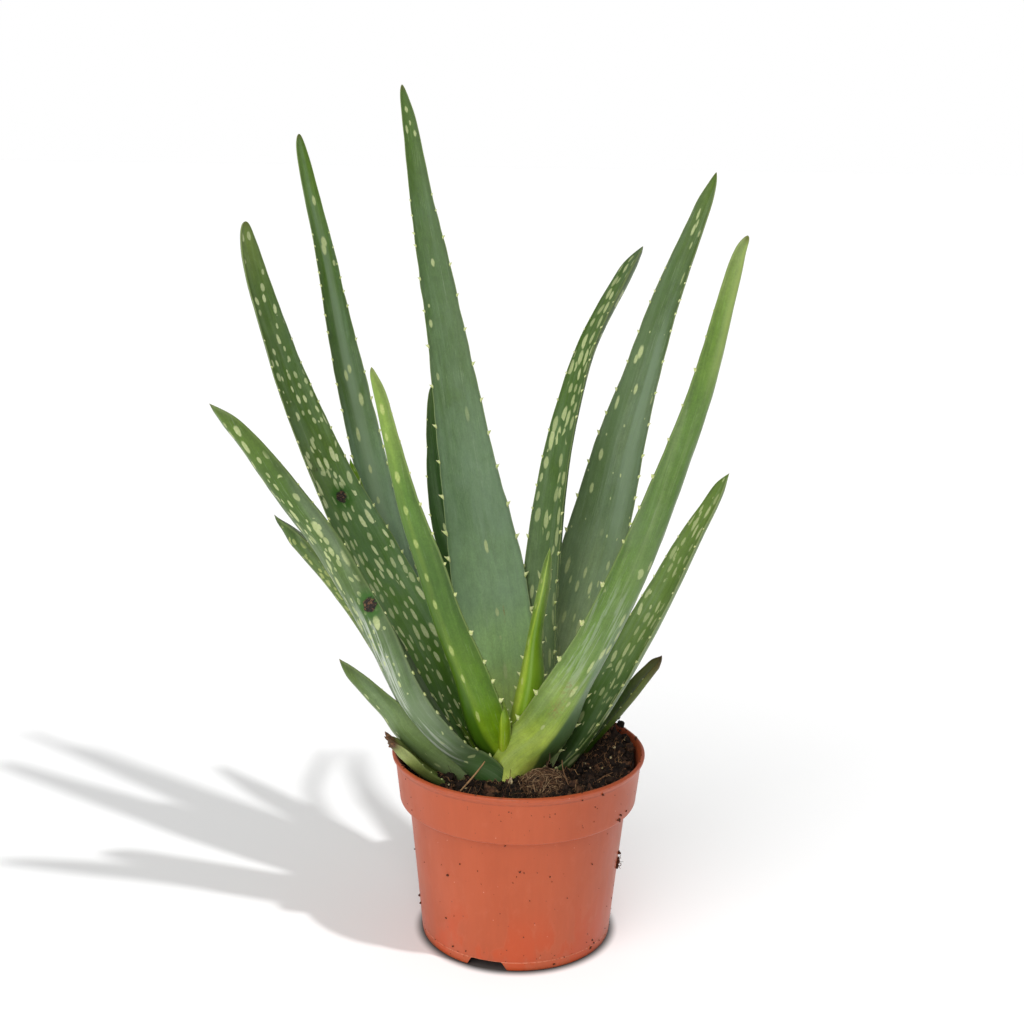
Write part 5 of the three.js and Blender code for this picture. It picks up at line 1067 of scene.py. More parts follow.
NONE = [(0.0, 0.0), (1.0, 0.0)]
LOOK = {
    "leaf_tall_centre": dict(
        # the very pale stops near the base are partly the leaf's own paler base and partly painted light, lifting the
        # shade the leaves around it cast there
        seed=1, inner=[(0.0, (240, 250, 130)), (0.10, (226, 255, 142)), (0.17, (184, 222, 146)), (0.26, (140, 170, 126)), (0.40, (110, 136, 100)), (0.6, (94, 118, 76)), (0.8, (80, 105, 56)), (1.0, (84, 112, 44))],
        back=[(0.0, (166, 186, 100)), (0.2, (120, 145, 92)), (0.6, (100, 126, 80)), (1.0, (84, 112, 50))],
        hair=0.3, bloom=[(0.0, 0.0), (0.16, 0.35), (0.4, 0.42), (0.75, 0.22), (1.0, 0.0)], bloom_col=(132, 156, 132), band=0.22, band_col=(124, 148, 114), vein=0.05,
        fixed=[(-0.3, 318.0, 0.7, 1.5, 0, 0.8), (0.2, 311.4, 0.5, 1.2, 0, 0.7), (-1.8, 308.6, 0.6, 2.0, 0, 0.8), (1.7, 306.2, 0.7, 1.6, 0, 0.8),
               (-0.3, 244.9, 0.8, 2.0, 0, 0.85), (-5.8, 225.0, 0.5, 0.9, 0, 0.8), (-6.4, 216.5, 0.8, 2.0, 0, 0.85), (-7.2, 191.0, 0.7, 1.8, 0, 0.6),
               (3.9, 171.2, 0.9, 3.5, 0, 0.3), (1.7, 107.1, 0.9, 3.2, 0, 0.95), (2.0, 75.0, 0.8, 2.0, 0, 0.8), (2.0, 62.7, 0.5, 1.0, 0, 0.6), (2.4, 46.2, 1.0, 4.0, 0, 0.55)],
        stains=[(5.2, 74.1, 0.6, 5.0, 0, (150, 120, 70), 0.8)],
        teeth={1: (0.225, 0.275, 0.331, 0.379, 0.436, 0.487, 0.536, 0.589, 0.640, 0.690, 0.735, 0.775, 0.815), -1: (0.316, 0.354, 0.407, 0.457, 0.508, 0.566, 0.624, 0.675, 0.722, 0.77)},
        tooth=1.7, teeth_span=(0.14, 0.84)),
    "leaf_back_left": dict(
        # the paler lower stops are partly the leaf's own tone and partly painted light, lifting the shade low in the
        # rosette
        seed=2, inner=[(0.0, (140, 160, 100)), (0.3, (134, 162, 126)), (0.5, (112, 140, 98)), (0.62, (86, 110, 60)), (0.75, (80, 108, 52)), (1.0, (104, 134, 60))],
        # the pale stripe down the middle of the inner face is painted sheen, the wax's soft reflection in the channel
        stripe=[([(0.0, 0.0), (0.5, 0.05), (0.8, 0.1), (1.0, 0.0)], 0.55, [(0.0, 0.3), (0.3, 0.6), (0.6, 0.55), (0.8, 0.4), (0.95, 0.0)], (146, 166, 136), 0)],
        bloom=[(0.0, 0.1), (0.45, 0.30), (0.8, 0.10), (1.0, 0.0)], band=0.42, band_col=(126, 152, 122), vein=0.10,
        fixed=[(0.6, 304.0, 0.9, 2.6, 0, 0.95), (0.9, 283.0, 1.4, 2.6, 0, 0.9), (0.2, 279.5, 1.2, 3.0, 0, 0.9), (4.0, 272.0, 0.7, 1.4, 0, 0.8),
               (-1.0, 216.0, 1.0, 2.8, 0, 0.9), (1.6, 219.0, 1.0, 2.2, 0, 0.9), (4.2, 203.0, 1.1, 3.2, 0, 0.85), (-1.6, 186.0, 1.1, 3.6, 0, 0.95),
               (0.8, 168.0, 0.9, 2.2, 0, 0.9), (1.0, 152.0, 0.8, 1.8, 0, 0.8)],
        spots=[(6.2, 13.0, 1.30, 2.59, [(0.0, 0.3), (0.38, 0.28), (0.44, 0.0), (1.0, 0.0)], [(0.0, 0.5), (0.6, 0.5), (1.0, 0.3)])],
        teeth={-1: (0.52, 0.548, 0.589, 0.628, 0.665, 0.705), 1: (0.55, 0.60, 0.64, 0.69, 0.74)}, tooth=1.5, teeth_span=(0.12, 0.86)),
    "leaf_young_left": dict(
        seed=3, inner=[(0.0, (168, 190, 60)), (0.3, (120, 152, 50)), (0.7, (120, 152, 70)), (1.0, (156, 178, 96))],
        back=[(0.0, (172, 198, 40)), (0.12, (128, 164, 34)), (0.25, (98, 132, 46)), (0.5, (78, 106, 58)), (0.7, (100, 132, 68)), (0.9, (138, 166, 84)), (1.0, (150, 170, 92))],
        # the lighter line along the keel is a painted highlight
        keel_highlight=0.13, keel_at=[(0.0, -0.44), (0.10, -0.44), (0.18, -0.36), (0.3, -0.30), (0.5, -0.30), (0.75, -0.42), (1.0, -0.5)], keel_w=0.17, keel_highlight_col=(176, 198, 84), vein=0.05, band=0.2, band_col=(134, 166, 84), cloud=0.3, cloud_col=(84, 122, 36),
        # the darker flank beyond the keel is painted shade on the side of the back turned from the light
        flank=(1, [(0.0, -0.40), (0.10, -0.38), (0.18, -0.28), (0.3, -0.2), (0.5, -0.22), (0.75, -0.3), (1.0, -0.4)], [(0.0, (52, 76, 24)), (0.16, (66, 96, 34)), (0.3, (84, 112, 52)), (0.6, (96, 126, 62)), (1.0, (140, 166, 80))], [(0.0, 0.9), (0.2, 0.85), (0.35, 0.7), (0.7, 0.5), (1.0, 0.3)], 0.09),
        fixed=[(-1.9, 192.5, 0.7, 2.6, 1, 0.95), (-1.5, 180.2, 0.6, 2.0, 1, 0.9), (-2.4, 161.8, 0.9, 2.6, 1, 0.95), (-2.8, 146.5, 0.8, 2.2, 1, 0.8),
               (-3.0, 130.5, 0.8, 2.4, 1, 0.8), (-2.9, 113.1, 0.7, 2.2, 1, 0.7), (-3.0, 99.0, 0.7, 2.4, 1, 0.8), (-3.3, 74.7, 0.8, 3.0, 1, 0.85), (-3.6, 58.4, 0.6, 2.6, 1, 0.9), (-4.5, 37.7, 0.6, 2.8, 1, 0.9)],
        spot_col=(182, 198, 116), spot_col2=(204, 214, 140), spot_mix=0.75,
        teeth={-1: (0.085, 0.145, 0.199, 0.25, 0.304, 0.382, 0.481, 0.556, 0.63, 0.70, 0.77, 0.84, 0.90), 1: (0.085, 0.145)}, tooth=1.9, teeth_span=(0.06, 0.94), rough=0.36, sss=0.2),
    "leaf_left_spotted": dict(
        seed=4, inner=[(0.0, (90, 120, 40)), (0.12, (80, 114, 34)), (0.22, (92, 128, 52)), (0.35, (102, 138, 66)), (0.48, (84, 116, 48)), (0.6, (98, 122, 52)), (0.8, (90, 114, 42)), (1.0, (120, 140, 74))],
        spots=[(3.9, 7.6, 0.92, 3.1, [(0.0, 0.3), (0.1, 0.55), (0.40, 0.8), (0.52, 0.76), (0.60, 0.3), (0.75, 0.05), (1.0, 0.0)], [(0.0, 0.6), (0.9, 0.7), (1.0, 0.2)]),
               (4.1, 6.4, 0.9, 2.0, [(0.0, 0.0), (0.5, 0.0), (0.60, 0.42), (0.8, 0.58), (0.95, 0.42), (1.0, 0.1)], NONE),
               (3.3, 4.6, 0.36, 0.65, [(0.0, 0.0), (0.4, 0.06), (0.7, 0.14), (1.0, 0.05)], NONE)],
        spot_col=(204, 216, 156), spot_col2=(222, 230, 180), spot_mix=0.92,
        bloom=[(0.0, 0.0), (0.4, 0.2), (0.7, 0.22), (1.0, 0.05)], band=0.2, cloud=0.45, cloud_col=(66, 102, 34),
        scars=[(1.2, 155.6, 2.9, 2.9, 0)], stains=[(-6.5, 172.0, 2.0, 1.2, 0, (70, 58, 44), 0.7), (-7.0, 175.0, 1.6, 1.0, 0, (70, 58, 44), 0.6)],
        teeth={1: (0.586, 0.638, 0.686), -1: ()}, tooth=1.15, tooth_gap=(18.0, 9.0), teeth_span=(0.3, 0.84), tip=(0.985, 0.999, 0.3)),
    "leaf_centre_young": dict(
        seed=5, inner=[(0.0, (160, 184, 60)), (0.5, (126, 156, 54)), (1.0, (112, 142, 66))],
        back=[(0.0, (216, 236, 60)), (0.25, (206, 230, 92)), (0.45, (182, 208, 84)), (0.65, (138, 172, 62)), (0.85, (156, 182, 98)), (1.0, (120, 148, 72))],
        # the lighter line along the keel is a painted highlight
        keel_highlight=0.5, keel_at=[(0.0, 0.8), (0.3, 0.75), (0.41, 0.69), (0.59, 0.55), (0.77, 0.16), (1.0, 0.0)], keel_w=0.2, keel_highlight_col=(188, 208, 92), vein=0.05, band=0.15, band_col=(140, 170, 80), cloud=0.3, cloud_col=(84, 120, 30),
        # the darker flank beyond the keel is painted shade on the side of the back turned from the light
        flank=(-1, [(0.0, 0.5), (0.3, 0.45), (0.41, 0.4), (0.59, 0.3), (0.77, 0.0), (1.0, 0.0)], [(0.0, (110, 146, 34)), (0.3, (118, 160, 46)), (0.6, (110, 148, 54)), (1.0, (116, 146, 70))], [(0.0, 0.75), (0.5, 0.8), (0.75, 0.5), (1.0, 0.2)], 0.14),
        fixed=[(1.8, 95.7, 0.7, 1.5, 1, 0.5), (2.3, 82.8, 0.7, 2.0, 1, 0.9), (2.9, 65.2, 0.7, 2.2, 1, 0.95), (4.0, 45.7, 0.6, 1.8, 1, 0.7)],
        spot_col=(212, 220, 140), spot_col2=(226, 230, 160),
        teeth={-1: (0.30, 0.434, 0.576, 0.70, 0.82), 1: (0.5, 0.7)}, tooth=1.5, tooth_gap=(11.0, 7.0), rough=0.34, sss=0.22, spec=0.55),
    "leaf_centre_tiny": dict(
        seed=6, inner=[(0.0, (170, 190, 60)), (1.0, (140, 170, 60))], back=[(0.0, (186, 208, 60)), (0.5, (150, 182, 50)), (1.0, (120, 150, 48))],
        # the lighter line along the keel is a painted highlight
        keel_highlight=0.5, keel_at=0.3, keel_w=0.25, keel_highlight_col=(196, 212, 96), vein=0.05, band=0.1, spot_col=(214, 222, 140),
        teeth={-1: (0.35, 0.6, 0.8), 1: (0.4, 0.7)}, tooth=1.1, tooth_gap=(6.0, 5.0), rough=0.34, sss=0.25),
    "leaf_front_right": dict(
        seed=7, inner=[(0.0, (150, 172, 90)), (0.4, (100, 126, 72)), (1.0, (140, 162, 84))],
        back=[(0.0, (216, 226, 112)), (0.05, (208, 222, 104)), (0.12, (190, 210, 94)), (0.20, (148, 174, 86)), (0.30, (112, 144, 68)), (0.42, (106, 136, 66)), (0.55, (94, 124, 62)), (0.72, (98, 130, 62)), (0.86, (118, 148, 70)), (1.0, (160, 180, 100))],
        band=0.35, band_col=(150, 168, 116), vein=0.10, cloud=0.55, cloud_col=(80, 114, 40), bloom=[(0.0, 0.05), (0.15, 0.1), (0.3, 0.14), (0.6, 0.2), (0.85, 0.0)], bloom_col=(156, 174, 142),
        # the darker blue-green flank beyond the keel is painted shade on the side of the back turned from the light
        flank=(-1, [(0.0, -0.9), (0.05, -0.6), (0.07, -0.42), (0.1, -0.11), (0.13, 0.0), (0.2, 0.0), (0.25, 0.05), (0.3, 0.2), (0.386, 0.1), (0.6, 0.0), (1.0, 0.0)], [(0.0, (120, 146, 70)), (0.05, (84, 112, 64)), (0.10, (70, 96, 66)), (0.16, (84, 110, 84)), (0.22, (112, 136, 108)), (0.32, (116, 138, 108)), (0.5, (102, 126, 82)), (1.0, (116, 142, 76))], [(0.0, 0.3), (0.04, 0.7), (0.08, 0.92), (0.3, 0.88), (0.42, 0.6), (0.6, 0.4), (1.0, 0.15)], 0.09),
        stripe=[([(0.0, 0.1), (1.0, 0.1)], 0.5, [(0.0, 0.0), (0.76, 0.0), (0.84, 0.55), (1.0, 0.7)], (164, 184, 104), 1)],
        spots=[(6.0, 12.0, 1.06, 2.02, [(0.0, 0.5), (0.6, 0.5), (1.0, 0.2)], [(0.0, 0.0), (0.2, 0.04), (0.45, 0.07), (0.65, 0.03), (0.7, 0.0), (1.0, 0.0)])],
        fixed=[(4.3, 83.0, 0.7, 3.6, 1, 0.9), (2.6, 91.0, 0.8, 3.2, 1, 0.85), (0.8, 94.0, 0.7, 3.0, 1, 0.8), (4.8, 67.5, 0.8, 3.6, 1, 0.9), (3.6, 60.0, 0.6, 1.6, 1, 0.6), (6.5, 43.0, 0.5, 1.8, 1, 0.7), (-3.0, 103.7, 0.8, 3.0, 1, 0.7), (-0.2, 101.3, 0.8, 3.2, 1, 0.75), (1.5, 110.0, 0.7, 3.4, 1, 0.7), (-1.2, 122.0, 0.7, 3.4, 1, 0.7), (-3.4, 130.0, 0.8, 3.0, 1, 0.6), (0.4, 139.0, 0.6, 2.6, 1, 0.6)],
        stains=[(6.4, 56.0, 3.4, 7.0, 1, (160, 122, 84), 0.5), (7.0, 68.0, 3.0, 6.0, 1, (150, 116, 80), 0.4), (-9.0, 150.0, 1.6, 14.0, 1, (110, 80, 56), 0.7), (-10.0, 128.0, 1.2, 8.0, 1, (104, 78, 56), 0.6)],
        streaks=[(-0.6, 0.6, 0.2, 0.5, 1, 0.25)], rim=0.15,
        teeth={1: (0.032, 0.075, 0.13, 0.205, 0.285, 0.362, 0.437, 0.516, 0.576, 0.629, 0.69, 0.745, 0.80, 0.85), -1: (0.06, 0.097, 0.139, 0.192, 0.25, 0.31, 0.37, 0.43)},
        tooth=2.3, teeth_span=(0.03, 0.9), rough=0.36, sss=0.12),
    "leaf_right_dark": dict(
        # the very pale lower stops are partly the leaf's own paler base and partly painted light, lifting the shade the
        # front right leaf casts over it
        seed=8, inner=[(0.0, (190, 206, 140)), (0.10, (196, 212, 152)), (0.2, (172, 188, 142)), (0.32, (142, 160, 122)), (0.45, (116, 134, 100)), (0.62, (110, 128, 94)), (0.75, (98, 118, 78)), (0.88, (92, 114, 62)), (1.0, (100, 124, 58))],
        # the first, pale stripe is painted sheen, the wax's soft reflection along one side of the face
        stripe=[([(0.0, 0.45), (1.0, 0.45)], 0.35, [(0.0, 0.0), (0.33, 0.0), (0.42, 0.5), (0.7, 0.5), (0.8, 0.0)], (142, 162, 136), 0),
                ([(0.0, -0.65), (1.0, -0.65)], 0.5, [(0.0, 0.0), (0.3, 0.05), (0.5, 0.5), (0.75, 0.6), (0.9, 0.3), (1.0, 0.0)], (78, 106, 54), 0)], hair=0.4,
        bloom=[(0.0, 0.2), (0.3, 0.3), (0.6, 0.42), (0.75, 0.2), (1.0, 0.0)], bloom_col=(128, 150, 126), band=0.28, band_col=(130, 150, 122), vein=0.08,
        fixed=[(-0.8, 286.0, 0.6, 3.0, 0, 0.9), (0.6, 281.0, 0.5, 2.4, 0, 0.8), (-0.3, 277.6, 0.8, 3.2, 0, 0.9), (2.0, 269.5, 0.5, 2.0, 0, 0.7), (4.7, 252.2, 0.5, 3.4, 0, 0.6),
               (-5.0, 212.8, 1.2, 3.4, 0, 0.95), (-6.2, 209.0, 0.9, 2.4, 0, 0.9), (-1.7, 194.7, 0.9, 2.6, 0, 0.95), (-9.1, 186.3, 0.8, 3.4, 0, 0.85), (10.0, 191.0, 0.6, 2.2, 0, 0.6),
               (-10.2, 160.0, 1.0, 2.8, 0, 0.85), (-11.0, 143.0, 0.9, 2.6, 0, 0.8), (-12.7, 103.6, 1.0, 4.0, 0, 0.85), (-2.5, 102.7, 0.8, 2.8, 0, 0.8), (-9.2, 97.4, 0.6, 2.0, 0, 0.8), (-4.8, 95.2, 0.9, 2.8, 0, 0.85),
               (2.5, 96.1, 0.9, 3.2, 0, 0.85), (6.5, 99.2, 0.6, 1.8, 0, 0.7), (9.5, 108.9, 0.9, 2.4, 0, 0.6), (-13.5, 78.4, 0.9, 3.0, 0, 0.9), (-7.1, 78.9, 0.9, 3.0, 0, 0.85), (-1.6, 80.2, 0.6, 2.2, 0, 0.8), (2.1, 76.2, 1.0, 4.0, 0, 0.6),
               (-5.6, 60.7, 1.2, 4.2, 0, 0.55), (-9.4, 58.9, 1.0, 3.6, 0, 0.5), (7.0, 246.0, 0.6, 2.4, 0, 0.6), (6.4, 262.0, 0.6, 2.6, 0, 0.7), (4.0, 276.0, 0.7, 1.8, 0, 0.7)],
        spots=[(6.5, 13.0, 1.29, 2.46, NONE, [(0.0, 0.5), (0.6, 0.5), (1.0, 0.3)]), (3.2, 6.0, 0.39, 0.69, [(0.0, 0.1), (0.5, 0.05), (1.0, 0.0)], NONE)],
        teeth={-1: (0.30, 0.347, 0.389, 0.446, 0.503, 0.551, 0.583, 0.623, 0.67, 0.72, 0.77), 1: (0.53, 0.58, 0.63, 0.68, 0.73)}, tooth=1.6, teeth_span=(0.14, 0.85)),
    "leaf_back_right": dict(
        # the pale lower stops are partly the leaf's own paler base and partly painted light, lifting the shade low in
        # the rosette
        seed=9, inner=[(0.0, (150, 168, 116)), (0.15, (150, 168, 126)), (0.3, (122, 142, 104)), (0.5, (88, 114, 62)), (0.85, (84, 112, 46)), (1.0, (76, 104, 30))],
        spots=[(4.3, 9.2, 1.2, 3.7, [(0.0, 0.4), (0.3, 0.5), (0.6, 0.66), (0.93, 0.84), (1.0, 0.3)], [(0.0, 0.6), (0.9, 0.7), (1.0, 0.2)]),
               (3.4, 6.0, 0.42, 1.1, [(0.0, 0.12), (0.5, 0.12), (1.0, 0.1)], [(0.0, 0.3), (1.0, 0.2)])],
        bloom=[(0.0, 0.1), (0.5, 0.10), (1.0, 0.0)], band=0.2, spot_mix=0.84, spot_col=(190, 204, 140), hair=0.15,
        teeth={-1: (0.36, 0.411, 0.459, 0.499, 0.549, 0.596, 0.65, 0.699, 0.74, 0.79), 1: (0.46, 0.62)}, tooth=1.2, teeth_span=(0.14, 0.84), tip=(0.990, 1.0, 0.3)),
    "leaf_right_spotted": dict(
        seed=10, inner=[(0.0, (84, 106, 46)), (0.2, (70, 96, 42)), (0.35, (84, 112, 50)), (0.5, (116, 142, 72)), (0.65, (124, 150, 80)), (0.85, (120, 146, 76)), (1.0, (114, 140, 72))],
        spots=[(4.0, 8.2, 0.95, 3.2, [(0.0, 0.25), (0.25, 0.42), (0.6, 0.6), (0.9, 0.66), (1.0, 0.3)], [(0.0, 0.5), (0.9, 0.7), (1.0, 0.2)]),
               (3.3, 5.0, 0.42, 1.0, [(0.0, 0.1), (0.4, 0.2), (0.9, 0.3), (1.0, 0.1)], [(0.0, 0.3), (1.0, 0.3)])],
        bloom=[(0.0, 0.1), (0.4, 0.16), (1.0, 0.0)], band=0.25, cloud=0.35, cloud_col=(80, 114, 42), tooth=1.0, tooth_gap=(15.0, 9.0), teeth_span=(0.1, 0.86)),
    "leaf_front_left": dict(
        seed=11, inner=[(0.0, (110, 128, 70)), (0.2, (70, 92, 54)), (0.4, (76, 100, 56)), (0.7, (92, 120, 56)), (1.0, (104, 130, 58))],
        back=[(0.0, (58, 92, 36)), (0.06, (62, 94, 50)), (0.12, (78, 104, 66)), (0.2, (98, 122, 84)), (0.35, (92, 116, 72)), (0.5, (80, 104, 54)), (0.62, (96, 120, 66)), (0.78, (84, 112, 46)), (0.92, (104, 130, 60)), (1.0, (112, 134, 66))],
        bloom=[(0.0, 0.0), (0.1, 0.3), (0.3, 0.42), (0.5, 0.2), (0.75, 0.06), (1.0, 0.0)], bloom_col=(150, 164, 138), band=0.4, band_col=(144, 160, 134), vein=0.10, rim=0.12,
        flank=(1, [(0.0, -0.9), (0.3, -0.8), (0.45, -0.6), (0.6, -0.2), (1.0, 0.6)], [(0.0, (56, 88, 34)), (0.09, (84, 110, 70)), (0.15, (124, 144, 110)), (0.22, (136, 154, 124)), (0.33, (126, 146, 112)), (0.45, (104, 128, 82)), (0.6, (100, 122, 74)), (1.0, (104, 132, 60))], [(0.0, 0.5), (0.1, 0.75), (0.3, 0.78), (0.5, 0.5), (0.65, 0.2), (1.0, 0.0)], 0.28),
        streaks=[(-0.92, 0.1, 0.08, 0.56, 1, 0.8)],
        spots=[(3.7, 7.4, 0.66, 2.5, [(0.0, 0.0), (0.3, 0.2), (0.6, 0.8), (0.95, 0.9), (1.0, 0.3)], [(0.0, 0.0), (0.10, 0.03), (0.3, 0.06), (0.42, 0.24), (0.54, 0.66), (0.7, 0.9), (0.95, 0.9), (1.0, 0.2)]),
               (2.9, 5.6, 0.4, 1.3, NONE, [(0.0, 0.0), (0.1, 0.12), (0.25, 0.3), (0.5, 0.4), (0.6, 0.2), (0.9, 0.16), (1.0, 0.1)])],
        fixed=[(-7.6, 157.4, 0.8, 4.4, 1, 0.9), (-10.2, 140.2, 0.7, 4.2, 1, 0.85), (-7.0, 101.4, 0.7, 1.8, 1, 0.9), (-6.8, 96.0, 0.6, 2.4, 1, 0.9)],
        scars=[(-10.8, 115.9, 1.6, 3.3, 1)], hair=0.35, teeth={-1: (0.037, 0.075, 0.115, 0.16, 0.205, 0.25, 0.297, 0.347, 0.384)}, tooth=1.2, tooth_gap=(15.0, 9.0), teeth_span=(0.04, 0.86)),
    "leaf_small_left": dict(
        seed=12, inner=[(0.0, (110, 130, 70)), (0.3, (100, 122, 56)), (0.7, (106, 128, 58)), (1.0, (76, 102, 34))],
        spots=[(2.5, 4.4, 0.62, 1.7, [(0.0, 0.5), (0.8, 0.85), (1.0, 0.2)], [(0.0, 0.5), (0.8, 0.9), (1.0, 0.3)]), (2.2, 3.4, 0.35, 0.7, [(0.0, 0.3), (1.0, 0.4)], [(0.0, 0.4), (0.8, 0.5), (1.0, 0.2)])],
        bloom=[(0.0, 0.2), (0.5, 0.1), (1.0, 0.0)], band=0.3, spot_mix=0.7, spot_col=(176, 188, 110), spot_col2=(196, 204, 132), tooth=0.9, tooth_gap=(11.0, 7.0), teeth_span=(0.1, 0.9), rim=0.15),
    "leaf_low_left": dict(
        seed=13, inner=[(0.0, (100, 120, 66)), (0.3, (84, 106, 54)), (0.7, (82, 106, 50)), (1.0, (72, 96, 40))],
        # the back's stops are set paler, partly its own pale underside and partly painted light lifting the shade where
        # it lies low among the leaves
        back=[(0.0, (124, 142, 90)), (0.2, (134, 152, 104)), (0.5, (112, 134, 82)), (0.8, (104, 126, 76)), (1.0, (88, 108, 54))],
        spots=[(4.2, 8.0, 0.45, 1.6, [(0.0, 0.1), (0.6, 0.2), (1.0, 0.1)], [(0.0, 0.05), (0.5, 0.2), (0.85, 0.25), (1.0, 0.1)])],
        bloom=[(0.0, 0.1), (0.5, 0.2), (1.0, 0.0)], bloom_col=(150, 168, 140), band=0.35, tooth=0.8, tooth_gap=(11.0, 7.0), teeth_span=(0.1, 0.9), tip=(0.975, 0.995, 0.6), rim=0.12,
        flank=(1, [(0.0, 0.0), (0.5, 0.1), (1.0, 0.2)], [(0.0, (120, 138, 80)), (0.2, (150, 166, 118)), (0.5, (152, 168, 116)), (0.85, (146, 162, 112)), (1.0, (110, 132, 70))], [(0.0, 0.4), (0.15, 0.85), (0.9, 0.85), (1.0, 0.3)], 0.25)),
    "leaf_cut_stub": dict(
        seed=14, inner=[(0.0, (110, 126, 60)), (0.4, (112, 132, 68)), (0.8, (136, 150, 84)), (1.0, (150, 140, 90))],
        back=[(0.0, (124, 142, 66)), (0.3, (140, 160, 84)), (0.6, (158, 176, 100)), (0.86, (168, 178, 112)), (1.0, (150, 140, 90))],
        band=0.3, band_col=(176, 186, 120), tooth=0.8, tooth_gap=(9.0, 7.0), teeth_span=(0.1, 0.75), tip=(0.90, 0.97, 0.95), tip_col=(84, 58, 42), rough=0.5, rim=0.15),
    "leaf_low_right": dict(
        seed=15, inner=[(0.0, (84, 104, 40)), (0.3, (62, 86, 24)), (0.7, (82, 102, 34)), (0.9, (122, 120, 70)), (1.0, (110, 84, 56))],
        back=[(0.0, (86, 106, 44)), (0.4, (70, 94, 34)), (0.8, (106, 114, 62)), (1.0, (96, 74, 50))],
        band=0.2, band_col=(110, 124, 70), tooth=0.7, tooth_gap=(12.0, 8.0), teeth_span=(0.1, 0.88), tip=(0.955, 1.0, 0.85), tip_col=(88, 62, 42), rough=0.5, spec=0.2, hair=0.05, rim=0.0,
        stains=[(0.0, 60.0, 3.0, 12.0, 0, (120, 96, 62), 0.4)]),
    "leaf_back_dark": dict(
        seed=16, inner=[(0.0, (80, 104, 50)), (0.4, (58, 84, 36)), (0.8, (62, 88, 40)), (1.0, (76, 100, 46))],
        spots=[(5.5, 11.0, 0.97, 1.85, [(0.0, 0.2), (1.0, 0.15)], [(0.0, 0.4), (0.8, 0.5), (1.0, 0.2)])], band=0.2, cloud=0.4, cloud_col=(48, 76, 28),
        teeth={-1: (0.50, 0.58, 0.671, 0.765, 0.84, 0.908)}, tooth=1.3, teeth_span=(0.14, 0.93)),
    "leaf_bright_back": dict(
        seed=17, inner=[(0.0, (130, 158, 56)), (0.5, (110, 146, 44)), (1.0, (120, 160, 40))], spots=[(4.5, 9.0, 0.79, 1.51, [(0.0, 0.3), (1.0, 0.3)], [(0.0, 0.3), (1.0, 0.3)])],
        teeth={1: (0.80, 0.86, 0.932), -1: (0.84, 0.9)}, tooth=1.2, tooth_gap=(9.0, 6.0), rough=0.38, sss=0.2),
}
TOOTH = tooth_skin()
for leaf_name in LEAVES:
    make_leaf(leaf_name, LEAVES[leaf_name], LOOK[leaf_name])


# ------------------------------------------------------------------ pot
POT_H, LIP_R, BAND_R_TOP, BAND_R_LOW, BAND_Z = 92.2, 60.0, 58.3, 56.2, 68.1
BODY_R_TOP, BASE_R, WALL, FLOOR_Z, FLOOR_T, PAD_R, FOOT_W = 51.9, 45.3, 1.5, 4.6, 1.6, 15.0, 3.4
NOTCH_ANGLES = (-107.5, 12.5, 132.5)


def arc_pts(cx, cz, r, a0, a1, n):
    return [(cx + r * math.cos(math.radians(a0 + (a1 - a0) * i / n)), cz + r * math.sin(math.radians(a0 + (a1 - a0) * i / n))) for i in range(n + 1)]


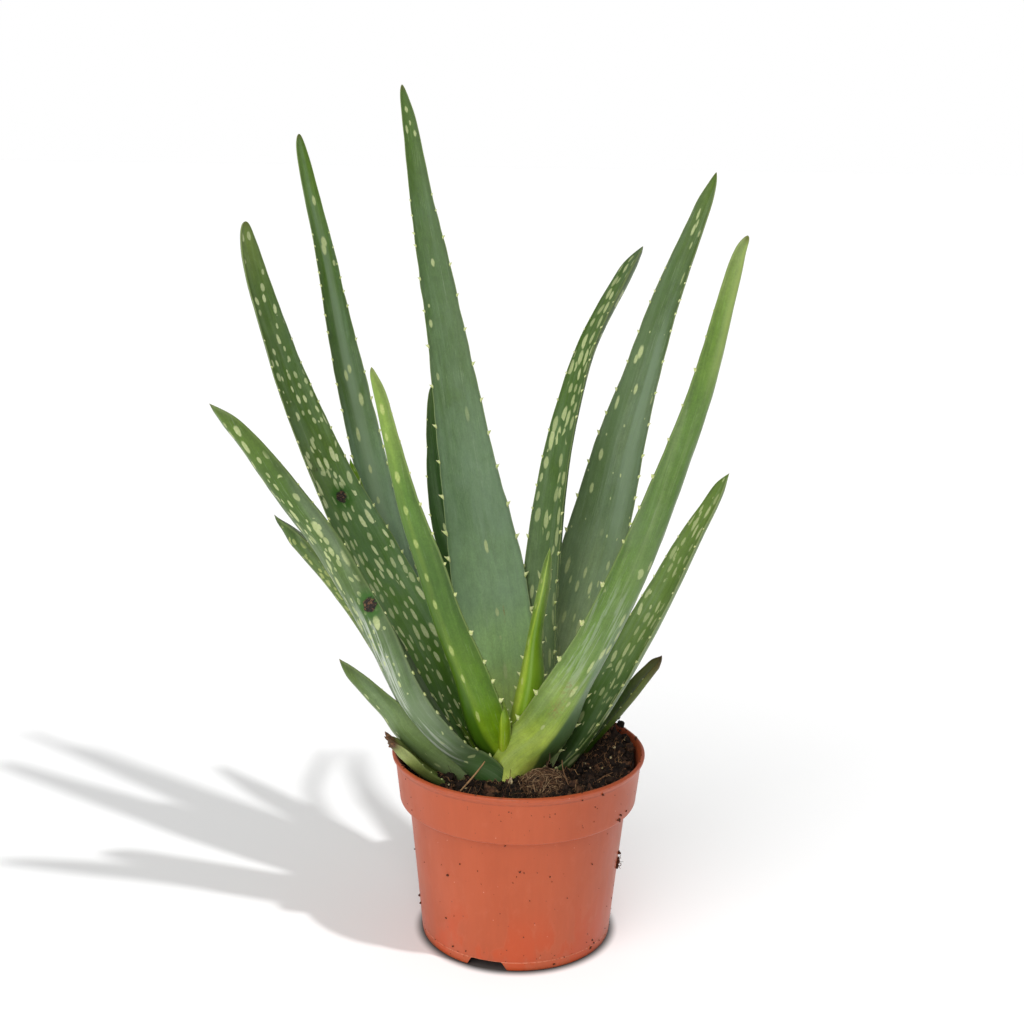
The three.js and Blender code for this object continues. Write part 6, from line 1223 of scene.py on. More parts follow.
def pot_profile():
    p = [(0.0, 0.0), (6.0, 0.0), (PAD_R - 0.3, 0.0), (PAD_R, 0.15), (PAD_R + 1.1, FLOOR_Z - 0.4), (PAD_R + 1.6, FLOOR_Z), (28.0, FLOOR_Z), (BASE_R - FOOT_W - 1.4, FLOOR_Z), (BASE_R - FOOT_W - 0.6, FLOOR_Z - 0.5),
         (BASE_R - FOOT_W + 0.1, 0.3), (BASE_R - FOOT_W + 0.5, 0.0), (BASE_R - 0.9, 0.0), (BASE_R - 0.45, 0.1), (BASE_R - 0.15, 0.35), (BASE_R + 0.0, 0.8)]
    # foot band, a fine parting step, then the tapered wall
    p += [(BASE_R + 0.12, 1.4), (BASE_R + 0.42, 4.1), (BASE_R + 0.30, 4.45), (BASE_R + 0.36, 4.8)]
    z0, z1 = 5.2, BAND_Z - 2.6
    r0, r1 = BASE_R + 0.46, BODY_R_TOP - 0.25
    for i in range(15):
        u = i / 14
        p.append((r0 + (r1 - r0) * u - 0.10 * math.sin(math.pi * u), z0 + (z1 - z0) * u))
    # the small fillet under the rim band, the rounded step out, and the band
    p += arc_pts(BODY_R_TOP + 1.35, BAND_Z - 1.7, 1.5, 180, 95, 5)
    p += [(BAND_R_LOW - 1.9, BAND_Z - 0.15)]
    p += arc_pts(BAND_R_LOW - 1.55, BAND_Z + 1.5, 1.65, -88, -8, 6)
    for i in range(8):
        u = (i + 0.6) / 8.4
        p.append((BAND_R_LOW + 0.12 + (BAND_R_TOP - BAND_R_LOW - 0.1) * u, BAND_Z + 2.0 + (POT_H - 4.4 - BAND_Z - 2.0) * u))
    # rolled lip
    p += [(BAND_R_TOP + 0.22, POT_H - 4.0), (BAND_R_TOP + 0.62, POT_H - 2.9), (LIP_R - 0.55, POT_H - 2.3), (LIP_R - 0.2, POT_H - 1.95)]
    p += arc_pts(LIP_R - 0.75, POT_H - 1.0, 0.75, -30, 60, 5)
    p += arc_pts(LIP_R - 1.15, POT_H - 0.62, 0.6, 60, 150, 5)
    p += [(BAND_R_TOP - WALL + 0.35, POT_H - 2.2), (BAND_R_TOP - WALL, POT_H - 4.5), (BAND_R_LOW - WALL + 0.1, BAND_Z + 3.0), (BAND_R_LOW - WALL - 0.9, BAND_Z + 1.5), (BODY_R_TOP - WALL + 0.4, BAND_Z + 0.4), (BODY_R_TOP - WALL, BAND_Z - 1.8),
         (BASE_R - WALL + 0.25, FLOOR_Z + FLOOR_T + 1.2), (BASE_R - WALL - 0.9, FLOOR_Z + FLOOR_T), (30.0, FLOOR_Z + FLOOR_T), (PAD_R, FLOOR_Z + FLOOR_T), (0.0, FLOOR_Z + FLOOR_T)]
    return p


def lathe(profile, seg):
    v, f = [], []
    n = len(profile)
    for j in range(seg):
        a = 2 * math.pi * j / seg
        for r, z in profile[1:-1]:
            v.append((r * math.cos(a), r * math.sin(a), z))
    m = n - 2
    lo, hi = len(v), len(v) + 1
    v += [(0, 0, profile[0][1]), (0, 0, profile[-1][1])]
    for j in range(seg):
        k = (j + 1) % seg
        for i in range(m - 1):
            f.append((j * m + i, k * m + i, k * m + i + 1, j * m + i + 1))
        f.append((lo, k * m, j * m))
        f.append((hi, j * m + m - 1, k * m + m - 1))
    return v, f


def prism(outline, h0, h1):
    n = len(outline)
    v = [(x, y, h0) for x, y in outline] + [(x, y, h1) for x, y in outline]
    f = [tuple(range(n))[::-1], tuple(range(n, 2 * n))] + [(i, (i + 1) % n, n + (i + 1) % n, n + i) for i in range(n)]
    return v, f


def cut(target, cutter):
    m = target.modifiers.new("cut", "BOOLEAN")
    m.operation = "DIFFERENCE"
    m.solver = "EXACT"
    m.object = cutter
    dg = bpy.context.evaluated_depsgraph_get()
    me = bpy.data.meshes.new_from_object(target.evaluated_get(dg))
    target.modifiers.clear()
    old = target.data
    target.data = me
    bpy.data.meshes.remove(old)
    bpy.data.objects.remove(cutter)


def pot_skin():
    n = Net("pot_plastic")
    p = n.geo()
    x, y, z = n.sep(n.vec("SCALE", p, scale=1000.0))
    mm = n.comb(x, y, z)
    base = n.noise(n.vec("MULTIPLY", mm, (0.03, 0.03, 0.02)), 1.0, 3.0, 0.5)
    col = n.mix(n.step(base, 0.3, 0.7), lin(172, 77, 40), lin(180, 83, 46))
    # moulding flow: very faint upright streaks
    flow = n.noise(n.vec("MULTIPLY", mm, (0.35, 0.35, 0.012)), 1.0, 3.0, 0.6)
    f1 = n.step(flow, 0.3, 0.7, 0.97, 1.03, smooth=False)
    col = n.mix(1.0, col, n.comb(f1, f1, f1), "MULTIPLY")
    # dried-on lime film with wet-looking clean patches low on the wall
    film = n.noise(n.vec("MULTIPLY", mm, (0.075, 0.075, 0.03)), 1.0, 4.0, 0.6, 0.4)
    low = n.step(z, 40.0, 12.0)
    patch = n.math("MULTIPLY", n.step(film, 0.45, 0.60), low)
    col = n.mix(n.math("MULTIPLY", patch, 0.85), col, lin(184, 73, 30))
    edge = n.math("MULTIPLY", n.step(n.math("ABSOLUTE", n.math("SUBTRACT", film, 0.505)), 0.03, 0.0), n.step(z, 60.0, 20.0))
    col = n.mix(n.math("MULTIPLY", edge, 0.03), col, lin(222, 148, 120))
    haze = n.noise(n.vec("MULTIPLY", mm, (0.16, 0.16, 0.10)), 1.0, 5.0, 0.7)
    col = n.mix(n.step(haze, 0.52, 0.8, 0.0, 0.16), col, lin(206, 120, 88))
    # speckle: fine soil dust and pale grains
    dust = n.voronoi(mm, 0.32)
    _, dg, db = n.sep(dust.outputs["Color"])
    sp = n.math("MULTIPLY", n.step(dust.outputs["Distance"], 0.16, 0.07), n.step(dg, 0.90, 0.91))
    col = n.mix(n.math("MULTIPLY", sp, 0.7), col, lin(120, 54, 34))
    pale = n.voronoi(mm, 0.45)
    _, pg, _ = n.sep(pale.outputs["Color"])
    ps = n.math("MULTIPLY", n.step(pale.outputs["Distance"], 0.15, 0.06), n.step(pg, 0.955, 0.96))
    col = n.mix(n.math("MULTIPLY", ps, 0.5), col, lin(228, 176, 150))
    # soil stains at the step under the band, at the bottom of the foot and at the seam; at the step they also stand in
    # for the shade under the band, painted shade
    grime_and_painted_light_noise = n.noise(n.vec("MULTIPLY", mm, (0.5, 0.5, 0.9)), 1.0, 5.0, 0.7)
    ring = n.math("MAXIMUM", n.step(n.math("ABSOLUTE", n.math("SUBTRACT", z, 67.6)), 1.3, 0.2), n.math("MAXIMUM", n.step(z, 2.4, 0.4), n.step(n.math("ABSOLUTE", n.math("SUBTRACT", z, 4.45)), 0.5, 0.1)))
    stain_and_shade_mask = n.math("MULTIPLY", n.step(grime_and_painted_light_noise, 0.5, 0.68), ring)
    col = n.mix(n.math("MULTIPLY", stain_and_shade_mask, 0.55), col, lin(110, 52, 34))
    # painted shade: a dark line in the corner under the band and another just under the lip; then a painted highlight,
    # the pale line along the edge of the moulding seam at the foot
    painted_shade_line = n.step(n.math("ABSOLUTE", n.math("SUBTRACT", z, 67.2)), 0.7, 0.2)
    col = n.mix(n.math("MULTIPLY", painted_shade_line, n.step(grime_and_painted_light_noise, 0.3, 0.6, 0.25, 0.6)), col, lin(132, 58, 38))
    painted_shade_line = n.step(n.math("ABSOLUTE", n.math("SUBTRACT", z, 88.3)), 0.6, 0.15)
    col = n.mix(n.math("MULTIPLY", painted_shade_line, n.step(grime_and_painted_light_noise, 0.35, 0.6, 0.1, 0.5)), col, lin(128, 56, 36))
    seam_highlight = n.step(n.math("ABSOLUTE", n.math("SUBTRACT", z, 4.45)), 0.34, 0.14)
    col = n.mix(n.math("MULTIPLY", seam_highlight, n.step(grime_and_painted_light_noise, 0.6, 0.4, 0.1, 0.6)), col, lin(216, 138, 106))
    # the inside, above the soil, is dusty with peat
    r = n.math("SQRT", n.math("ADD", n.math("MULTIPLY", x, x), n.math("MULTIPLY", y, y)))
    nrm = n.geo("Normal")
    inward = n.vec("DOT_PRODUCT", n.vec("NORMALIZE", n.comb(x, y, 0.0)), nrm)
    ins = n.math("MULTIPLY", n.step(inward, -0.2, -0.6), n.step(z, 92.0, 84.0, 0.25, 1.0))
    peat = n.step(n.noise(n.vec("MULTIPLY", mm, (0.35, 0.35, 0.35)), 1.0, 5.0, 0.72), 0.38, 0.62)
    col = n.mix(n.math("MULTIPLY", n.math("MULTIPLY", ins, peat), 0.85), col, lin(66, 40, 28))
    lipd = n.math("MULTIPLY", n.step(z, 89.5, 91.6), n.step(n.noise(n.vec("MULTIPLY", mm, (0.25, 0.25, 0.6)), 1.0, 5.0, 0.75), 0.54, 0.66))
    col = n.mix(n.math("MULTIPLY", lipd, 0.5), col, lin(104, 56, 38))
    rough = n.step(film, 0.3, 0.7, 0.36, 0.46)
    rough = n.math("MULTIPLY_ADD", patch, -0.08, rough)
    rough = n.math("MULTIPLY_ADD", ins, 0.25, rough)
    fine = n.noise(n.vec("MULTIPLY", mm, (2.4, 2.4, 2.4)), 1.0, 3.0, 0.6)
    normal = n.bump(fine, 0.12, 0.0001)
    normal = n.bump(base, 0.25, 0.0006, normal)
    normal = n.bump(flow, 0.15, 0.0002, normal)
    return n.finish(col, rough, normal, spec=0.4, sss=(0.05, (1.0, 0.3, 0.15), 0.0012))


pv, pf = lathe(pot_profile(), 288)
pot = make_mesh("visual_pot", pv, pf, [pot_skin()])
for deg in NOTCH_ANGLES:
    # trapezoid drainage notch with softened corners, seen from outside the foot ring
    shape = [(-10.0, -1.0), (10.0, -1.0), (9.85, 0.2), (7.6, 4.1), (7.0, 4.45), (-7.0, 4.45), (-7.6, 4.1), (-9.85, 0.2)]
    v, f = prism(shape, BASE_R - FOOT_W - 3.0, BASE_R + 6.0)
    a = math.radians(deg)
    v = [(r * math.cos(a) - u * math.sin(a), r * math.sin(a) + u * math.cos(a), z) for u, z, r in v]
    cut(pot, make_mesh("cutter", v, f, []))
holes = None
for k in range(6):
    a = math.radians(20 + 60 * k)
    ring = [(30 * math.cos(a) + 4.2 * math.cos(b), 30 * math.sin(a) + 4.2 * math.sin(b)) for b in np.arange(32) * 2 * math.pi / 32]
    v, f = prism(ring, FLOOR_Z - 2.0, FLOOR_Z + FLOOR_T + 2.0)
    cut(pot, make_mesh("cutter", v, f, []))
pot.data.polygons.foreach_set("use_smooth", np.full(len(pot.data.polygons), True))
pot.data.set_sharp_from_angle(angle=math.radians(38))
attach(pot, "root")
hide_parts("pot")


# ------------------------------------------------------------------ soil
SOIL_Z, PTS = 83.5, 359


def soil_height(x, y):
    heap = 12.5 * np.exp(-(((x - 44) / 17) ** 2 + ((y - 23) / 20) ** 2))
    back = 3.0 * np.exp(-(((x + 5) / 40) ** 2 + ((y - 38) / 18) ** 2))
    crown = 3.0 * np.exp(-(((x + 5) / 18) ** 2 + ((y + 4) / 16) ** 2))
    left = -3.5 * np.exp(-(((x + 50) / 14) ** 2 + ((y + 10) / 26) ** 2))
    ripple = 0.5 * np.sin(0.21 * x + PTS) * np.cos(0.17 * y - 1.3) + 0.35 * np.sin(0.43 * x - 0.31 * y)
    return SOIL_Z + heap + back + crown + left + ripple


def inner_r(z):
    return np.interp(z, [7.4, BAND_Z - 1.2, BAND_Z + 1.6, POT_H - 3.4], [BASE_R - WALL + 0.2, BODY_R_TOP - WALL, BAND_R_LOW - WALL - 0.9, BAND_R_TOP - WALL]) - 0.45


rough_a = waves(51, 26, 7.0, 22.0)
rough_b = waves(52, 30, 2.6, 6.5)
rough_c = waves(53, 34, 1.0, 2.4)


def soil_top(x, y):
    x, y = np.asarray(x, float), np.asarray(y, float)
    q = np.stack([x, y, 0 * x], -1).reshape(-1, 3)
    bump = 0.8 * rough_a(q) + 0.68 * rough_b(q) + 0.38 * rough_c(q)
    drift = 2.8 * np.exp(-(((x - 51) / 10) ** 2 + ((y + 3) / 24) ** 2))      # pushed up against the wall on the right
    return soil_height(x, y) - 0.6 + drift + bump.reshape(x.shape)


def soil_skin(name, dark=1.0):
    n = Net(name)
    mm = n.vec("SCALE", n.geo(), scale=1000.0)
    tone = n.attr("tone", "Fac")
    a = n.noise(n.vec("MULTIPLY", mm, (0.35, 0.35, 0.35)), 1.0, 5.0, 0.7)
    b = n.noise(n.vec("MULTIPLY", mm, (1.6, 1.6, 1.6)), 1.0, 4.0, 0.7)
    col = n.mix(n.step(a, 0.35, 0.66), lin(20, 14, 10, dark), lin(48, 33, 24, dark))
    col = n.mix(n.step(b, 0.55, 0.8, 0.0, 0.7), col, lin(98, 70, 52, dark))
    col = n.mix(n.step(b, 0.42, 0.2, 0.0, 0.8), col, lin(8, 5, 4))
    warm = n.mix(n.step(a, 0.4, 0.6), lin(70, 46, 33), lin(132, 92, 64))
    col = n.mix(n.step(tone, 0.72, 1.0, 0.0, 0.8), col, warm)
    dk = n.step(tone, 0.0, 0.6, 0.25, 1.0)
    col = n.mix(1.0, col, n.comb(dk, dk, dk), "MULTIPLY")
    rough = n.step(b, 0.3, 0.7, 0.72, 0.95)
    normal = n.bump(b, 0.7, 0.0004)
    normal = n.bump(a, 0.5, 0.0008, normal)
    return n.finish(col, rough, normal, spec=0.25)


SOIL = soil_skin("potting_soil")
seg, rad = 220, 78
ang = np.arange(seg) * 2 * math.pi / seg
rows_r = (np.arange(1, rad + 1) / rad) ** 0.9
verts = [(0.0, 0.0, float(soil_top(np.array([0.0]), np.array([0.0]))[0]))]
R_TOP = float(inner_r(82.0)) - 0.1
for q in rows_r:
    xx, yy = R_TOP * q * np.cos(ang), R_TOP * q * np.sin(ang)
    zz = soil_top(xx, yy)
    if q > 0.93:
        zz = np.minimum(zz, 90.6)
    verts += list(zip(xx, yy, zz))
side = [(inner_r(76.0) - 0.1, 76.0), (inner_r(BAND_Z + 2.2) - 0.2, BAND_Z + 2.2), (inner_r(BAND_Z - 2.2) - 0.1, BAND_Z - 2.2), (inner_r(40.0) - 0.1, 40.0), (inner_r(12.0) - 0.1, 12.0), (inner_r(8.0) - 1.4, FLOOR_Z + FLOOR_T + 0.35)]
for r, z in side:
    verts += list(zip(r * np.cos(ang), r * np.sin(ang), np.full(seg, z)))
verts.append((0.0, 0.0, FLOOR_Z + FLOOR_T + 0.35))
faces = [(0, 1 + j, 1 + (j + 1) % seg) for j in range(seg)]
total_rows = rad + len(side)
for i in range(total_rows - 1):
    for j in range(seg):
        a_, b_ = 1 + i * seg + j, 1 + i * seg + (j + 1) % seg
        faces.append((a_, a_ + seg, b_ + seg, b_))
lastv = len(verts) - 1
faces += [(1 + (total_rows - 1) * seg + j, lastv, 1 + (total_rows - 1) * seg + (j + 1) % seg) for j in range(seg)]
g = np.random.default_rng(77)
soil = make_mesh("visual_soil", verts, faces, [SOIL], floats={"tone": 0.35 + 0.25 * g.random(len(verts))})
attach(soil, "root")
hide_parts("soil")


def wall_ok(x, y, z, margin):
    return np.hypot(x, y) + margin < inner_r(np.clip(z, 70.0, 88.0)) + 0.3


def scatter(name, count, level, lo, hi, seed, lift=0.25, tones=(0.15, 1.0), mats=None, power=1.6, where=None):
    kinds = lumps(level, 9, seed)
    g = np.random.default_rng(seed)
    heap = Heap()
    done = 0
    while done < count:
        r = (R_TOP - 0.6) * math.sqrt(g.random())
        a = g.uniform(0, 2 * math.pi)
        x, y = r * math.cos(a), r * math.sin(a)
        if where is not None and not where(x, y, g):
            continue
        s = lo + (hi - lo) * g.random() ** power
        z = float(soil_top(np.array([x]), np.array([y]))[0]) + s * lift
        if not wall_ok(x, y, z, s * 1.1):
            continue
        v, f = kinds[int(g.integers(len(kinds)))]
        stretch = g.uniform(0.7, 1.35, 3)
        p = (v * stretch) @ turned(g).T * s + (x, y, z)
        heap.put(p, f, g.uniform(*tones))
        done += 1
    ob = heap.object(name, mats or [SOIL])
    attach(ob, "root")
    return ob


scatter("soil_crumbs_large", 620, 2, 0.9, 2.5, 301, lift=0.15)
scatter("soil_crumbs_small", 2300, 1, 0.3, 1.0, 302, lift=0.3)
scatter("soil_crumbs_fine", 2300, 1, 0.25, 0.7, 305, lift=0.35)


def perlite_skin():
    n = Net("pale_grains")
    mm = n.vec("SCALE", n.geo(), scale=1000.0)
    a = n.noise(mm, 1.3, 4.0, 0.7)
    tone = n.attr("tone", "Fac")
    col = n.mix(n.step(a, 0.35, 0.65), lin(150, 128, 92), lin(212, 198, 158))
    col = n.mix(n.step(tone, 0.4, 0.9), col, lin(176, 156, 110))
    return n.finish(col, n.step(a, 0.3, 0.7, 0.5, 0.8), n.bump(a, 0.6, 0.0003), sss=(0.1, (1, 0.8, 0.5), 0.001))


PALE = perlite_skin()
scatter("soil_grains_pale", 170, 1, 0.20, 0.75, 303, lift=0.75, mats=[PALE], power=2.4)


# two larger pieces of perlite in front of the stem
kinds = lumps(2, 3, 341, 0.3)
heap = Heap()
g = np.random.default_rng(342)
for x, y, s in ((17.7, -36.5, 1.05), (-3.6, -27.0, 1.2), (25.0, -38.5, 0.7), (46.0, 4.0, 0.8)):
    v, f = kinds[int(g.integers(3))]
    z = float(soil_top(np.array([x]), np.array([y]))[0]) + 0.6 * s
    heap.put((v * (1.2, 0.9, 0.8) * s) @ turned(g).T + (x, y, z), f, g.uniform(0.3, 0.8))
perlite = heap.object("soil_perlite", [PALE])
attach(perlite, "root")


def fibre_skin(name, a, b, c):
    n = Net(name)
    mm = n.vec("SCALE", n.geo(), scale=1000.0)
    g1 = n.noise(n.vec("MULTIPLY", mm, (0.9, 0.9, 0.9)), 1.0, 3.0, 0.6)
    tone = n.attr("tone", "Fac")
    col = n.mix(n.step(tone, 0.0, 0.6), lin(*a), lin(*b))
    col = n.mix(n.step(tone, 0.6, 1.0), col, lin(*c))
    k = n.step(g1, 0.3, 0.7, 0.7, 1.15)
    col = n.mix(1.0, col, n.comb(k, k, k), "MULTIPLY")
    return n.finish(col, n.step(g1, 0.3, 0.7, 0.6, 0.85), n.bump(g1, 0.4, 0.0002), spec=0.3)


FIBRE = fibre_skin("peat_fibre", (52, 36, 26), (112, 80, 54), (170, 132, 92))
ROOT = fibre_skin("fine_roots", (52, 34, 24), (118, 86, 60), (182, 150, 114))


def wander(g, start, direction, length, steps, curl, flatten=0.5):
    p = [np.array(start, float)]
    d = np.array(direction, float)
    d /= np.linalg.norm(d)
    turn = g.normal(size=3) * curl
    for _ in range(steps):
        turn = turn * 0.8 + g.normal(size=3) * curl * 0.6
        turn[2] *= flatten
        d = d + turn
        d /= np.linalg.norm(d)
        p.append(p[-1] + d * length / steps)
    return np.array(p)


g = np.random.default_rng(411)
heap = Heap()
made = 0
while made < 700:
    r = (R_TOP - 3) * math.sqrt(g.random())
    a = g.uniform(0, 2 * math.pi)
    x, y = r * math.cos(a), r * math.sin(a)
    L = g.uniform(4, 15) if g.random() < 0.75 else g.uniform(12, 24)
    b = g.uniform(0, 2 * math.pi)
    path = wander(g, (x, y, 0), (math.cos(b), math.sin(b), 0), L, 11, 0.22)
    if np.hypot(path[:, 0], path[:, 1]).max() > R_TOP - 0.8:
        continue
    ground = soil_top(path[:, 0], path[:, 1])
    ends = g.uniform(0.0, 1.0) ** 3 * 4.0
    lift = 0.45 + ends * np.abs(np.linspace(-1, 1, len(path)) * g.choice([1, 1, 0.2]) + g.uniform(-0.4, 0.4)) ** 2
    path[:, 2] = ground + lift
    heap.tube(path, g.uniform(0.07, 0.20), g.random() ** 1.2, sides=5, taper=0.55)
    made += 1
fib = heap.object("soil_fibres", [FIBRE])
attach(fib, "root")

# the few stalks that stand out: a pale straw at the front left, a twig on the right, short bits in the tuft
heap = Heap()
g = np.random.default_rng(412)
def stalk(p0, p1, r, bend, tone):
    p0, p1 = np.array(p0, float), np.array(p1, float)
    u = np.linspace(0, 1, 15)[:, None]
    mid = np.array(bend, float)
    heap.tube(p0 + (p1 - p0) * u + 4 * u * (1 - u) * mid, r, tone, sides=7, taper=0.3)


stalk((-27.5, -37.6, 84.6), (-15.5, -26.0, 95.6), 0.42, (0.8, -0.4, 0.5), 0.98)
stalk((42.9, 26.0, 87.6), (39.3, 6.8, 86.6), 0.30, (1.0, 0.0, 1.5), 0.85)
stalk((24.0, -30.5, 84.5), (20.0, -24.0, 96.0), 0.26, (-1.0, 0.4, 0.3), 0.7)
stalk((-37.0, -30.0, 84.4), (-30.0, -41.0, 84.9), 0.25, (0.3, 0.3, 1.0), 0.6)
stalk((12.0, -24.0, 92.0), (13.5, -20.0, 99.5), 0.22, (1.6, -0.5, 0.2), 0.3)
stalk((33.0, -27.0, 85.0), (44.0, -17.0, 87.2), 0.3, (0.6, -0.6, 1.0), 0.65)
stalk((13.6, -17.5, 88.0), (14.6, -12.0, 100.0), 0.24, (-0.8, 0.4, 0.3), 0.35)
stalks = heap.object("soil_stalks", [FIBRE])
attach(stalks, "root")

# ------------------------------------------------------------------ tuft of fine roots in front of the stem
TUFT = (12.2, -23.5, 81.5, 12.4, 9.0, 9.8)
cx, cy, cz, ra, rb, rh = TUFT
v, f = ico(4)
w1, w2 = waves(61, 20, 0.25, 0.9), waves(62, 24, 0.09, 0.22)
r = 0.74 + 0.09 * w1(v) + 0.05 * w2(v)
core = v * r[:, None] * (ra, rb, rh) + (cx, cy, cz)
core[:, 2] = np.maximum(core[:, 2], cz - 5.0)
tuft = make_mesh("visual_root_tuft", core, f, [SOIL], floats={"tone": 0.45 + 0.2 * w1(v)})
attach(tuft, "root")
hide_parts("root_tuft")
heap = Heap()
g = np.random.default_rng(413)
for i in range(760):
    d = g.normal(size=3)
    d[2] = abs(d[2]) * 0.9 + 0.02
    d /= np.linalg.norm(d)
    t = np.cross(d, g.normal(size=3))
    t /= np.linalg.norm(t)
    path = wander(g, d, t, g.uniform(0.5, 1.7), 12, 0.17, 1.0)
    k = g.uniform(0.74, 1.03)
    path = path / np.linalg.norm(path, axis=1)[:, None] * k
    swell = 1 + 0.07 * np.sin(np.linspace(0, math.pi * g.uniform(1, 3), len(path)) + g.uniform(0, 6))
    path = path * swell[:, None] * (ra, rb, rh) * 0.95 + (cx, cy, cz)
    path[:, 2] = np.maximum(path[:, 2], soil_top(path[:, 0], path[:, 1]) + 0.1)
    heap.tube(path, g.uniform(0.07, 0.20), g.random() ** 1.0, sides=5, taper=0.4)
# hairs standing out of the nest and leaning over it
for i in range(150):
    d = g.normal(size=3)
    d[2] = abs(d[2]) * 0.8 + 0.15
    d /= np.linalg.norm(d)
    start = d * (ra, rb, rh) * g.uniform(0.6, 0.85) + (cx, cy, cz)
    out = d * (1.0, 1.0, 0.7) + g.normal(size=3) * 0.7
    path = wander(g, start, out, g.uniform(2.5, 7.5), 12, 0.22, 1.0)
    path[:, 2] -= np.linspace(0, 1, len(path)) ** 2 * g.uniform(0.0, 3.5)
    path[:, 2] = np.maximum(path[:, 2], soil_top(path[:, 0], path[:, 1]) + 0.1)
    if path[:, 2].max() > 97.0 or np.hypot(path[:, 0], path[:, 1]).max() > R_TOP - 1.0:
        continue
    heap.tube(path, g.uniform(0.06, 0.15), g.random(), sides=5, taper=0.6)
for i in range(110):
    a = g.uniform(0, 2 * math.pi)
    x, y = cx + ra * 0.85 * math.cos(a), cy + rb * 0.85 * math.sin(a)
    path = wander(g, (x, y, 0), (math.cos(a), math.sin(a), 0), g.uniform(4, 11), 10, 0.3)
    if np.hypot(path[:, 0], path[:, 1]).max() > R_TOP - 0.8:
        continue
    path[:, 2] = soil_top(path[:, 0], path[:, 1]) + 0.5 + np.linspace(1.5, 0, len(path)) ** 1.0
    heap.tube(path, g.uniform(0.09, 0.2), g.random(), sides=5, taper=0.4)
roots = heap.object("root_tuft_fibres", [ROOT])
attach(roots, "root")


# ------------------------------------------------------------------ the dry, torn end of the cut leaf
def dry_skin():
    n = Net("dry_leaf_end")
    mm = n.vec("SCALE", n.geo(), scale=1000.0)
    a = n.noise(n.vec("MULTIPLY", mm, (0.7, 0.7, 1.6)), 1.0, 4.0, 0.7)
    tone = n.attr("tone", "Fac")
    col = n.mix(n.step(a, 0.35, 0.65), lin(58, 36, 26), lin(128, 92, 62))
    col = n.mix(n.step(tone, 0.5, 1.0, 0.0, 0.7), col, lin(160, 132, 84))
    return n.finish(col, n.step(a, 0.3, 0.7, 0.55, 0.8), n.bump(a, 0.6, 0.0004), spec=0.3)


stub = LEAVES["leaf_cut_stub"]
sc, sw, st, sn, sa, _, _, _, _ = leaf_frame(stub["rows"], np.array([0.955, 0.985]))
heap = Heap()
g = np.random.default_rng(430)
for i in range(11):
    across = -0.9 + 1.8 * i / 10.0
    size = (8.2 if i in (2, 8) else 5.2) * g.uniform(0.9, 1.08)
    start = sc[0] + sa[0] * across * sw[0] * 0.72 - sn[0] * (0.30 + 0.14 * (1 - across * across)) * sw[0] - st[0] * 3.2
    way = st[0] + sa[0] * across * 0.04 + g.normal(size=3) * 0.03 + np.array([0, 0, 0.05 if i not in (2, 8) else 0.3])
    path = wander(g, start, way, size, 12, 0.04, 1.0)
    heap.tube(path, g.uniform(0.85, 1.15), g.random(), sides=9, taper=0.8 if i in (2, 8) else 0.62)
dry = heap.object("leaf_stub_dry_end", [dry_skin()])
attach(dry, "root")


# ------------------------------------------------------------------ bits of soil stuck on the pot
def speck_skin():
    n = Net("brown_specks")
    mm = n.vec("SCALE", n.geo(), scale=1000.0)
    a = n.noise(n.vec("MULTIPLY", mm, (1.4, 1.4, 1.4)), 1.0, 4.0, 0.7)
    tone = n.attr("tone", "Fac")
    col = n.mix(n.step(a, 0.35, 0.65), lin(58, 32, 22), lin(98, 52, 34))
    col = n.mix(n.step(tone, 0.6, 1.0, 0.0, 0.7), col, lin(126, 76, 50))
    return n.finish(col, n.step(a, 0.3, 0.7, 0.6, 0.85), n.bump(a, 0.5, 0.0003), spec=0.25)


SPECK = speck_skin()


def outer_r(z):
    return float(np.interp(z, [0.7, 3.8, 67.0, 68.0, 69.0, 88.0, 88.8, 90.2, 91.6], [45.3, 45.7, 51.85, 54.5, 56.2, 58.3, 59.5, 60.0, 59.5]))


kinds = lumps(1, 8, 520, 0.4)
heap = Heap()
g = np.random.default_rng(521)
SPECKS = [(-129.7, 44.5, 0.75), (-121.1, 52.6, 0.55), (-88.6, 52.7, 0.6), (-86.5, 52.2, 0.35), (-72.7, 49.1, 0.45), (-71.5, 46.5, 0.3), (-133.7, 20.7, 0.6), (-129.6, 7.0, 0.6), (-120.2, 7.0, 0.55),
          (-66.9, 2.1, 0.7), (-53.4, 83.0, 0.4), (-34.0, 72.6, 0.9), (-32.8, 71.8, 0.6), (-27.8, 72.2, 0.6), (-34.4, 70.2, 1.0), (-36.0, 70.8, 0.7), (-46.7, 50.3, 0.45), (-168.4, 15.1, 0.9), (-170.0, 42.9, 0.5),
          (-152.8, 86.6, 0.5), (-149.7, 72.1, 0.35), (-94.1, 85.2, 0.45), (-93.0, 84.7, 0.3), (-73.6, 83.5, 0.4), (-75.9, 82.2, 0.35), (-96.3, 65.8, 0.5), (-92.1, 46.9, 0.35), (-38.7, 7.5, 0.6), (-39.8, 3.6, 0.7),
          (-36.5, 5.2, 0.5), (-60.6, 4.7, 0.45), (-98.9, 30.5, 0.3), (-12.5, 43.5, 1.4), (-11.8, 38.6, 1.7), (-12.8, 36.6, 1.2), (-12.2, 40.6, 0.9), (-170.5, 18.5, 0.7), (-98.5, 9.0, 0.3), (-50.0, 88.4, 0.7), (-61.0, 88.3, 0.5)]
for a_deg, z, s in SPECKS:
    a = math.radians(a_deg)
    rr = outer_r(z) + s * 0.15
    v, f = kinds[int(g.integers(len(kinds)))]
    p = (v * (s, s, s * 0.9)) @ turned(g).T * 0.8
    heap.put(p + (rr * math.cos(a), rr * math.sin(a), z), f, g.uniform(0.0, 0.7))
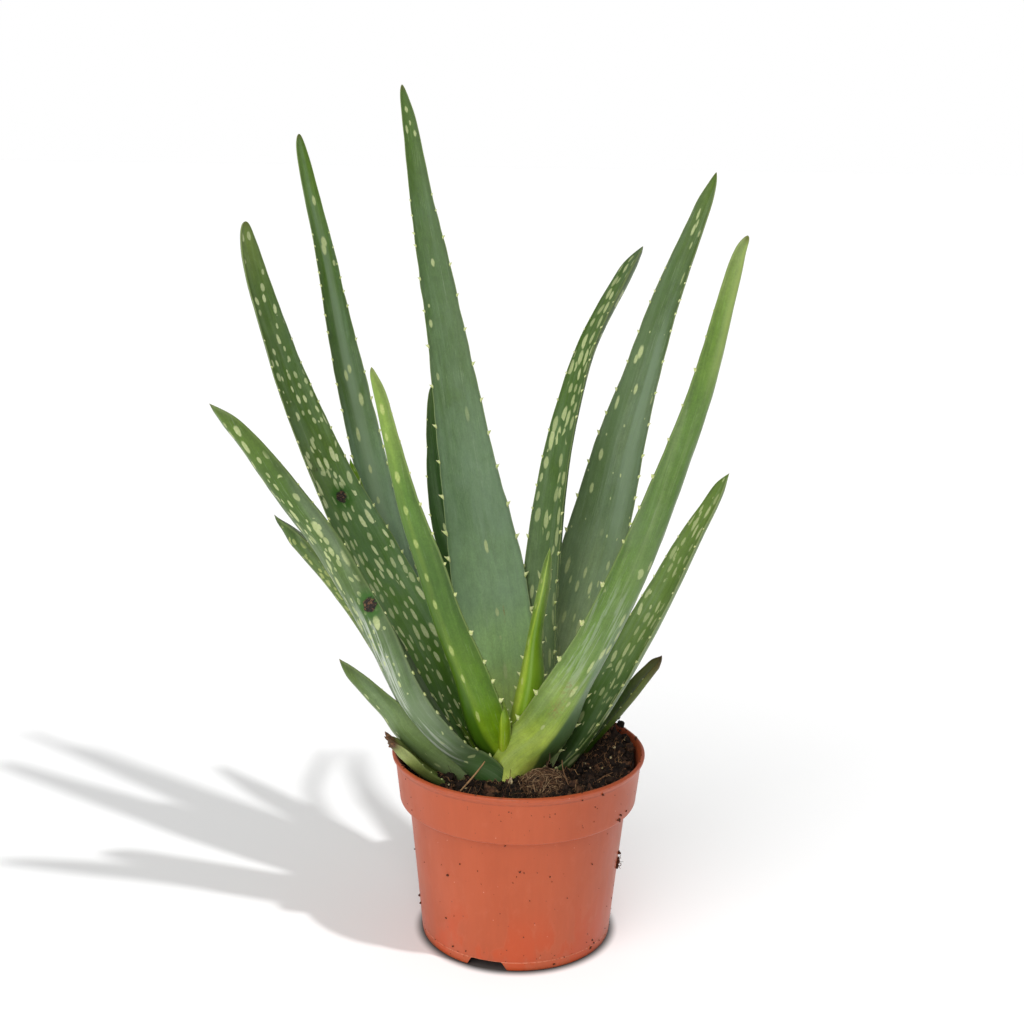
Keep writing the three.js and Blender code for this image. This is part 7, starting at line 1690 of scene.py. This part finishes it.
for _ in range(240):
    a = g.uniform(0, 2 * math.pi)
    z = g.choice([g.uniform(8, 66), g.uniform(70, 88), g.uniform(1, 9)])
    s = g.uniform(0.10, 0.28)
    rr = outer_r(z) + s * 0.1
    v, f = kinds[int(g.integers(len(kinds)))]
    heap.put((v * s) @ turned(g).T + (rr * math.cos(a), rr * math.sin(a), z), f, g.uniform(0.0, 0.9))
for k in range(9):
    a = math.radians(-12.3 + g.normal() * 0.8)
    z = 38.5 + g.normal() * 1.6
    start = np.array([(outer_r(z) + 0.6) * math.cos(a), (outer_r(z) + 0.6) * math.sin(a), z])
    heap.tube(wander(g, start, (math.cos(a), math.sin(a), g.normal() * 0.6), g.uniform(1.5, 3.2), 8, 0.35, 1.0), 0.12, g.uniform(0.3, 1.0))
# crumbs resting on the lip
for _ in range(70):
    a = g.uniform(0, 2 * math.pi)
    s = g.uniform(0.12, 0.5) * (1.0 if g.random() < 0.8 else 1.6)
    rr = g.uniform(57.7, 59.3)
    v, f = kinds[int(g.integers(len(kinds)))]
    heap.put((v * s) @ turned(g).T + (rr * math.cos(a), rr * math.sin(a), POT_H - 0.12 + 0.3 * s - 0.5 * max(0.0, 58.2 - rr)), f, g.uniform(0.1, 0.9))
specks = heap.object("soil_specks_on_pot", [SPECK])
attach(specks, "root")

# ------------------------------------------------------------------ the hidden stem keeps its CAD shape, with a fibrous skin
def stem_skin():
    n = Net("stem_bark")
    mm = n.vec("SCALE", n.geo(), scale=1000.0)
    a = n.noise(n.vec("MULTIPLY", mm, (0.5, 0.5, 0.16)), 1.0, 4.0, 0.6)
    b = n.noise(n.vec("MULTIPLY", mm, (0.25, 0.25, 1.1)), 1.0, 3.0, 0.6)
    z = n.sep(mm)[2]
    col = n.mix(n.step(z, 60.0, 84.0), lin(148, 118, 84), lin(186, 190, 128))
    col = n.mix(n.step(a, 0.4, 0.7, 0.0, 0.6), col, lin(112, 84, 58))
    col = n.mix(n.step(b, 0.5, 0.7, 0.0, 0.4), col, lin(206, 196, 150))
    return n.finish(col, n.step(a, 0.3, 0.7, 0.55, 0.8), n.bump(a, 0.5, 0.0006))


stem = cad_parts["stem"]
stem.data.materials.clear()
stem.data.materials.append(stem_skin())

# ------------------------------------------------------------------ floor, light
def floor_skin():
    n = Net("floor_white")
    mm = n.vec("SCALE", n.geo(), scale=1.0)
    a = n.noise(mm, 1.5, 2.0, 0.5)
    x, y, _ = n.sep(mm)
    r = n.math("SQRT", n.math("ADD", n.math("MULTIPLY", x, x), n.math("MULTIPLY", y, y)))
    col = n.mix(a, (0.93, 0.93, 0.93, 1), (0.95, 0.95, 0.95, 1))
    # a dark disc under the pot's foot that fades out a few millimetres past it: painted contact shadow
    return n.finish(n.mix(n.step(r, 0.0505, 0.0445), col, (0.10, 0.09, 0.085, 1)), 0.85, spec=0.1)


bpy.ops.mesh.primitive_grid_add(x_subdivisions=4, y_subdivisions=4, size=30.0, location=(0, 0, -0.0002))
floor = bpy.context.object
floor.name = "studio_floor"
floor.data.materials.append(floor_skin())

world = bpy.data.worlds.new("studio")
bpy.context.scene.world = world
world.use_nodes = True
wt = world.node_tree
wt.nodes.clear()
wo = wt.nodes.new("ShaderNodeOutputWorld")
bg_light = wt.nodes.new("ShaderNodeBackground")
bg_seen = wt.nodes.new("ShaderNodeBackground")
mixw = wt.nodes.new("ShaderNodeMixShader")
lp = wt.nodes.new("ShaderNodeLightPath")
bg_light.inputs["Color"].default_value = (1, 1, 1, 1)
bg_light.inputs["Strength"].default_value = 0.38
bg_seen.inputs["Color"].default_value = (1, 1, 1, 1)
bg_seen.inputs["Strength"].default_value = 1.0
wt.links.new(lp.outputs["Is Camera Ray"], mixw.inputs[0])
wt.links.new(bg_light.outputs[0], mixw.inputs[1])
wt.links.new(bg_seen.outputs[0], mixw.inputs[2])
wt.links.new(mixw.outputs[0], wo.inputs[0])


def aim(ob, at=(0, 0, 0.15)):
    d = Vector(at) - ob.location
    ob.rotation_euler = d.to_track_quat("-Z", "Y").to_euler()


def distant(name, az, el, strength, angle):
    d = bpy.data.lights.new(name, "SUN")
    d.energy = strength
    d.angle = math.radians(angle)
    ob = bpy.data.objects.new(name, d)
    bpy.context.scene.collection.objects.link(ob)
    a, e = math.radians(az), math.radians(el)
    ob.location = (2 * math.cos(e) * math.cos(a), 2 * math.cos(e) * math.sin(a), 2 * math.sin(e))
    aim(ob, (0, 0, 0))
    return ob


key = distant("key_light", -35.0, 56.5, 1.6, 2.6)
distant("soft_light_front", -115.0, 34.0, 1.95, 60.0)
# the long shadow is the floor's alone: the plant itself is lit by the soft light and the room
lit = bpy.data.collections.new("lit_by_key")
bpy.context.scene.collection.children.link(lit)
lit.objects.link(floor)
key.light_linking.receiver_collection = lit

view = bpy.context.scene.view_settings
view.view_transform = "Standard"
view.look = "None"
view.exposure = 0.0
view.gamma = 1.0

# ------------------------------------------------------------------ done
bpy.context.view_layer.update()
